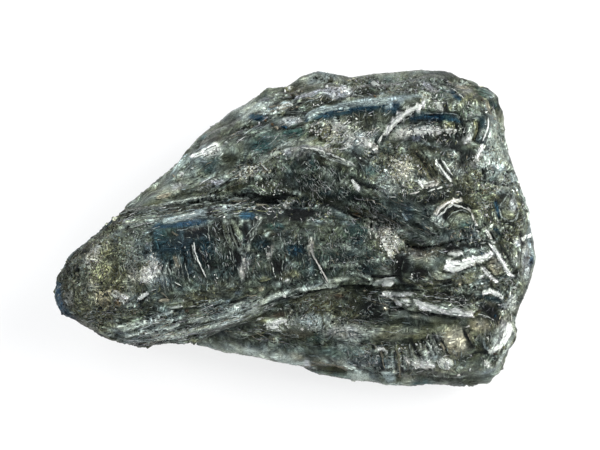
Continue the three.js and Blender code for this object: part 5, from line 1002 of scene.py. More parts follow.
# ---- which way the fine grain runs
# fine hairs: (x, y, rx, ry, turn, direction, spread, number, length, light share, light tone)
HAIRS = [
    (205, 255, 58, 30, 10, 98, 24, 420, (3, 9), 0.42, 0.26),
    (300, 262, 55, 28, 5, 100, 30, 330, (3, 8), 0.45, 0.26),
    (330, 235, 60, 26, -15, 60, 60, 260, (3, 8), 0.40, 0.22),
    (205, 318, 62, 16, 16, 14, 7, 300, (8, 24), 0.60, 0.34),
    (130, 325, 40, 18, -10, 10, 10, 170, (6, 16), 0.55, 0.34),
    (185, 210, 62, 9, 10, 10, 7, 240, (7, 20), 0.50, 0.34),
    (100, 275, 42, 46, 0, 60, 80, 520, (2, 5), 0.50, 0.24),
    (228, 160, 52, 24, 30, 28, 12, 260, (6, 16), 0.55, 0.32),
    (320, 172, 50, 20, 0, 80, 45, 320, (2, 6), 0.42, 0.24),
    (280, 120, 44, 22, 20, 18, 14, 240, (5, 14), 0.52, 0.34),
    (360, 112, 60, 26, 3, 12, 30, 330, (4, 12), 0.55, 0.38),
    (435, 118, 40, 26, 0, 20, 60, 300, (3, 8), 0.52, 0.40),
    (405, 172, 44, 24, -20, 40, 70, 420, (2, 6), 0.55, 0.34),
    (395, 218, 44, 18, -15, -20, 16, 240, (5, 14), 0.42, 0.24),
    (455, 175, 30, 24, 0, 60, 80, 260, (2, 6), 0.52, 0.32),
    (470, 225, 34, 26, 0, 30, 70, 300, (2, 7), 0.52, 0.34),
    (500, 150, 16, 44, 0, 85, 40, 330, (2, 7), 0.62, 0.44),
    (515, 240, 16, 48, 0, 80, 50, 330, (2, 7), 0.58, 0.40),
    (430, 265, 44, 16, 0, 5, 40, 260, (3, 9), 0.50, 0.32),
    (380, 260, 34, 26, 0, 30, 70, 260, (3, 8), 0.45, 0.26),
    (485, 290, 34, 18, -10, 20, 60, 260, (2, 7), 0.52, 0.34),
    (420, 302, 54, 12, -8, -8, 14, 240, (5, 14), 0.55, 0.38),
    (330, 312, 40, 18, 0, 30, 60, 300, (2, 6), 0.50, 0.32),
    (380, 333, 60, 13, 0, -2, 10, 260, (5, 16), 0.50, 0.28),
    (460, 340, 36, 16, 0, 60, 60, 220, (2, 7), 0.50, 0.34),
    (400, 362, 70, 14, 0, -4, 50, 330, (4, 12), 0.52, 0.34),
    (260, 340, 50, 14, -10, -8, 14, 240, (5, 14), 0.50, 0.28),
    (390, 84, 70, 9, 0, 5, 50, 300, (2, 7), 0.50, 0.30),
    (500, 335, 14, 34, -20, 70, 30, 160, (3, 8), 0.60, 0.44)]


# fine curled threads, many with a painted shadow along one side:
# (x, y, rx, ry, turn, direction, spread, number, length, curl, light share, light tone, colours)
THREADS = [
    (292, 208, 42, 11, -6, 170, 50, 230, (2.5, 5.875), .9, .60, 0.56, (S, W, YG)),
    (262, 165, 28, 16, 12, 30, 80, 230, (1.5, 3.75), 1.0, .62, 0.56, (S, W, YG, BG)),
    (322, 182, 26, 17, -20, 132, 25, 260, (3, 7.5), .5, .60, 0.45, (S, S, GG)),
    (372, 218, 26, 15, -20, 120, 25, 190, (3, 6.75), .4, .60, 0.45, (S, LL, GG)),
    (408, 262, 24, 22, 0, 20, 60, 160, (2.5, 5.875), .6, .50, 0.45, (S, GG)),
    (442, 120, 36, 24, 0, 10, 70, 350, (2.5, 5.875), 1.0, .60, 0.56, (S, W, PB, YG)),
    (445, 283, 34, 8, -4, 170, 50, 130, (2, 5), .8, .55, 0.54, (S, YG, GG)),
    (176, 230, 40, 12, 8, 20, 70, 230, (2, 5), .8, .50, 0.45, (S, PB, GG)),
    (222, 250, 24, 22, 0, 100, 30, 230, (3, 7.5), .5, .50, 0.41, (S, GG, PB)),
    (388, 358, 22, 14, 0, 88, 25, 120, (3, 6.75), .3, .55, 0.45, (S, BG)),
    (205, 324, 34, 9, 8, 14, 12, 130, (5, 11.75), .3, .60, 0.5, (S, PB)),
    (270, 302, 60, 9, 13, 13, 14, 230, (4, 10), .4, .60, 0.45, (S, GG, PB)),
    (350, 130, 30, 16, 20, 36, 25, 180, (3, 7.5), .4, .62, 0.56, (S, W, LL)),
    (455, 190, 34, 26, 0, 60, 80, 230, (2, 4.25), 1.0, .55, 0.45, (S, YG, GG)),
    (497, 185, 16, 26, 0, 80, 60, 140, (2, 5), .9, .58, 0.5, (S, YG, GG)),
    (475, 230, 30, 26, 0, 30, 70, 160, (2, 5), .9, .55, 0.5, (S, YG, GG, W)),
    (300, 258, 50, 26, 8, 100, 40, 340, (2.5, 5.875), .7, .48, 0.38, (S, GG, GR)),
    (160, 290, 46, 26, 0, 40, 60, 290, (2.5, 6.625), .7, .50, 0.38, (S, GG, YG)),
    (100, 275, 40, 40, 0, 60, 80, 390, (2, 3.875), 1.2, .50, 0.38, (YG, BG, GG, S)),
    (365, 300, 30, 14, -15, 140, 50, 160, (2.5, 5.875), .8, .50, 0.45, (S, OL, GG)),
    (330, 318, 40, 14, 0, 30, 70, 180, (2, 4.25), .9, .55, 0.45, (S, YG, GG)),
    (395, 172, 34, 22, -20, 50, 70, 230, (2, 5), .9, .58, 0.45, (S, YG, W)),
    (345, 255, 30, 26, 0, 70, 60, 180, (2.5, 5.875), .7, .42, 0.32, (S, GG)),
    (425, 302, 56, 9, -7, 172, 16, 140, (3, 8.25), .5, .60, 0.54, (S, W)),
    (415, 360, 60, 10, 0, 0, 60, 190, (2.5, 5.875), .7, .55, 0.45, (S, W, GG)),
    (400, 240, 40, 14, -10, 165, 40, 140, (3, 7.5), .5, .45, 0.36, (S, GG)),
    (505, 262, 14, 30, 0, 80, 40, 90, (3, 6.75), .6, .60, 0.5, (S, GG)),
    (240, 205, 50, 9, 6, 8, 14, 180, (4, 10), .4, .55, 0.45, (S, PB, YG))]


# =====================================================================
# 2. Relief and finish, worked out on the skin
# =====================================================================
N = normals(P, 2.0)
U, V = project(P)
FACE = N @ BACK
SEEN = sstep(0.02, 0.25, FACE)                   # what the top side shows
x, y, z = P[..., 0], P[..., 1], P[..., 2]
SH = x.shape

# nearest crystal, its axis direction, and coordinates along (fa) and around (fb) it
fa = np.zeros(SH)
fb = np.zeros(SH)
fid = np.zeros(SH)
AX = np.zeros(SH + (3,))
best = np.full(SH, 1e9)
reachs = []
for k, (name, c) in enumerate(CHAINS):
    if name in ("fill", "base"):
        continue
    L = np.concatenate([[0], np.cumsum(np.linalg.norm(c[1:, :3] - c[:-1, :3], axis=1))])
    own = np.full(SH, 1e9)
    for i in range(len(c) - 1):
        A, B = c[i].astype(float), c[i + 1].astype(float)
        ba = B[:3] - A[:3]
        l2 = ba @ ba
        pa = P - A[:3]
        h = np.clip((pa @ ba) / l2, 0, 1)
        q = pa - h[..., None] * ba
        rr = A[3] + (B[3] - A[3]) * h
        d = np.sqrt((q * q).sum(-1)) - rr
        own = np.minimum(own, d)
        m = d < best
        t = ba / math.sqrt(l2)
        e1 = np.cross(t, [0, 0, 1.0])
        e1 /= np.linalg.norm(e1)
        e2 = np.cross(e1, t)
        ang = np.arctan2(q @ e1, q @ e2)
        best = np.where(m, d, best)
        fa = np.where(m, L[i] + h * math.sqrt(l2), fa)
        fb = np.where(m, ang * np.maximum(rr, 0.8), fb)
        fid = np.where(m, k, fid)
        AX[m] = t
    reachs.append(own)
reachs = np.sort(np.stack(reachs), axis=0)
seam = reachs[1] - reachs[0]                     # small where two crystals meet

hid = fid * 17.31

# ---- where the piece is broken and granular, where it is smooth
def blob(cx, cy, rx, ry, ang=0.0, soft=0.5):
    """Soft ellipse on the seen side, in picture pixels; ang turns it anticlockwise."""
    c, s = math.cos(math.radians(ang)), math.sin(math.radians(ang))
    dx, dy = U - cx, -(V - cy)
    a = (dx * c + dy * s) / rx
    b = (-dx * s + dy * c) / ry
    r = np.hypot(a, b)
    return (1 - sstep(1 - soft, 1 + soft, r)) * SEEN


warpn = fbm(x * 0.7, y * 0.7, z * 0.7, 77, 3) * 9.0
U0, V0 = U, V
U = U + warpn
V = V + fbm(x * 0.7 + 31, y * 0.7, z * 0.7, 78, 3) * 9.0

gran = np.zeros(SH)
for b in [(108, 282, 34, 46, 0, .6), (148, 262, 16, 26, 0, .6), (408, 172, 46, 30, -10, .5),
          (505, 170, 26, 90, 0, .5), (470, 180, 40, 40, 0, .5), (515, 270, 26, 60, 0, .5),
          (500, 300, 30, 40, 0, .5), (245, 178, 40, 16, 15, .5), (345, 130, 46, 16, 10, .5),
          (470, 95, 40, 22, 0, .5), (390, 240, 24, 30, 50, .5), (430, 350, 60, 22, 0, .5),
          (320, 320, 60, 20, 5, .6), (310, 85, 60, 14, 5, .5)]:
    gran = np.maximum(gran, blob(*b))
U, V = U0, V0
gran = np.clip(np.maximum(gran, side * (0.55 + 0.45 * fbm(x * 0.3, y * 0.3, z * 0.3, 5, 2))), 0, 1)
endzone = sstep(12.2, 14.2, x) * 0.8
tipzone = sstep(-10.3, -12.4, x)
gran = np.clip(np.maximum(np.maximum(gran, endzone), tipzone * 0.7), 0, 1)
smooth = 1 - gran

# ---- the way the fine grain runs, patch by patch; elsewhere along the crystal
WU = U + fbm(x * 1.5, y * 1.5, z * 1.5, 81, 3) * 3.0
WV = V + fbm(x * 1.5 + 9, y * 1.5, z * 1.5, 82, 3) * 3.0
g1, g2, d1, d2 = cells(x * 1.3, y * 1.3, z * 1.3, 15)
GA, GB, GW = fa.copy(), fb.copy(), np.zeros(SH)
wig = 0.10 * fbm(x * 0.9, y * 0.9, z * 0.9, 83, 2)
for k, (hx, hy, hrx, hry, tn_, dirn, spread, num, ln_, share, tone_) in enumerate(HAIRS):
    ca, sa = math.cos(math.radians(tn_)), math.sin(math.radians(tn_))
    dx, dy = WU - hx, -(WV - hy)
    w = (1.25 - np.hypot((dx * ca + dy * sa) / hrx, (-dx * sa + dy * ca) / hry)) * (SEEN > 0.2)
    m = w > GW
    th = np.radians(dirn + spread * 1.3 * (d1[m] + d2[m] - 1))
    GA[m] = (U[m] * np.cos(th) - V[m] * np.sin(th)) / PXMM
    GB[m] = (U[m] * np.sin(th) + V[m] * np.cos(th)) / PXMM + wig[m]
    GW[m] = w[m]

# ---- relief, mm
H = np.zeros(SH)
wa = fbm(fa * 0.25, fb * 0.5, hid, 21, 2)
wb = fbm(x * 0.9, y * 0.9, z * 0.9, 22, 3)
H += 0.040 * ridged(fa * 0.10 + wa, fb * 1.5 + 0.8 * wb, hid, 1, 3) * (0.3 + 0.7 * smooth)
H += 0.022 * ridged(GA * 0.45, GB * 3.6, hid, 2, 2) * (0.35 + 0.65 * smooth)
n = fbm(fa * 0.22 + 0.3 * wb, fb * 0.55 + 0.4 * wb, hid, 3, 3)
q = n * 4.5
terr = (np.floor(q) + sstep(0.0, 0.14, q - np.floor(q))) / 4.5
H += 0.20 * terr * (0.5 + 0.5 * smooth)
g1, g2, d1, d2 = cells(x * 4.2, y * 4.2, z * 4.2, 5)
H += gran * (0.045 * (d1 - 0.5) + 0.03 * (0.5 - g1))
H += gran * 0.10 * fbm(x * 1.3, y * 1.3, z * 1.3, 7, 4)
H += 0.016 * fbm(x * 4.0, y * 4.0, z * 4.0, 8, 3)

# ---- colours (linear), class values
STEEL = np.array([0.088, 0.110, 0.096])
DARK = np.array([0.016, 0.021, 0.018])
BLUEBLACK = np.array([0.018, 0.030, 0.038])
PALEBLUE = np.array([0.30, 0.37, 0.40])
OLIVE = np.array([0.074, 0.077, 0.050])
BEIGE = np.array([0.30, 0.28, 0.21])
SILVER = np.array([0.28, 0.32, 0.295])
WHITE = np.array([0.80, 0.82, 0.80])
GREENGREY = np.array([0.080, 0.102, 0.085])

COL = np.broadcast_to(STEEL, SH + (3,)).copy()
MET = np.full(SH, 0.60)
RGH = np.full(SH, 0.30)
GLT = np.full(SH, 0.65)


def paint(mask, col, met=None, rgh=None, glt=None):
    global COL, MET, RGH, GLT
    COL = mix(COL, np.asarray(col), mask[..., None])
    if met is not None:
        MET = mix(MET, met, mask)
    if rgh is not None:
        RGH = mix(RGH, rgh, mask)
    if glt is not None:
        GLT = mix(GLT, glt, mask)


n1 = fbm(x * 0.45, y * 0.45, z * 0.45, 41, 3)
n2 = fbm(fa * 0.5, fb * 1.6, hid, 42, 3)
paint(sstep(-0.1, 0.6, n1) * 0.6, GREENGREY)
paint(sstep(0.0, 0.5, n2) * 0.6, DARK)
paint(gran * 0.85, OLIVE * 1.1, 0.40, 0.42, 0.9)
paint(gran * sstep(0.1, 0.6, fbm(x * 1.4, y * 1.4, z * 1.4, 43, 3)) * 0.7, GREENGREY * 1.3)
paint(gran * sstep(0.15, 0.6, fbm(x * 1.1, y * 1.1, z * 1.1, 44, 3)) * 0.5, DARK)

# painted shade in low spots, painted highlight on high ones
Hs = gauss(gauss(H, 3.0, 0, False), 3.0, 1, True)
cav = H - Hs
paint(sstep(0.012, 0.06, -cav) * 0.6, DARK * 0.6, None, 0.5)
paint(sstep(0.012, 0.06, cav) * 0.25, SILVER)

# ---- cleavage chips: small flat flakes lying at odd angles all over, each with a random tone; the silver and pale ones are painted glints
rng = np.random.default_rng(20)
edge_r = np.linalg.norm(np.roll(P, -1, 0) - P, axis=-1)
edge_c = np.linalg.norm(np.roll(P, -1, 1) - P, axis=-1)
area = edge_r * edge_c
area[0] = area[-1] = area[-2] = 0


def chip_at(i, j, t0, L, W, ta, tb, h0, power, tone, alpha, rgh, met, glt=0.25, ends=0.0, keep=0.0):
    """One flake: centre at grid (i, j), long axis t0, half sizes L, W (mm), slopes ta, tb."""
    n0 = N[i, j]
    t0 = t0 - n0 * (t0 @ n0)
    t0 /= max(np.linalg.norm(t0), 1e-9)
    b0 = np.cross(n0, t0)
    R = max(L, W) * 1.15 + 0.1
    kr = int(R / max(edge_r[i, j], 0.02)) + 2
    kc = int(R / max(edge_c[i, j], 0.02)) + 2
    kr, kc = min(kr, 60), min(kc, 60)
    ii = np.arange(max(1, i - kr), min(ROWS, i + kr + 1))
    jj = np.arange(j - kc, j + kc + 1) % COLS
    sl = np.ix_(ii, jj)
    dp = P[sl] - P[i, j]
    a = dp @ t0
    b = dp @ b0
    h = dp @ n0
    wl = W * np.clip(1 - ends * (a / L) ** 2, 0.05, 1)
    r = (np.abs(a / L) ** power + np.abs(b / wl) ** power)
    soft = 0.07 / max(min(L, W), 0.05)
    m = 1 - sstep(1 - soft, 1 + soft, r)
    m = m * (np.abs(h) < 0.9)
    if m.max() <= 0:
        return
    hl = H[sl]
    href = (hl * m).sum() / max(m.sum(), 1e-6)
    plane = href + h0 + ta * a + tb * b
    H[sl] = mix(hl, plane + keep * (hl - href), m)
    mm = m * alpha
    COL[sl] = mix(COL[sl], tone, mm[..., None])
    RGH[sl] = mix(RGH[sl], rgh, mm)
    MET[sl] = mix(MET[sl], met, mm)
    GLT[sl] = mix(GLT[sl], glt, m)


def scatter(count, weight, Ls, Ws, tilt, turn, h0, seed, tones, rgh=(0.12, 0.3), power=(2.5, 6), ends=0.6, alpha=0.85, met=1.0, glt=0.2, keep=0.15):
    r = np.random.default_rng(seed)
    w = (area * weight).ravel()
    w = w / w.sum()
    picks = r.choice(w.size, size=count, p=w)
    names = list(tones)
    pr = np.array([tones[k][1] for k in names])
    pr = pr / pr.sum()
    for pk in picks:
        i, j = divmod(int(pk), COLS)
        if i < 2 or i > ROWS - 2:
            continue
        L = Ls[0] * (Ls[1] / Ls[0]) ** r.random()
        W = min(Ws[0] * (Ws[1] / Ws[0]) ** r.random(), L)
        ang = r.normal(0, turn)
        n0 = N[i, j]
        t = AX[i, j]
        t = t - n0 * (t @ n0)
        if np.linalg.norm(t) < 0.2:
            t = np.cross(n0, [0.3, 1.0, 0.2])
        t = t / np.linalg.norm(t)
        t = t * math.cos(ang) + np.cross(n0, t) * math.sin(ang)
        tone = tones[names[r.choice(len(names), p=pr)]][0] * r.uniform(0.75, 1.2)
        ta, tb = r.normal(0, tilt[0]), r.normal(0, tilt[1])
        lim = 0.16 / max(W, 0.05)
        tb = float(np.clip(tb, -lim, lim))
        ta = float(np.clip(ta, -0.16 / L, 0.16 / L))
        chip_at(i, j, t, L, W, ta, tb, r.uniform(*h0), r.uniform(*power), tone,
                alpha * r.uniform(0.6, 1.0), r.uniform(*rgh), met, glt, ends * r.random(), keep)


TONES = {"steel": (STEEL, 4), "silver": (SILVER, 2.2), "dark": (DARK, 2.2), "pale": (PALEBLUE, 0.5), "olive": (OLIVE * 1.6, 1.0)}
scatter(650, 0.25 + smooth, (0.5, 2.2), (0.10, 0.34), (0.05, 0.30), 0.22, (-0.03, 0.05), 1, TONES, met=0.7)
scatter(1100, 0.3 + smooth, (0.3, 1.3), (0.06, 0.16), (0.10, 0.45), 0.45, (-0.03, 0.05), 2, TONES, met=0.7)
scatter(2400, 0.15 + gran, (0.12, 0.40), (0.07, 0.20), (0.35, 0.45), 3.0, (-0.03, 0.05), 3,
        {"steel": (STEEL, 2), "silver": (SILVER, 1.6), "dark": (DARK, 2.4), "olive": (OLIVE * 1.5, 2.0), "beige": (BEIGE, 0.8)}, rgh=(0.15, 0.4), met=0.55, glt=0.8)
scatter(1300, np.ones(SH), (0.25, 1.2), (0.035, 0.06), (0.05, 0.3), 0.7, (0.01, 0.05), 4,
        {"silver": (SILVER, 2.0), "steel": (STEEL, 1.0), "dark": (DARK, 1.0)}, ends=0.9, met=0.6)


# ---- seams between neighbouring crystals: a groove with painted shade in it
seam_groove_shade = (1 - sstep(0.03, 0.22, seam + 0.10 * fbm(x * 1.2, y * 1.2, z * 1.2, 96, 2))) * sstep(-0.35, 0.15, fbm(x * 0.5, y * 0.5, z * 0.5, 97, 2))
H -= 0.16 * seam_groove_shade
paint(seam_groove_shade * 0.65, DARK * 0.6, None, 0.5)

# ---- calm places
quiet = np.zeros(SH)
for cx, cy, rx, ry, ang, al in CALM:
    ca, sa = math.cos(math.radians(ang)), math.sin(math.radians(ang))
    dx, dy = WU - cx, -(WV - cy)
    r = np.hypot((dx * ca + dy * sa) / rx, (-dx * sa + dy * ca) / ry)
    quiet = np.maximum(quiet, (1 - sstep(0.72, 1.12, r)) * al * sstep(-0.25, 0.05, FACE))
Hm = gauss(gauss(H, 2.5, 0, False), 2.5, 1, True)
H = mix(H, Hm, quiet * 0.9)
soft_ = np.stack([gauss(gauss(COL[..., k], 3.0, 0, False), 3.0, 1, True) for k in range(3)], -1)
COL = mix(COL, soft_, (quiet * 0.85)[..., None])
GLT = GLT * (1 - 0.8 * quiet)
RGH = mix(RGH, 0.26, quiet)

# ---- mottling of the whole skin, stretched along each crystal
mott = 1.4 * fbm(GA * 1.1, GB * 2.6, hid, 91, 3) + 1.2 * fbm(x * 1.5, y * 1.5, z * 1.5, 92, 3) + 0.8 * vnoise(GA * 2.4, GB * 8.0, hid, 95)
COL = COL * np.clip(2.0 ** (1.25 * mott * (1 - 0.72 * quiet) + 0.05), 0.10, 3.0)[..., None]

# ---- the features of the seen side, on the skin
FIN = {K: (0.2, 0.55, 0.2), D: (0.5, 0.40, 0.35), BB: (0.7, 0.28, 0.3), NB: (0.6, 0.30, 0.3), PB: (0.45, 0.35, 0.35),
       OD: (0.3, 0.45, 0.4), OL: (0.3, 0.40, 0.6), YG: (0.2, 0.40, 0.6), OR: (0.1, 0.5, 0.6), BR: (0.1, 0.5, 0.6),
       BG: (0.2, 0.40, 0.5), S: (0.45, 0.32, 0.35), W: (0.15, 0.25, 0.08), PW: (0.2, 0.30, 0.15), LL: (0.4, 0.35, 0.35),
       GG: (0.45, 0.38, 0.5), TL: (0.55, 0.35, 0.4), GR: (0.5, 0.35, 0.5), MB: (0.2, 0.40, 0.4), SB: (0.5, 0.35, 0.2)}


def near_run(p, pad):
    """Seen skin near a run of points: which vertices, and their distance in pixels."""
    p = np.array(p, float)
    lo_, hi_ = p.min(0) - pad - 3, p.max(0) + pad + 3
    m = (SEEN > 0.02) & (U > lo_[0]) & (U < hi_[0]) & (V > lo_[1]) & (V < hi_[1])
    u, v = 0.6 * U[m] + 0.4 * WU[m], 0.6 * V[m] + 0.4 * WV[m]
    dist = np.full(u.shape, 1e9)
    for a, b in zip(p[:-1], p[1:]):
        ba = b - a
        h = np.clip(((u - a[0]) * ba[0] + (v - a[1]) * ba[1]) / max(ba @ ba, 1e-9), 0, 1)
        dist = np.minimum(dist, np.hypot(u - a[0] - h * ba[0], v - a[1] - h * ba[1]))
    return m, dist


def lay(m, w, c):
    col = np.asarray(c)
    met, rgh, glt = FIN[c]
    COL[m] = mix(COL[m], col, w[:, None])
    MET[m] = mix(MET[m], met, w)
    RGH[m] = mix(RGH[m], rgh, w)
    GLT[m] = mix(GLT[m], glt, w)


# patches and bands of colour: light ones are painted highlights, dark ones painted shade, the rest tones of the stone
for c, cx, cy, rx, ry, ang, al, soft in TONE:
    ca, sa = math.cos(math.radians(ang)), math.sin(math.radians(ang))
    R = max(rx, ry) * 1.7 + 4
    m = (SEEN > 0.02) & (np.abs(U - cx) < R) & (np.abs(V - cy) < R)
    dx, dy = WU[m] - cx, -(WV[m] - cy)
    r = np.hypot((dx * ca + dy * sa) / rx, (-dx * sa + dy * ca) / ry)
    w = (1 - sstep(1 - soft, 1 + soft * 0.6, r)) * al * SEEN[m]
    lay(m, w, c)
for c, wd, al, p in BAND:
    m, dd = near_run(p, wd)
    w = (1 - sstep(wd * 0.25, wd * 0.5 + 1.2, dd)) * al * SEEN[m]
    lay(m, w, c)
for c, wd, al, p in LINE + BAR + [(c, 0.5 * (w[0] + w[1]), 0.95, p) for c, w, p in LATH]:    # each blade gets a painted shadow on the skin, set down and left of it, and a shallow dip
    m, dd = near_run([(q[0] - 0.8, q[1] + 1.1) for q in p], wd + 2)
    w = np.exp(-(dd / (wd * 0.55 + 1.3)) ** 2) * 0.62 * SEEN[m]
    COL[m] = mix(COL[m], np.asarray(K), w[:, None])
    H[m] -= 0.05 * w
# wide blades: the skin under them is flattened and takes their colour, a painted highlight for the light ones
Hm = gauss(gauss(H, 2.0, 0, False), 2.0, 1, True)
WIDE = [(c, 0.5 * (w[0] + w[1]), 0.95, p) for c, w, p in LATH]
for c, wd, al, p in BAR + LINE + WIDE:
    if wd < 2.6:
        continue
    m, dd = near_run(p, wd)
    w = (1 - sstep(wd * 0.40, wd * 0.6 + 0.9, dd)) * SEEN[m]
    H[m] = mix(H[m], Hm[m] - 0.015, w)
    lay(m, (1 - sstep(wd * 0.30, wd * 0.5 + 0.5, dd)) * al * 0.85 * SEEN[m], c)
# painted shade in cracks: a dark band on the skin and a shallow dip
for c, wd, al, p in SLIT:
    m, dd = near_run(p, wd + 2)
    w = np.exp(-(dd / (wd * 0.5 + 0.7)) ** 2) * al * SEEN[m]
    COL[m] = mix(COL[m], np.asarray(c) * 0.8, w[:, None])
    GLT[m] = mix(GLT[m], 0.1, w)
    H[m] -= 0.06 * w
# a painted shadow on the skin beside each dot, set down and left of it
for c, cx, cy, rx, ry in DOT:
    m, dd = near_run([(cx - 0.8, cy + 0.9), (cx - 0.7, cy + 0.9)], rx + 2)
    w = np.exp(-(dd / (rx * 0.8 + 1.2)) ** 2) * 0.5 * SEEN[m]
    COL[m] = mix(COL[m], np.asarray(K), w[:, None])
# ridges: raised skin with their light colour as a painted highlight
for c, wd, al, h, p in RIDGE:
    m, dd = near_run(p, wd)
    w = (1 - sstep(wd * 0.2, wd * 0.5 + 1.2, dd)) * SEEN[m]
    H[m] += w * h
    lay(m, w * al, c)
# grooves: lowered skin with painted shade laid in
for c, wd, al, h, p in GROOVE:
    m, dd = near_run(p, wd)
    w = (1 - sstep(wd * 0.2, wd * 0.5 + 1.5, dd)) * SEEN[m]
    H[m] -= w * h
    lay(m, w * al, c)

# painted light and painted shade: colour multiplied up or down in patches
for cx, cy, rx, ry, ang, by in LIGHT_AND_SHADE_WASH:
    ca, sa = math.cos(math.radians(ang)), math.sin(math.radians(ang))
    R = max(rx, ry) * 1.6 + 4
    m = (SEEN > 0.02) & (np.abs(U - cx) < R) & (np.abs(V - cy) < R)
    dx, dy = WU[m] - cx, -(WV[m] - cy)
    r = np.hypot((dx * ca + dy * sa) / rx, (-dx * sa + dy * ca) / ry)
    COL[m] *= (by ** ((1 - sstep(0.35, 1.30, r)) * SEEN[m]))[:, None]

# crumbs
ii, jj = np.meshgrid(np.arange(ROWS + 1), np.arange(COLS), indexing="ij")
H += (hsh(ii, jj, ii * 0, 99) - 0.5) * (0.012 + 0.040 * gran)

# ---- worn metal is bright, grime nearly black
# ---- contrast stretch of the skin colours: light ones, painted highlights among them, get brighter; dark ones, painted
# shade among them, nearly black
lum = COL @ np.array([0.2, 0.7, 0.1])
COL = COL * 0.84 * (np.clip(lum, 0.004, 1.0) / 0.13)[..., None] ** 0.28
warm = 0.8 * fbm(x * 0.45, y * 0.45, z * 0.45, 55, 3) + 0.7 * fbm(x * 1.9, y * 1.9, z * 1.9, 56, 2)
warm *= np.clip(1.1 - 2.0 * lum, 0.15, 1.0)
COL = np.clip(COL * np.array([0.985, 1.012, 0.965]) * (1 + warm[..., None] * np.array([0.17, 0.06, -0.27])), 0.003, 0.92)

# ---- displace
P = P + N * (H * (0.15 + 0.85 * lift))[..., None]
P[..., 2] = np.maximum(P[..., 2], 0.0)

# =====================================================================
# 3. The mesh
# =====================================================================
Q = (P - SHIFT) / 1000.0
verts = [tuple(Q[0].mean(0))] + [tuple(p) for p in Q[1:-1].reshape(-1, 3)] + [tuple(Q[-1].mean(0))]
nv = len(verts)
vid = np.zeros((ROWS + 1, COLS), int)
vid[1:-1] = 1 + np.arange((ROWS - 1) * COLS).reshape(ROWS - 1, COLS)
vid[0] = 0
vid[-1] = nv - 1
jn = (np.arange(COLS) + 1) % COLS
a = vid[1:-2, :].ravel()
b = vid[2:-1, :].ravel()
c = vid[2:-1][:, jn].ravel()
d = vid[1:-2][:, jn].ravel()
flipd = ((np.arange(ROWS - 2)[:, None] + np.arange(COLS)[None]) % 2).ravel().astype(bool)
t1 = np.where(flipd[:, None], np.stack([a, b, c], 1), np.stack([a, b, d], 1))
t2 = np.where(flipd[:, None], np.stack([a, c, d], 1), np.stack([b, c, d], 1))
cap0 = np.stack([np.zeros(COLS, int), vid[1], vid[1][jn]], 1)
cap1 = np.stack([np.full(COLS, nv - 1), vid[-2][jn], vid[-2]], 1)
tris = np.concatenate([cap0, np.stack([t1, t2], 1).reshape(-1, 3), cap1])
va = np.array(verts)
vol = np.einsum("ij,ij->i", va[tris[:, 0]], np.cross(va[tris[:, 1]], va[tris[:, 2]])).sum()
if vol < 0:
    tris = tris[:, ::-1]

me = bpy.data.meshes.new("crystal_bundle")
me.vertices.add(nv)
me.vertices.foreach_set("co", va.astype(f4).ravel())
me.loops.add(len(tris) * 3)
me.loops.foreach_set("vertex_index", tris.astype(np.int32).ravel())
me.polygons.add(len(tris))
me.polygons.foreach_set("loop_start", np.arange(0, len(tris) * 3, 3, dtype=np.int32))
me.polygons.foreach_set("use_smooth", np.ones(len(tris), bool))
me.update(calc_edges=True)
me.validate()


def per_vertex(arr):
    if arr.ndim == 2:
        return np.concatenate([[arr[0].mean()], arr[1:-1].ravel(), [arr[-1].mean()]])
    return np.concatenate([arr[0].mean(0)[None], arr[1:-1].reshape(-1, arr.shape[-1]), arr[-1].mean(0)[None]])


def add_color(name, rgb):
    at = me.attributes.new(name, "FLOAT_COLOR", "POINT")
    v = np.ones((nv, 4), f4)
    v[:, :3] = per_vertex(rgb)
    at.data.foreach_set("color", v.ravel())


add_color("tint", np.clip(COL, 0, 1))
add_color("finish", np.clip(np.stack([MET, RGH, GLT], -1), 0, 1))
at = me.attributes.new("grain_dir", "FLOAT_VECTOR", "POINT")
at.data.foreach_set("vector", per_vertex(np.stack([GA, GB, hid], -1)).astype(f4).ravel())

stone = bpy.data.objects.new("crystal_bundle", me)
bpy.context.scene.collection.objects.link(stone)



# =====================================================================
# 3b. Cleavage blades, laths, painted-shade slits and flakes standing on the skin; light ones carry painted highlights
# and glints, dark ones painted shade
# =====================================================================
FN = normals(P, 1.0)
MP = np.zeros((450 * 600, 3))
MN = np.zeros((450 * 600, 3))
MZ = np.full(450 * 600, -1e9)
P1, F1n = np.roll(P, -1, 1), np.roll(FN, -1, 1)
for a_ in (1 / 6, 0.5, 5 / 6):
    for b_ in (1 / 6, 0.5, 5 / 6):
        q = ((1 - a_) * (1 - b_) * P[:-1] + a_ * (1 - b_) * P[1:] + (1 - a_) * b_ * P1[:-1] + a_ * b_ * P1[1:]).reshape(-1, 3)
        nn = ((1 - a_) * (1 - b_) * FN[:-1] + a_ * (1 - b_) * FN[1:] + (1 - a_) * b_ * F1n[:-1] + a_ * b_ * F1n[1:]).reshape(-1, 3)
        ok = nn @ BACK > 0.0
        q, nn = q[ok], nn[ok]
        u, v = project(q)
        dep = (q - EYE) @ BACK
        key_ = np.clip(v.astype(int), 0, 449) * 600 + np.clip(u.astype(int), 0, 599)
        o = np.argsort(dep)
        tz = np.full(450 * 600, -1e9)
        tz[key_[o]] = dep[o]
        ti = np.zeros(450 * 600, int)
        ti[key_[o]] = o
        up = tz > MZ
        MZ[up] = tz[up]
        MP[up] = q[ti[up]]
        MN[up] = nn[ti[up]]
known = (MZ > -1e8).reshape(450, 600)
MP, MN = MP.reshape(450, 600, 3), MN.reshape(450, 600, 3)
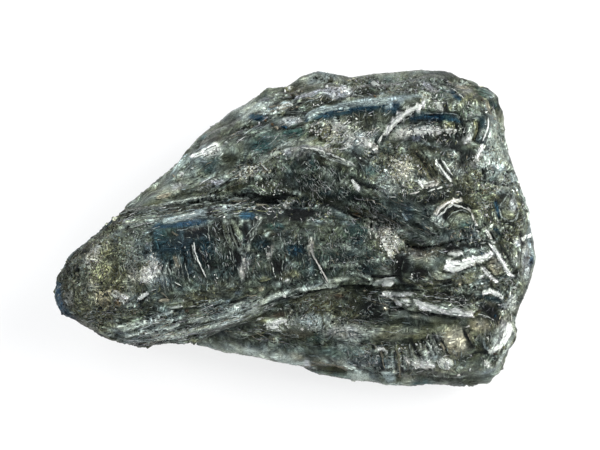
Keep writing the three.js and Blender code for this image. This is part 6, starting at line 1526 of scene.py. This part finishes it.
for _ in range(5):                                # carry the skin a little past its edge
    acc, cnt = np.zeros_like(MP), np.zeros((450, 600))
    acn = np.zeros_like(MN)
    for ax, sh in ((0, 1), (0, -1), (1, 1), (1, -1)):
        k_ = np.roll(known, sh, ax)
        acc += np.roll(MP, sh, ax) * k_[..., None]
        acn += np.roll(MN, sh, ax) * k_[..., None]
        cnt += k_
    new_ = (~known) & (cnt > 0)
    MP[new_] = acc[new_] / cnt[new_][:, None]
    MN[new_] = acn[new_] / cnt[new_][:, None]
    known |= new_


def look(u, v):
    """Skin point and outward direction under a place in the view."""
    u, v = np.asarray(u, float) - 0.5, np.asarray(v, float) - 0.5
    i, j = np.floor(v).astype(int), np.floor(u).astype(int)
    fv, fu = (v - i)[..., None], (u - j)[..., None]
    i, j = np.clip(i, 0, 448), np.clip(j, 0, 598)

    def bil(M):
        return (M[i, j] * (1 - fu) + M[i, j + 1] * fu) * (1 - fv) + (M[i + 1, j] * (1 - fu) + M[i + 1, j + 1] * fu) * fv
    p, n_ = bil(MP), bil(MN)
    return p, n_ / np.maximum(np.linalg.norm(n_, axis=-1, keepdims=True), 1e-9)


class Bits:
    """Many small closed bodies joined in one mesh."""

    def __init__(self):
        self.v, self.f, self.c, self.fin, self.n = [], [], [], [], 0

    def add(self, v, f, c, fin):
        self.v.append(v)
        self.f.append(f + self.n)
        self.c.append(c)
        self.fin.append(np.tile(fin, (len(v), 1)))
        self.n += len(v)


blades, flakes = Bits(), Bits()
rb = np.random.default_rng(7)
def smooth_run(p, step):
    p = np.array(p, float)
    if len(p) > 2:
        e = np.vstack([2 * p[0] - p[1], p, 2 * p[-1] - p[-2]])
        out = []
        for i in range(len(p) - 1):
            n_ = max(2, int(np.linalg.norm(p[i + 1] - p[i]) / step))
            for t in np.arange(n_) / n_:
                a, b, c, d = e[i], e[i + 1], e[i + 2], e[i + 3]
                out.append(0.5 * (2 * b + (c - a) * t + (2 * a - 5 * b + 4 * c - d) * t * t + (-a + 3 * b - 3 * c + d) * t ** 3))
        out.append(p[-1])
        return np.array(out)
    n_ = max(3, int(np.linalg.norm(p[1] - p[0]) / step))
    t = np.linspace(0, 1, n_ + 1)[:, None]
    return p[0] * (1 - t) + p[1] * t


def blade(q, wd, h, col, fin, into=blades):
    """One closed three-sided blade lying along q (n, 2); widths in pixels, height in mm."""
    n_ = len(q)
    tan = np.gradient(q, axis=0)
    tan /= np.maximum(np.linalg.norm(tan, axis=1, keepdims=True), 1e-9)
    nor = np.stack([-tan[:, 1], tan[:, 0]], 1)
    off = rb.uniform(-0.35, 0.35)                 # where the crest lies across it
    uv = q[:, None, :] + nor[:, None, :] * (np.array([-0.5, 0.5 * off, 0.5])[None, :] * wd[:, None])[..., None]
    sp_, sn = look(uv[..., 0], uv[..., 1])
    far = np.abs(np.diff(sp_, axis=0)).max(axis=(1, 2)) > 0.30 + 0.12 * np.linalg.norm(np.diff(q, axis=0), axis=1)
    wide = np.linalg.norm(sp_[:, 0] - sp_[:, 2], axis=1) > 0.30 + 0.16 * wd
    if far.any() or wide.any():                   # it would bridge a drop: keep its longest sound stretch
        bad = np.concatenate([[0], np.where(far)[0] + 1, np.where(wide)[0], np.where(wide)[0] + 1, [n_]])
        cut = np.unique(bad)
        k = int(np.argmax(np.diff(cut)))
        i0_, i1_ = int(cut[k]), int(cut[k + 1])
        if i1_ - i0_ < 3:
            return
        sp_, sn, h, col, n_ = sp_[i0_:i1_], sn[i0_:i1_], h[i0_:i1_], col[i0_:i1_], i1_ - i0_
    hh = np.stack([np.full(n_, -0.02), h, np.full(n_, -0.02)], 1)
    ring = sp_ + sn * hh[..., None]
    v_ = np.concatenate([ring.reshape(-1, 3), [sp_[0, 1] - sn[0, 1] * 0.02], [sp_[-1, 1] - sn[-1, 1] * 0.02]])
    f_ = []
    i0 = np.arange(n_ - 1) * 3
    for k in range(3):
        k2 = (k + 1) % 3
        f_.append(np.stack([i0 + k, i0 + k2, i0 + 3 + k2], 1))
        f_.append(np.stack([i0 + k, i0 + 3 + k2, i0 + 3 + k], 1))
        f_.append(np.array([[n_ * 3, k2, k], [n_ * 3 + 1, (n_ - 1) * 3 + k, (n_ - 1) * 3 + k2]]))
    cc = np.repeat(col, 3, axis=0) * np.clip(1 + (0.12 if into is blades else 0.36) * rb.normal(0, 1, (n_ * 3, 1)), 0.3, 1.8)
    into.add(v_, np.concatenate(f_), np.concatenate([cc, cc[:1], cc[-1:]]), fin)


def strokes(kind, c, width, strength, p):
    """A line or lath of the view (light ones painted highlights) or a crack's painted shade, as one or several broken
    parallel blades.
    """
    q = smooth_run(p, 0.7)
    d_ = np.linalg.norm(np.diff(q, axis=0), axis=1)
    s_ = np.concatenate([[0], np.cumsum(d_)])
    run = s_[-1]
    tan = np.gradient(q, axis=0)
    tan /= np.maximum(np.linalg.norm(tan, axis=1, keepdims=True), 1e-9)
    nor = np.stack([-tan[:, 1], tan[:, 0]], 1)
    lines = 1 if width < 1.7 else int(round(width / (1.15 if kind != "slit" else 1.6)))
    base = np.asarray(c)
    g_ = np.array([0.088, 0.110, 0.096])
    for k in range(lines):
        lat = 0.0 if lines == 1 else ((k + 0.5) / lines - 0.5) * (width - 0.6) + rb.normal(0, 0.18)
        edge = abs(lat) / (0.5 * width) if lines > 2 else 0.0
        t0 = rb.uniform(-0.3, 0.12 + 0.25 * edge) * min(run, 9)
        t1 = run + rb.uniform(-0.12 - 0.25 * edge, 0.3) * min(run, 9)
        s0 = t0
        long_ = rb.uniform(5, 13) if kind != "slit" else rb.uniform(8, 18)
        while s0 < t1 - 1.0:
            s1 = min(s0 + long_ * rb.uniform(0.6, 1.4), t1)
            n_ = max(3, int((s1 - s0) / 1.7) + 1)
            ss = np.linspace(s0, s1, n_)
            bend = rb.normal(0, 0.25) * np.sin(np.linspace(0, np.pi, n_))
            cl = np.clip(ss, 0, run)
            qx = np.interp(cl, s_, q[:, 0]) + np.interp(cl, s_, nor[:, 0]) * (lat + bend) + np.interp(cl, s_, tan[:, 0]) * (ss - cl)
            qy = np.interp(cl, s_, q[:, 1]) + np.interp(cl, s_, nor[:, 1]) * (lat + bend) + np.interp(cl, s_, tan[:, 1]) * (ss - cl)
            e_ = np.minimum(np.arange(n_), np.arange(n_)[::-1])
            w_ = (min(width, 1.35) if lines == 1 else 1.45) * np.where(e_ == 0, 0.45, 1) * np.clip(1 + rb.normal(0, 0.25, n_), 0.5, 1.5)
            if kind == "slit":
                h_ = np.full(n_, 0.012)
                tn = np.full(n_, 1.0)
                w_ = w_ * 1.35
            else:
                h_ = np.clip(rb.normal(0.032, 0.012), 0.012, 0.06) * np.where(e_ == 0, 0.3, 1)
                tn = np.clip(rb.normal(1.02 if kind == "bar" else 0.92, 0.13), 0.5, 1.2) * np.clip(1 + rb.normal(0, 0.09, n_), 0.6, 1.3)
            col = base[None] * tn[:, None]
            if kind != "slit":
                col = mix(g_[None], col, strength)
            blade(np.stack([qx, qy], 1), w_, h_, col, FIN[c])
            s0 = s1 + rb.uniform(-0.8, 1.6)
            long_ = rb.uniform(4, 12)


def flake(c, u, v, rx, ry, ang, h, tilt):
    k = 6
    t = (np.arange(k) + rb.uniform(-0.25, 0.25, k)) / k * 2 * np.pi
    rr = rb.uniform(0.50, 1.15, k)
    ex, ey = rx * np.cos(t) * rr, ry * np.sin(t) * rr
    ca, sa = math.cos(ang), math.sin(ang)
    uu = np.concatenate([u + ex * ca - ey * sa, [u, u]])
    vv = np.concatenate([v + ex * sa + ey * ca, [v, v]])
    sp_, sn = look(uu, vv)
    lean = (ex * tilt[0] + ey * tilt[1]) / PXMM
    lift_ = np.concatenate([h * 0.55 + lean, [h, -0.12]])
    lift_[:k] = np.maximum(lift_[:k], -0.02)
    v_ = sp_ + sn * lift_[:, None]
    v2 = sp_[:k] - sn[:k] * 0.04                                # foot of the flake, under the skin
    v_ = np.concatenate([v_, v2])
    i = np.arange(k)
    j = (i + 1) % k
    f_ = np.concatenate([np.stack([np.full(k, k), i, j], 1), np.stack([i, k + 2 + i, k + 2 + j], 1),
                         np.stack([i, k + 2 + j, j], 1), np.stack([np.full(k, k + 1), k + 2 + j, k + 2 + i], 1)])
    tone = np.clip(1 + 0.15 * rb.normal(0, 1, len(v_)), 0.5, 1.3)
    flakes.add(v_, f_, np.asarray(c)[None] * tone[:, None], FIN[c])


# cracks as dark blades of painted shade; lines and bars, the light ones painted highlights
for c, wd, al, p in SLIT:
    strokes("slit", c, wd, al, p)
for c, wd, al, p in LINE:
    strokes("line", c, wd, al, p)
for c, wd, al, p in BAR:
    strokes("bar", c, wd, al, p)


for c, w, p in LATH:
    q = smooth_run(p, 1.6)
    n_ = len(q)
    t = np.linspace(0, 1, n_)
    w_ = (w[0] * (1 - t) + w[1] * t) * (0.35 + 0.65 * np.clip(np.minimum(t, 1 - t) * n_ / 2.2, 0, 1)) * np.clip(1 + rb.normal(0, 0.07, n_), 0.8, 1.2)
    tn = np.clip(1 + rb.normal(0, 0.07, n_), 0.8, 1.15)
    blade(q, w_, 0.050 * np.clip(np.minimum(t, 1 - t) * n_ / 2.0, 0.25, 1), np.asarray(c)[None] * tn[:, None], FIN[c])
    d_ = np.gradient(q, axis=0)
    d_ /= np.linalg.norm(d_, axis=1, keepdims=True)
    for k in range(int(max(w) / 2.2)):           # a few steps along it
        i0 = rb.integers(0, max(1, n_ - 4))
        i1 = min(n_, i0 + rb.integers(4, 9))
        if i1 - i0 < 3:
            continue
        off_ = np.stack([-d_[i0:i1, 1], d_[i0:i1, 0]], 1) * w_[i0:i1, None] * rb.uniform(-0.38, 0.38)
        blade(q[i0:i1] + off_, np.full(i1 - i0, rb.uniform(0.5, 0.9)), np.full(i1 - i0, 0.062), np.tile(np.asarray(S if rb.random() < 0.6 else D), (i1 - i0, 1)), FIN[S])


for c, p in PLATE:
    q = np.array(p, float)
    sp_, sn = look(q[:, 0], q[:, 1])
    n_ = len(q)
    zt = sp_[:, 2].max() + 0.02
    el = math.radians(72.0)
    dv, rv = np.array([0.0, -math.cos(el), math.sin(el)]), np.array([1.0, 0.0, 0.0])
    uv_ = np.cross(dv, rv)
    cam_ = np.array([0.30, 0.10, 5.6]) + dv * 166.67
    ray = -dv + rv * ((q[:, :1] - 300) / 2500.0) + uv_ * ((225 - q[:, 1:]) / 2500.0)
    top = cam_ + ray * ((zt - cam_[2]) / ray[:, 2:])
    top[:, 2] += rb.uniform(-0.01, 0.01, n_)
    low = sp_ - sn * 0.05
    low[:, 2] = np.minimum(low[:, 2], zt - 0.08)
    v_ = np.concatenate([top, low, [top.mean(0) + [0, 0, 0.012]], [low.mean(0)]])
    f_ = []
    for k in range(n_):
        k2 = (k + 1) % n_
        f_ += [[k2, k, n_ * 2], [k, k2, n_ + k2], [k, n_ + k2, n_ + k], [n_ + k, n_ + k2, n_ * 2 + 1]]
    vol = sum(np.dot(v_[a], np.cross(v_[b], v_[d])) for a, b, d in f_)
    f_ = np.array(f_) if vol > 0 else np.array(f_)[:, ::-1]
    blades.add(v_, f_, np.tile(np.asarray(c), (len(v_), 1)), FIN[c])


def strew(cs, cov, area_px, at_):
    n_ = int(cov * area_px / 2.6)
    for _ in range(n_):
        u, v = at_()
        c = cs[rb.integers(len(cs))]
        r = rb.uniform(0.5, 1.15)
        flake(c, u, v, r, r * rb.uniform(0.5, 1.0), rb.uniform(0, np.pi), rb.uniform(0.015, 0.045), rb.normal(0, 0.5, 2))


for cs, cov, cx, cy, rx, ry, ang in MOTTLE:
    ca, sa = math.cos(math.radians(ang)), math.sin(math.radians(ang))

    def at_(cx=cx, cy=cy, rx=rx, ry=ry, ca=ca, sa=sa):
        r, t = math.sqrt(rb.random()), rb.uniform(0, 2 * np.pi)
        a, b = r * math.cos(t) * rx, r * math.sin(t) * ry
        return cx + a * ca - b * sa, cy - (a * sa + b * ca)
    strew(cs, cov, math.pi * rx * ry, at_)
for cs, cov, wd, p in SPARK:
    q = smooth_run(p, 0.5)
    run = np.linalg.norm(np.diff(q, axis=0), axis=1).sum()

    def at_(q=q, wd=wd):
        c_ = q[rb.integers(len(q))]
        a = rb.normal(0, wd * 0.30, 2)
        return c_[0] + a[0], c_[1] + a[1]
    strew(cs, cov, (run + wd) * wd, at_)
for c, u, v, rx, ry in DOT:
    if max(rx, ry) < 2.3:                         # small ones: slender chips lying at any angle
        r = max(rx, ry)
        flake(c, u, v, r * rb.uniform(0.8, 1.1), r * rb.uniform(0.30, 0.55), rb.uniform(0, np.pi), 0.04, rb.normal(0, 0.4, 2))
    else:
        flake(c, u, v, rx * 0.85, ry * 0.70, rb.uniform(-0.6, 0.6), 0.045, rb.normal(0, 0.3, 2))


HL = np.array([S, S, S, PB, BG, LL])
hairs, full = Bits(), []
bare = np.zeros((450, 600))                       # 1 where a hair is not wanted
yy_, xx_ = np.mgrid[0:450, 0:600]
for cx, cy, rx, ry, ang, al in CALM:
    ca, sa = math.cos(math.radians(ang)), math.sin(math.radians(ang))
    dx, dy = xx_ - cx, -(yy_ - cy)
    r = np.hypot((dx * ca + dy * sa) / rx, (-dx * sa + dy * ca) / ry)
    bare = np.maximum(bare, (1 - sstep(0.8, 1.15, r)) * al)
for c, wd, al, p in LINE + BAR + SLIT + WIDE:
    for q in smooth_run(p, 1.0):
        i, j = int(q[1]), int(q[0])
        k_ = int(wd * 0.5 + 1.5)
        bare[max(i - k_, 0):i + k_ + 1, max(j - k_, 0):j + k_ + 1] = np.maximum(bare[max(i - k_, 0):i + k_ + 1, max(j - k_, 0):j + k_ + 1], 0.92)
for hx, hy, hrx, hry, tn_, dirn, spread, num, ln_, share, tone_ in HAIRS:
    ca, sa = math.cos(math.radians(tn_)), math.sin(math.radians(tn_))
    num = int(num * 1.7)
    r_, t_ = np.sqrt(rb.random(num)), rb.uniform(0, 2 * np.pi, num)
    a, b = r_ * np.cos(t_) * hrx * 1.1, r_ * np.sin(t_) * hry * 1.1
    if hairs.n > 88000:
        full.append(hairs)
        hairs = Bits()
    u0, v0 = hx + a * ca - b * sa, hy - (a * sa + b * ca)
    an = np.radians(dirn + rb.normal(0, 1, num) * spread)
    L_ = rb.uniform(ln_[0], ln_[1], num) * 0.5
    light = rb.random(num) < share
    chance = rb.random(num)
    for i in range(num):
        iu, iv = int(u0[i]), int(v0[i])
        if not (0 <= iu < 600 and 0 <= iv < 450) or MZ[iv * 600 + iu] < -1e8 or chance[i] < bare[iv, iu]:
            continue
        n_ = 3 if L_[i] < 4 else 5
        t = np.linspace(-1, 1, n_)
        bend = rb.normal(0, 0.12) * L_[i] * (1 - t * t)
        cx_, sy_ = math.cos(an[i]), -math.sin(an[i])
        qq = np.stack([u0[i] + t * L_[i] * cx_ - bend * sy_, v0[i] + t * L_[i] * sy_ + bend * cx_], 1)
        w_ = rb.uniform(0.45, 0.95) * np.where(np.abs(t) > 0.9, 0.5, 1.0)
        if light[i]:
            cbase = HL[rb.integers(len(HL))] / 0.5 * tone_ * 1.35 * np.clip(rb.lognormal(0, 0.55), 0.3, 2.6)
            blade(qq, w_, np.full(n_, rb.uniform(0.008, 0.03)), np.tile(np.minimum(cbase, 0.85), (n_, 1)), FIN[S], hairs)
        else:
            blade(qq, w_ * 1.25, np.full(n_, 0.006), np.tile(np.asarray(K if rb.random() < 0.7 else D), (n_, 1)), FIN[K], hairs)
for hx, hy, hrx, hry, tn_, dirn, spread, num, ln_, curl, share, tone_, cs in THREADS:
    ca, sa = math.cos(math.radians(tn_)), math.sin(math.radians(tn_))
    if hairs.n > 74000:
        full.append(hairs)
        hairs = Bits()
    for _ in range(num):
        r_, t_ = math.sqrt(rb.random()) * 1.08, rb.uniform(0, 2 * np.pi)
        a, b = r_ * math.cos(t_) * hrx, r_ * math.sin(t_) * hry
        u0, v0 = hx + a * ca - b * sa, hy - (a * sa + b * ca)
        chance, light, run = rb.random(), rb.random() < share, rb.uniform(*ln_)
        iu, iv = int(u0), int(v0)
        if not (0 <= iu < 600 and 0 <= iv < 450) or MZ[iv * 600 + iu] < -1e8 or chance < bare[iv, iu]:
            continue
        n_ = 4 if run < 6 else 6
        way = math.radians(dirn + rb.normal() * spread) + rb.normal() * curl * np.linspace(-0.7, 0.7, n_) + rb.normal(0, 0.25 * curl, n_)
        st = np.stack([np.cos(way), -np.sin(way)], 1) * run / (n_ - 1)
        qq = np.cumsum(st, 0)
        qq = qq - qq.mean(0) + (u0, v0)
        w_ = rb.uniform(0.6, 1.0) * np.where((np.arange(n_) == 0) | (np.arange(n_) == n_ - 1), 0.5, 1.0)
        if light:
            c = cs[rb.integers(len(cs))]
            cl = np.asarray(c) / 0.5 * tone_ * 1.5 * np.clip(rb.lognormal(0, 0.5), 0.4, 2.4)
            blade(qq, w_, np.full(n_, rb.uniform(0.012, 0.034)), np.tile(np.minimum(cl, 0.88), (n_, 1)), FIN[c], hairs)
        # dark threads, and a painted shadow beside many light ones
        if not light or rb.random() < 0.6:
            off_ = np.array([math.sin(way.mean()), math.cos(way.mean())]) * rb.uniform(0.9, 1.3) * (1 if rb.random() < 0.75 else -1)
            blade(qq + (off_ if light else 0), w_ * 1.2, np.full(n_, 0.006), np.tile(np.asarray(K), (n_, 1)), FIN[K], hairs)
full.append(hairs)


def joined(name, bits):
    v_ = (np.concatenate(bits.v) - SHIFT) / 1000.0
    v_[:, 2] = np.maximum(v_[:, 2], 0.00002)
    f_ = np.concatenate(bits.f)
    m_ = bpy.data.meshes.new(name)
    m_.vertices.add(len(v_))
    m_.vertices.foreach_set("co", v_.astype(f4).ravel())
    m_.loops.add(len(f_) * 3)
    m_.loops.foreach_set("vertex_index", f_.astype(np.int32).ravel())
    m_.polygons.add(len(f_))
    m_.polygons.foreach_set("loop_start", np.arange(0, len(f_) * 3, 3, dtype=np.int32))
    m_.update(calc_edges=True)
    m_.validate()
    for nm, arr in (("tint", np.concatenate(bits.c) * np.array([0.99, 1.008, 0.975])), ("finish", np.concatenate(bits.fin))):
        at2 = m_.attributes.new(nm, "FLOAT_COLOR", "POINT")
        full = np.ones((len(v_), 4), f4)
        full[:, :3] = np.clip(arr, 0, 1)
        at2.data.foreach_set("color", full.ravel())
    o_ = bpy.data.objects.new(name, m_)
    bpy.context.scene.collection.objects.link(o_)
    print(name, "triangles", len(f_), file=sys.stderr)
    return o_


blade_ob = joined("cleavage_blades", blades)
flake_ob = joined("cleavage_flakes", flakes)
hair_obs = [joined("cleavage_hairs_%d" % (k + 1), h) for k, h in enumerate(full)]


# =====================================================================
# 4. Materials
# =====================================================================
def nodes_of(mat):
    mat.use_nodes = True
    nt = mat.node_tree
    nt.nodes.clear()
    return nt, nt.nodes.new, nt.links.new


def math_node(nt, op, a, b=None, clamp=False):
    m = nt.nodes.new("ShaderNodeMath")
    m.operation = op
    m.use_clamp = clamp
    for i, v in enumerate((a, b)):
        if v is None:
            continue
        if isinstance(v, (int, float)):
            m.inputs[i].default_value = v
        else:
            nt.links.new(v, m.inputs[i])
    return m.outputs[0]


def vmath(nt, op, a, b=None, scale=None):
    m = nt.nodes.new("ShaderNodeVectorMath")
    m.operation = op
    for i, v in enumerate((a, b)):
        if v is None:
            continue
        if isinstance(v, (tuple, list)):
            m.inputs[i].default_value = v
        else:
            nt.links.new(v, m.inputs[i])
    if scale is not None:
        if isinstance(scale, (int, float)):
            m.inputs["Scale"].default_value = scale
        else:
            nt.links.new(scale, m.inputs["Scale"])
    return m.outputs[0]


def map_range(nt, v, a, b, c, d):
    m = nt.nodes.new("ShaderNodeMapRange")
    m.clamp = True
    nt.links.new(v, m.inputs["Value"])
    m.inputs["From Min"].default_value = a
    m.inputs["From Max"].default_value = b
    m.inputs["To Min"].default_value = c
    m.inputs["To Max"].default_value = d
    return m.outputs["Result"]


mat = bpy.data.materials.new("cylindrite_metal")
nt, new, link = nodes_of(mat)
out = new("ShaderNodeOutputMaterial")
bs = new("ShaderNodeBsdfPrincipled")
link(bs.outputs[0], out.inputs[0])
bs.inputs["Specular IOR Level"].default_value = 0.12
tint = new("ShaderNodeAttribute"); tint.attribute_name = "tint"
fin = new("ShaderNodeAttribute"); fin.attribute_name = "finish"
gd = new("ShaderNodeAttribute"); gd.attribute_name = "grain_dir"
sep = new("ShaderNodeSeparateColor")
link(fin.outputs["Color"], sep.inputs[0])
metal, rough, glit = sep.outputs[0], sep.outputs[1], sep.outputs[2]
tc = new("ShaderNodeTexCoord")
obj_mm = vmath(nt, "SCALE", tc.outputs["Object"], scale=1000.0)

# fine streaks: along each crystal, turned a little or a lot from flake to flake
turnc = new("ShaderNodeTexVoronoi")
turnc.inputs["Scale"].default_value = 1.0
link(vmath(nt, "MULTIPLY", gd.outputs["Vector"], (0.55, 1.15, 1.0)), turnc.inputs["Vector"])
tsep = new("ShaderNodeSeparateColor"); link(turnc.outputs["Color"], tsep.inputs[0])
tt = math_node(nt, "MULTIPLY", math_node(nt, "SUBTRACT", tsep.outputs[0], 0.5), 2.0)
turn = math_node(nt, "MULTIPLY", math_node(nt, "MULTIPLY", math_node(nt, "MULTIPLY", tt, tt), tt), 1.5)
rot = new("ShaderNodeVectorRotate"); rot.rotation_type = "Z_AXIS"
link(gd.outputs["Vector"], rot.inputs["Vector"]); link(turn, rot.inputs["Angle"])
shifted = vmath(nt, "ADD", rot.outputs[0], vmath(nt, "SCALE", turnc.outputs["Color"], scale=37.0))
str_v = vmath(nt, "MULTIPLY", shifted, (1.0, 7.0, 1.0))
streak = new("ShaderNodeTexNoise")
streak.inputs["Scale"].default_value = 1.0
streak.inputs["Detail"].default_value = 2.0
streak.inputs["Roughness"].default_value = 0.6
link(str_v, streak.inputs["Vector"])
hair = new("ShaderNodeTexNoise")
hair.inputs["Scale"].default_value = 1.0
hair.inputs["Detail"].default_value = 1.0
link(vmath(nt, "MULTIPLY", shifted, (2.2, 13.0, 1.0)), hair.inputs["Vector"])
# grains
vor = new("ShaderNodeTexVoronoi")
vor.inputs["Scale"].default_value = 11.0
link(obj_mm, vor.inputs["Vector"])
fine = new("ShaderNodeTexNoise")
fine.inputs["Scale"].default_value = 5.5
fine.inputs["Detail"].default_value = 4.0
fine.inputs["Roughness"].default_value = 0.7
link(obj_mm, fine.inputs["Vector"])

# colour: tint broken up by streaks and by grains of two sizes
v2 = new("ShaderNodeTexVoronoi")
v2.inputs["Scale"].default_value = 7.0
link(obj_mm, v2.inputs["Vector"])
s1 = new("ShaderNodeSeparateColor"); link(vor.outputs["Color"], s1.inputs[0])
s2 = new("ShaderNodeSeparateColor"); link(v2.outputs["Color"], s2.inputs[0])
e1 = math_node(nt, "MULTIPLY", math_node(nt, "SUBTRACT", s1.outputs[1], 0.5), 3.2)
e2 = math_node(nt, "MULTIPLY", math_node(nt, "SUBTRACT", s2.outputs[1], 0.5), 2.6)
e3 = math_node(nt, "ADD", math_node(nt, "MULTIPLY", math_node(nt, "SUBTRACT", streak.outputs["Fac"], 0.5), 7.5),
               math_node(nt, "MULTIPLY", math_node(nt, "SUBTRACT", hair.outputs["Fac"], 0.5), 14.0))
e4 = math_node(nt, "MULTIPLY", math_node(nt, "SUBTRACT", fine.outputs["Fac"], 0.5), 4.0)
gamp = math_node(nt, "MULTIPLY", math_node(nt, "MULTIPLY", glit, glit), 0.62)
eg = math_node(nt, "MULTIPLY", math_node(nt, "ADD", e1, e2), gamp)
amp = math_node(nt, "ADD", math_node(nt, "MULTIPLY", glit, 0.55), 0.22)
ex = math_node(nt, "MULTIPLY", math_node(nt, "ADD", e3, e4), amp)
fac = math_node(nt, "POWER", 2.0, math_node(nt, "ADD", ex, eg))
colv = vmath(nt, "SCALE", tint.outputs["Color"], scale=fac)
link(colv, bs.inputs["Base Color"])
link(metal, bs.inputs["Metallic"])
rr = math_node(nt, "MULTIPLY", rough, map_range(nt, fine.outputs["Fac"], 0.3, 0.7, 0.75, 1.3), True)
link(rr, bs.inputs["Roughness"])

# normals: every grain turned its own way, more where the glitter is
cen = vmath(nt, "SUBTRACT", vor.outputs["Color"], (0.5, 0.5, 0.5))
amt = math_node(nt, "MULTIPLY", glit, 1.0)
jit = vmath(nt, "SCALE", cen, scale=amt)
geo = new("ShaderNodeNewGeometry")
jn_ = vmath(nt, "NORMALIZE", vmath(nt, "ADD", geo.outputs["Normal"], jit))
b1 = new("ShaderNodeBump")
b1.inputs["Strength"].default_value = 0.9
b1.inputs["Distance"].default_value = 0.00010
link(streak.outputs["Fac"], b1.inputs["Height"])
link(jn_, b1.inputs["Normal"])
b2 = new("ShaderNodeBump")
b2.inputs["Strength"].default_value = 0.6
b2.inputs["Distance"].default_value = 0.00005
link(fine.outputs["Fac"], b2.inputs["Height"])
link(b1.outputs[0], b2.inputs["Normal"])
b3 = new("ShaderNodeBump")
b3.inputs["Strength"].default_value = 0.8
b3.inputs["Distance"].default_value = 0.00005
link(hair.outputs["Fac"], b3.inputs["Height"])
link(b2.outputs[0], b3.inputs["Normal"])
link(b3.outputs[0], bs.inputs["Normal"])

me.materials.append(mat)
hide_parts("cylindrite")
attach(stone, "root")
for ob in [blade_ob, flake_ob] + hair_obs:
    ob.data.materials.append(mat)
    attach(ob, "root")

# =====================================================================
# 5. Floor, light, camera
# =====================================================================
fm = bpy.data.meshes.new("floor")
S = 3.0
fm.from_pydata([(-S, -S, -0.00006), (S, -S, -0.00006), (S, S, -0.00006), (-S, S, -0.00006)], [], [(0, 1, 2, 3)])
floor = bpy.data.objects.new("floor", fm)
bpy.context.scene.collection.objects.link(floor)
fmat = bpy.data.materials.new("floor_white")
nt, new, link = nodes_of(fmat)
out = new("ShaderNodeOutputMaterial")
dif = new("ShaderNodeBsdfDiffuse")
dif.inputs["Color"].default_value = (0.26, 0.26, 0.262, 1)
em = new("ShaderNodeEmission")
em.inputs["Color"].default_value = (1.0, 1.0, 1.0, 1)
em.inputs["Strength"].default_value = 0.74
add = new("ShaderNodeAddShader")
link(dif.outputs[0], add.inputs[0])
link(em.outputs[0], add.inputs[1])
link(add.outputs[0], out.inputs[0])
fm.materials.append(fmat)

world = bpy.data.worlds.new("studio")
bpy.context.scene.world = world
world.use_nodes = True
nt = world.node_tree
nt.nodes.clear()
new, link = nt.nodes.new, nt.links.new
wo = new("ShaderNodeOutputWorld")
bg = new("ShaderNodeBackground")
tcw = new("ShaderNodeTexCoord")
dirv = vmath(nt, "NORMALIZE", tcw.outputs["Generated"])


def lobe(direction, inner, outer, gain):
    """Soft round light on the sky: full inside inner degrees, gone at outer."""
    dn = Vector(direction).normalized()
    m = new("ShaderNodeVectorMath")
    m.operation = "DOT_PRODUCT"
    link(dirv, m.inputs[0])
    m.inputs[1].default_value = dn
    return map_range(nt, m.outputs["Value"], math.cos(math.radians(outer)), math.cos(math.radians(inner)), 0.0, gain)


md = new("ShaderNodeVectorMath"); md.operation = "DOT_PRODUCT"
link(dirv, md.inputs[0]); md.inputs[1].default_value = (0.0, -0.26, 0.966)
ramp = new("ShaderNodeValToRGB")
ramp.color_ramp.interpolation = "EASE"
el = ramp.color_ramp.elements
el[0].position = 0.0; el[0].color = (0.92, 0.94, 0.97, 1)
el[1].position = 1.0; el[1].color = (0.012, 0.016, 0.020, 1)
for pos, colr in [(0.30, (0.78, 0.82, 0.86, 1)), (0.60, (0.34, 0.37, 0.40, 1)), (0.82, (0.05, 0.06, 0.08, 1))]:
    e = el.new(pos); e.color = colr
link(md.outputs["Value"], ramp.inputs[0])
key = lobe((0.85, 0.12, 0.52), 14, 30, 5.5)
key2 = lobe((-0.35, 0.80, 0.50), 9, 20, 2.6)
key3 = lobe((0.15, -0.75, 0.5), 8, 18, 2.0)
sumk = math_node(nt, "ADD", math_node(nt, "ADD", key, key2), key3)
kc = vmath(nt, "SCALE", (1.0, 0.99, 0.97), scale=sumk)
tot = vmath(nt, "ADD", ramp.outputs["Color"], kc)
link(tot, bg.inputs["Color"])
bg.inputs["Strength"].default_value = 1.9
link(bg.outputs[0], wo.inputs[0])

cam = bpy.data.cameras.new("camera")
cam.lens = 150.0
cam.sensor_width = 36.0
cam.sensor_fit = "HORIZONTAL"
cam.clip_start = 0.005
cam.clip_end = 20.0
co = bpy.data.objects.new("camera", cam)
bpy.context.scene.collection.objects.link(co)
eye = (EYE - SHIFT) / 1000.0
Rm = Matrix(((1, 0, 0), (0, UP[1], BACK[1]), (0, UP[2], BACK[2]))).to_4x4()
co.matrix_world = Matrix.Translation(Vector(eye)) @ Rm
bpy.context.scene.camera = co
bpy.context.scene.view_settings.view_transform = "Standard"
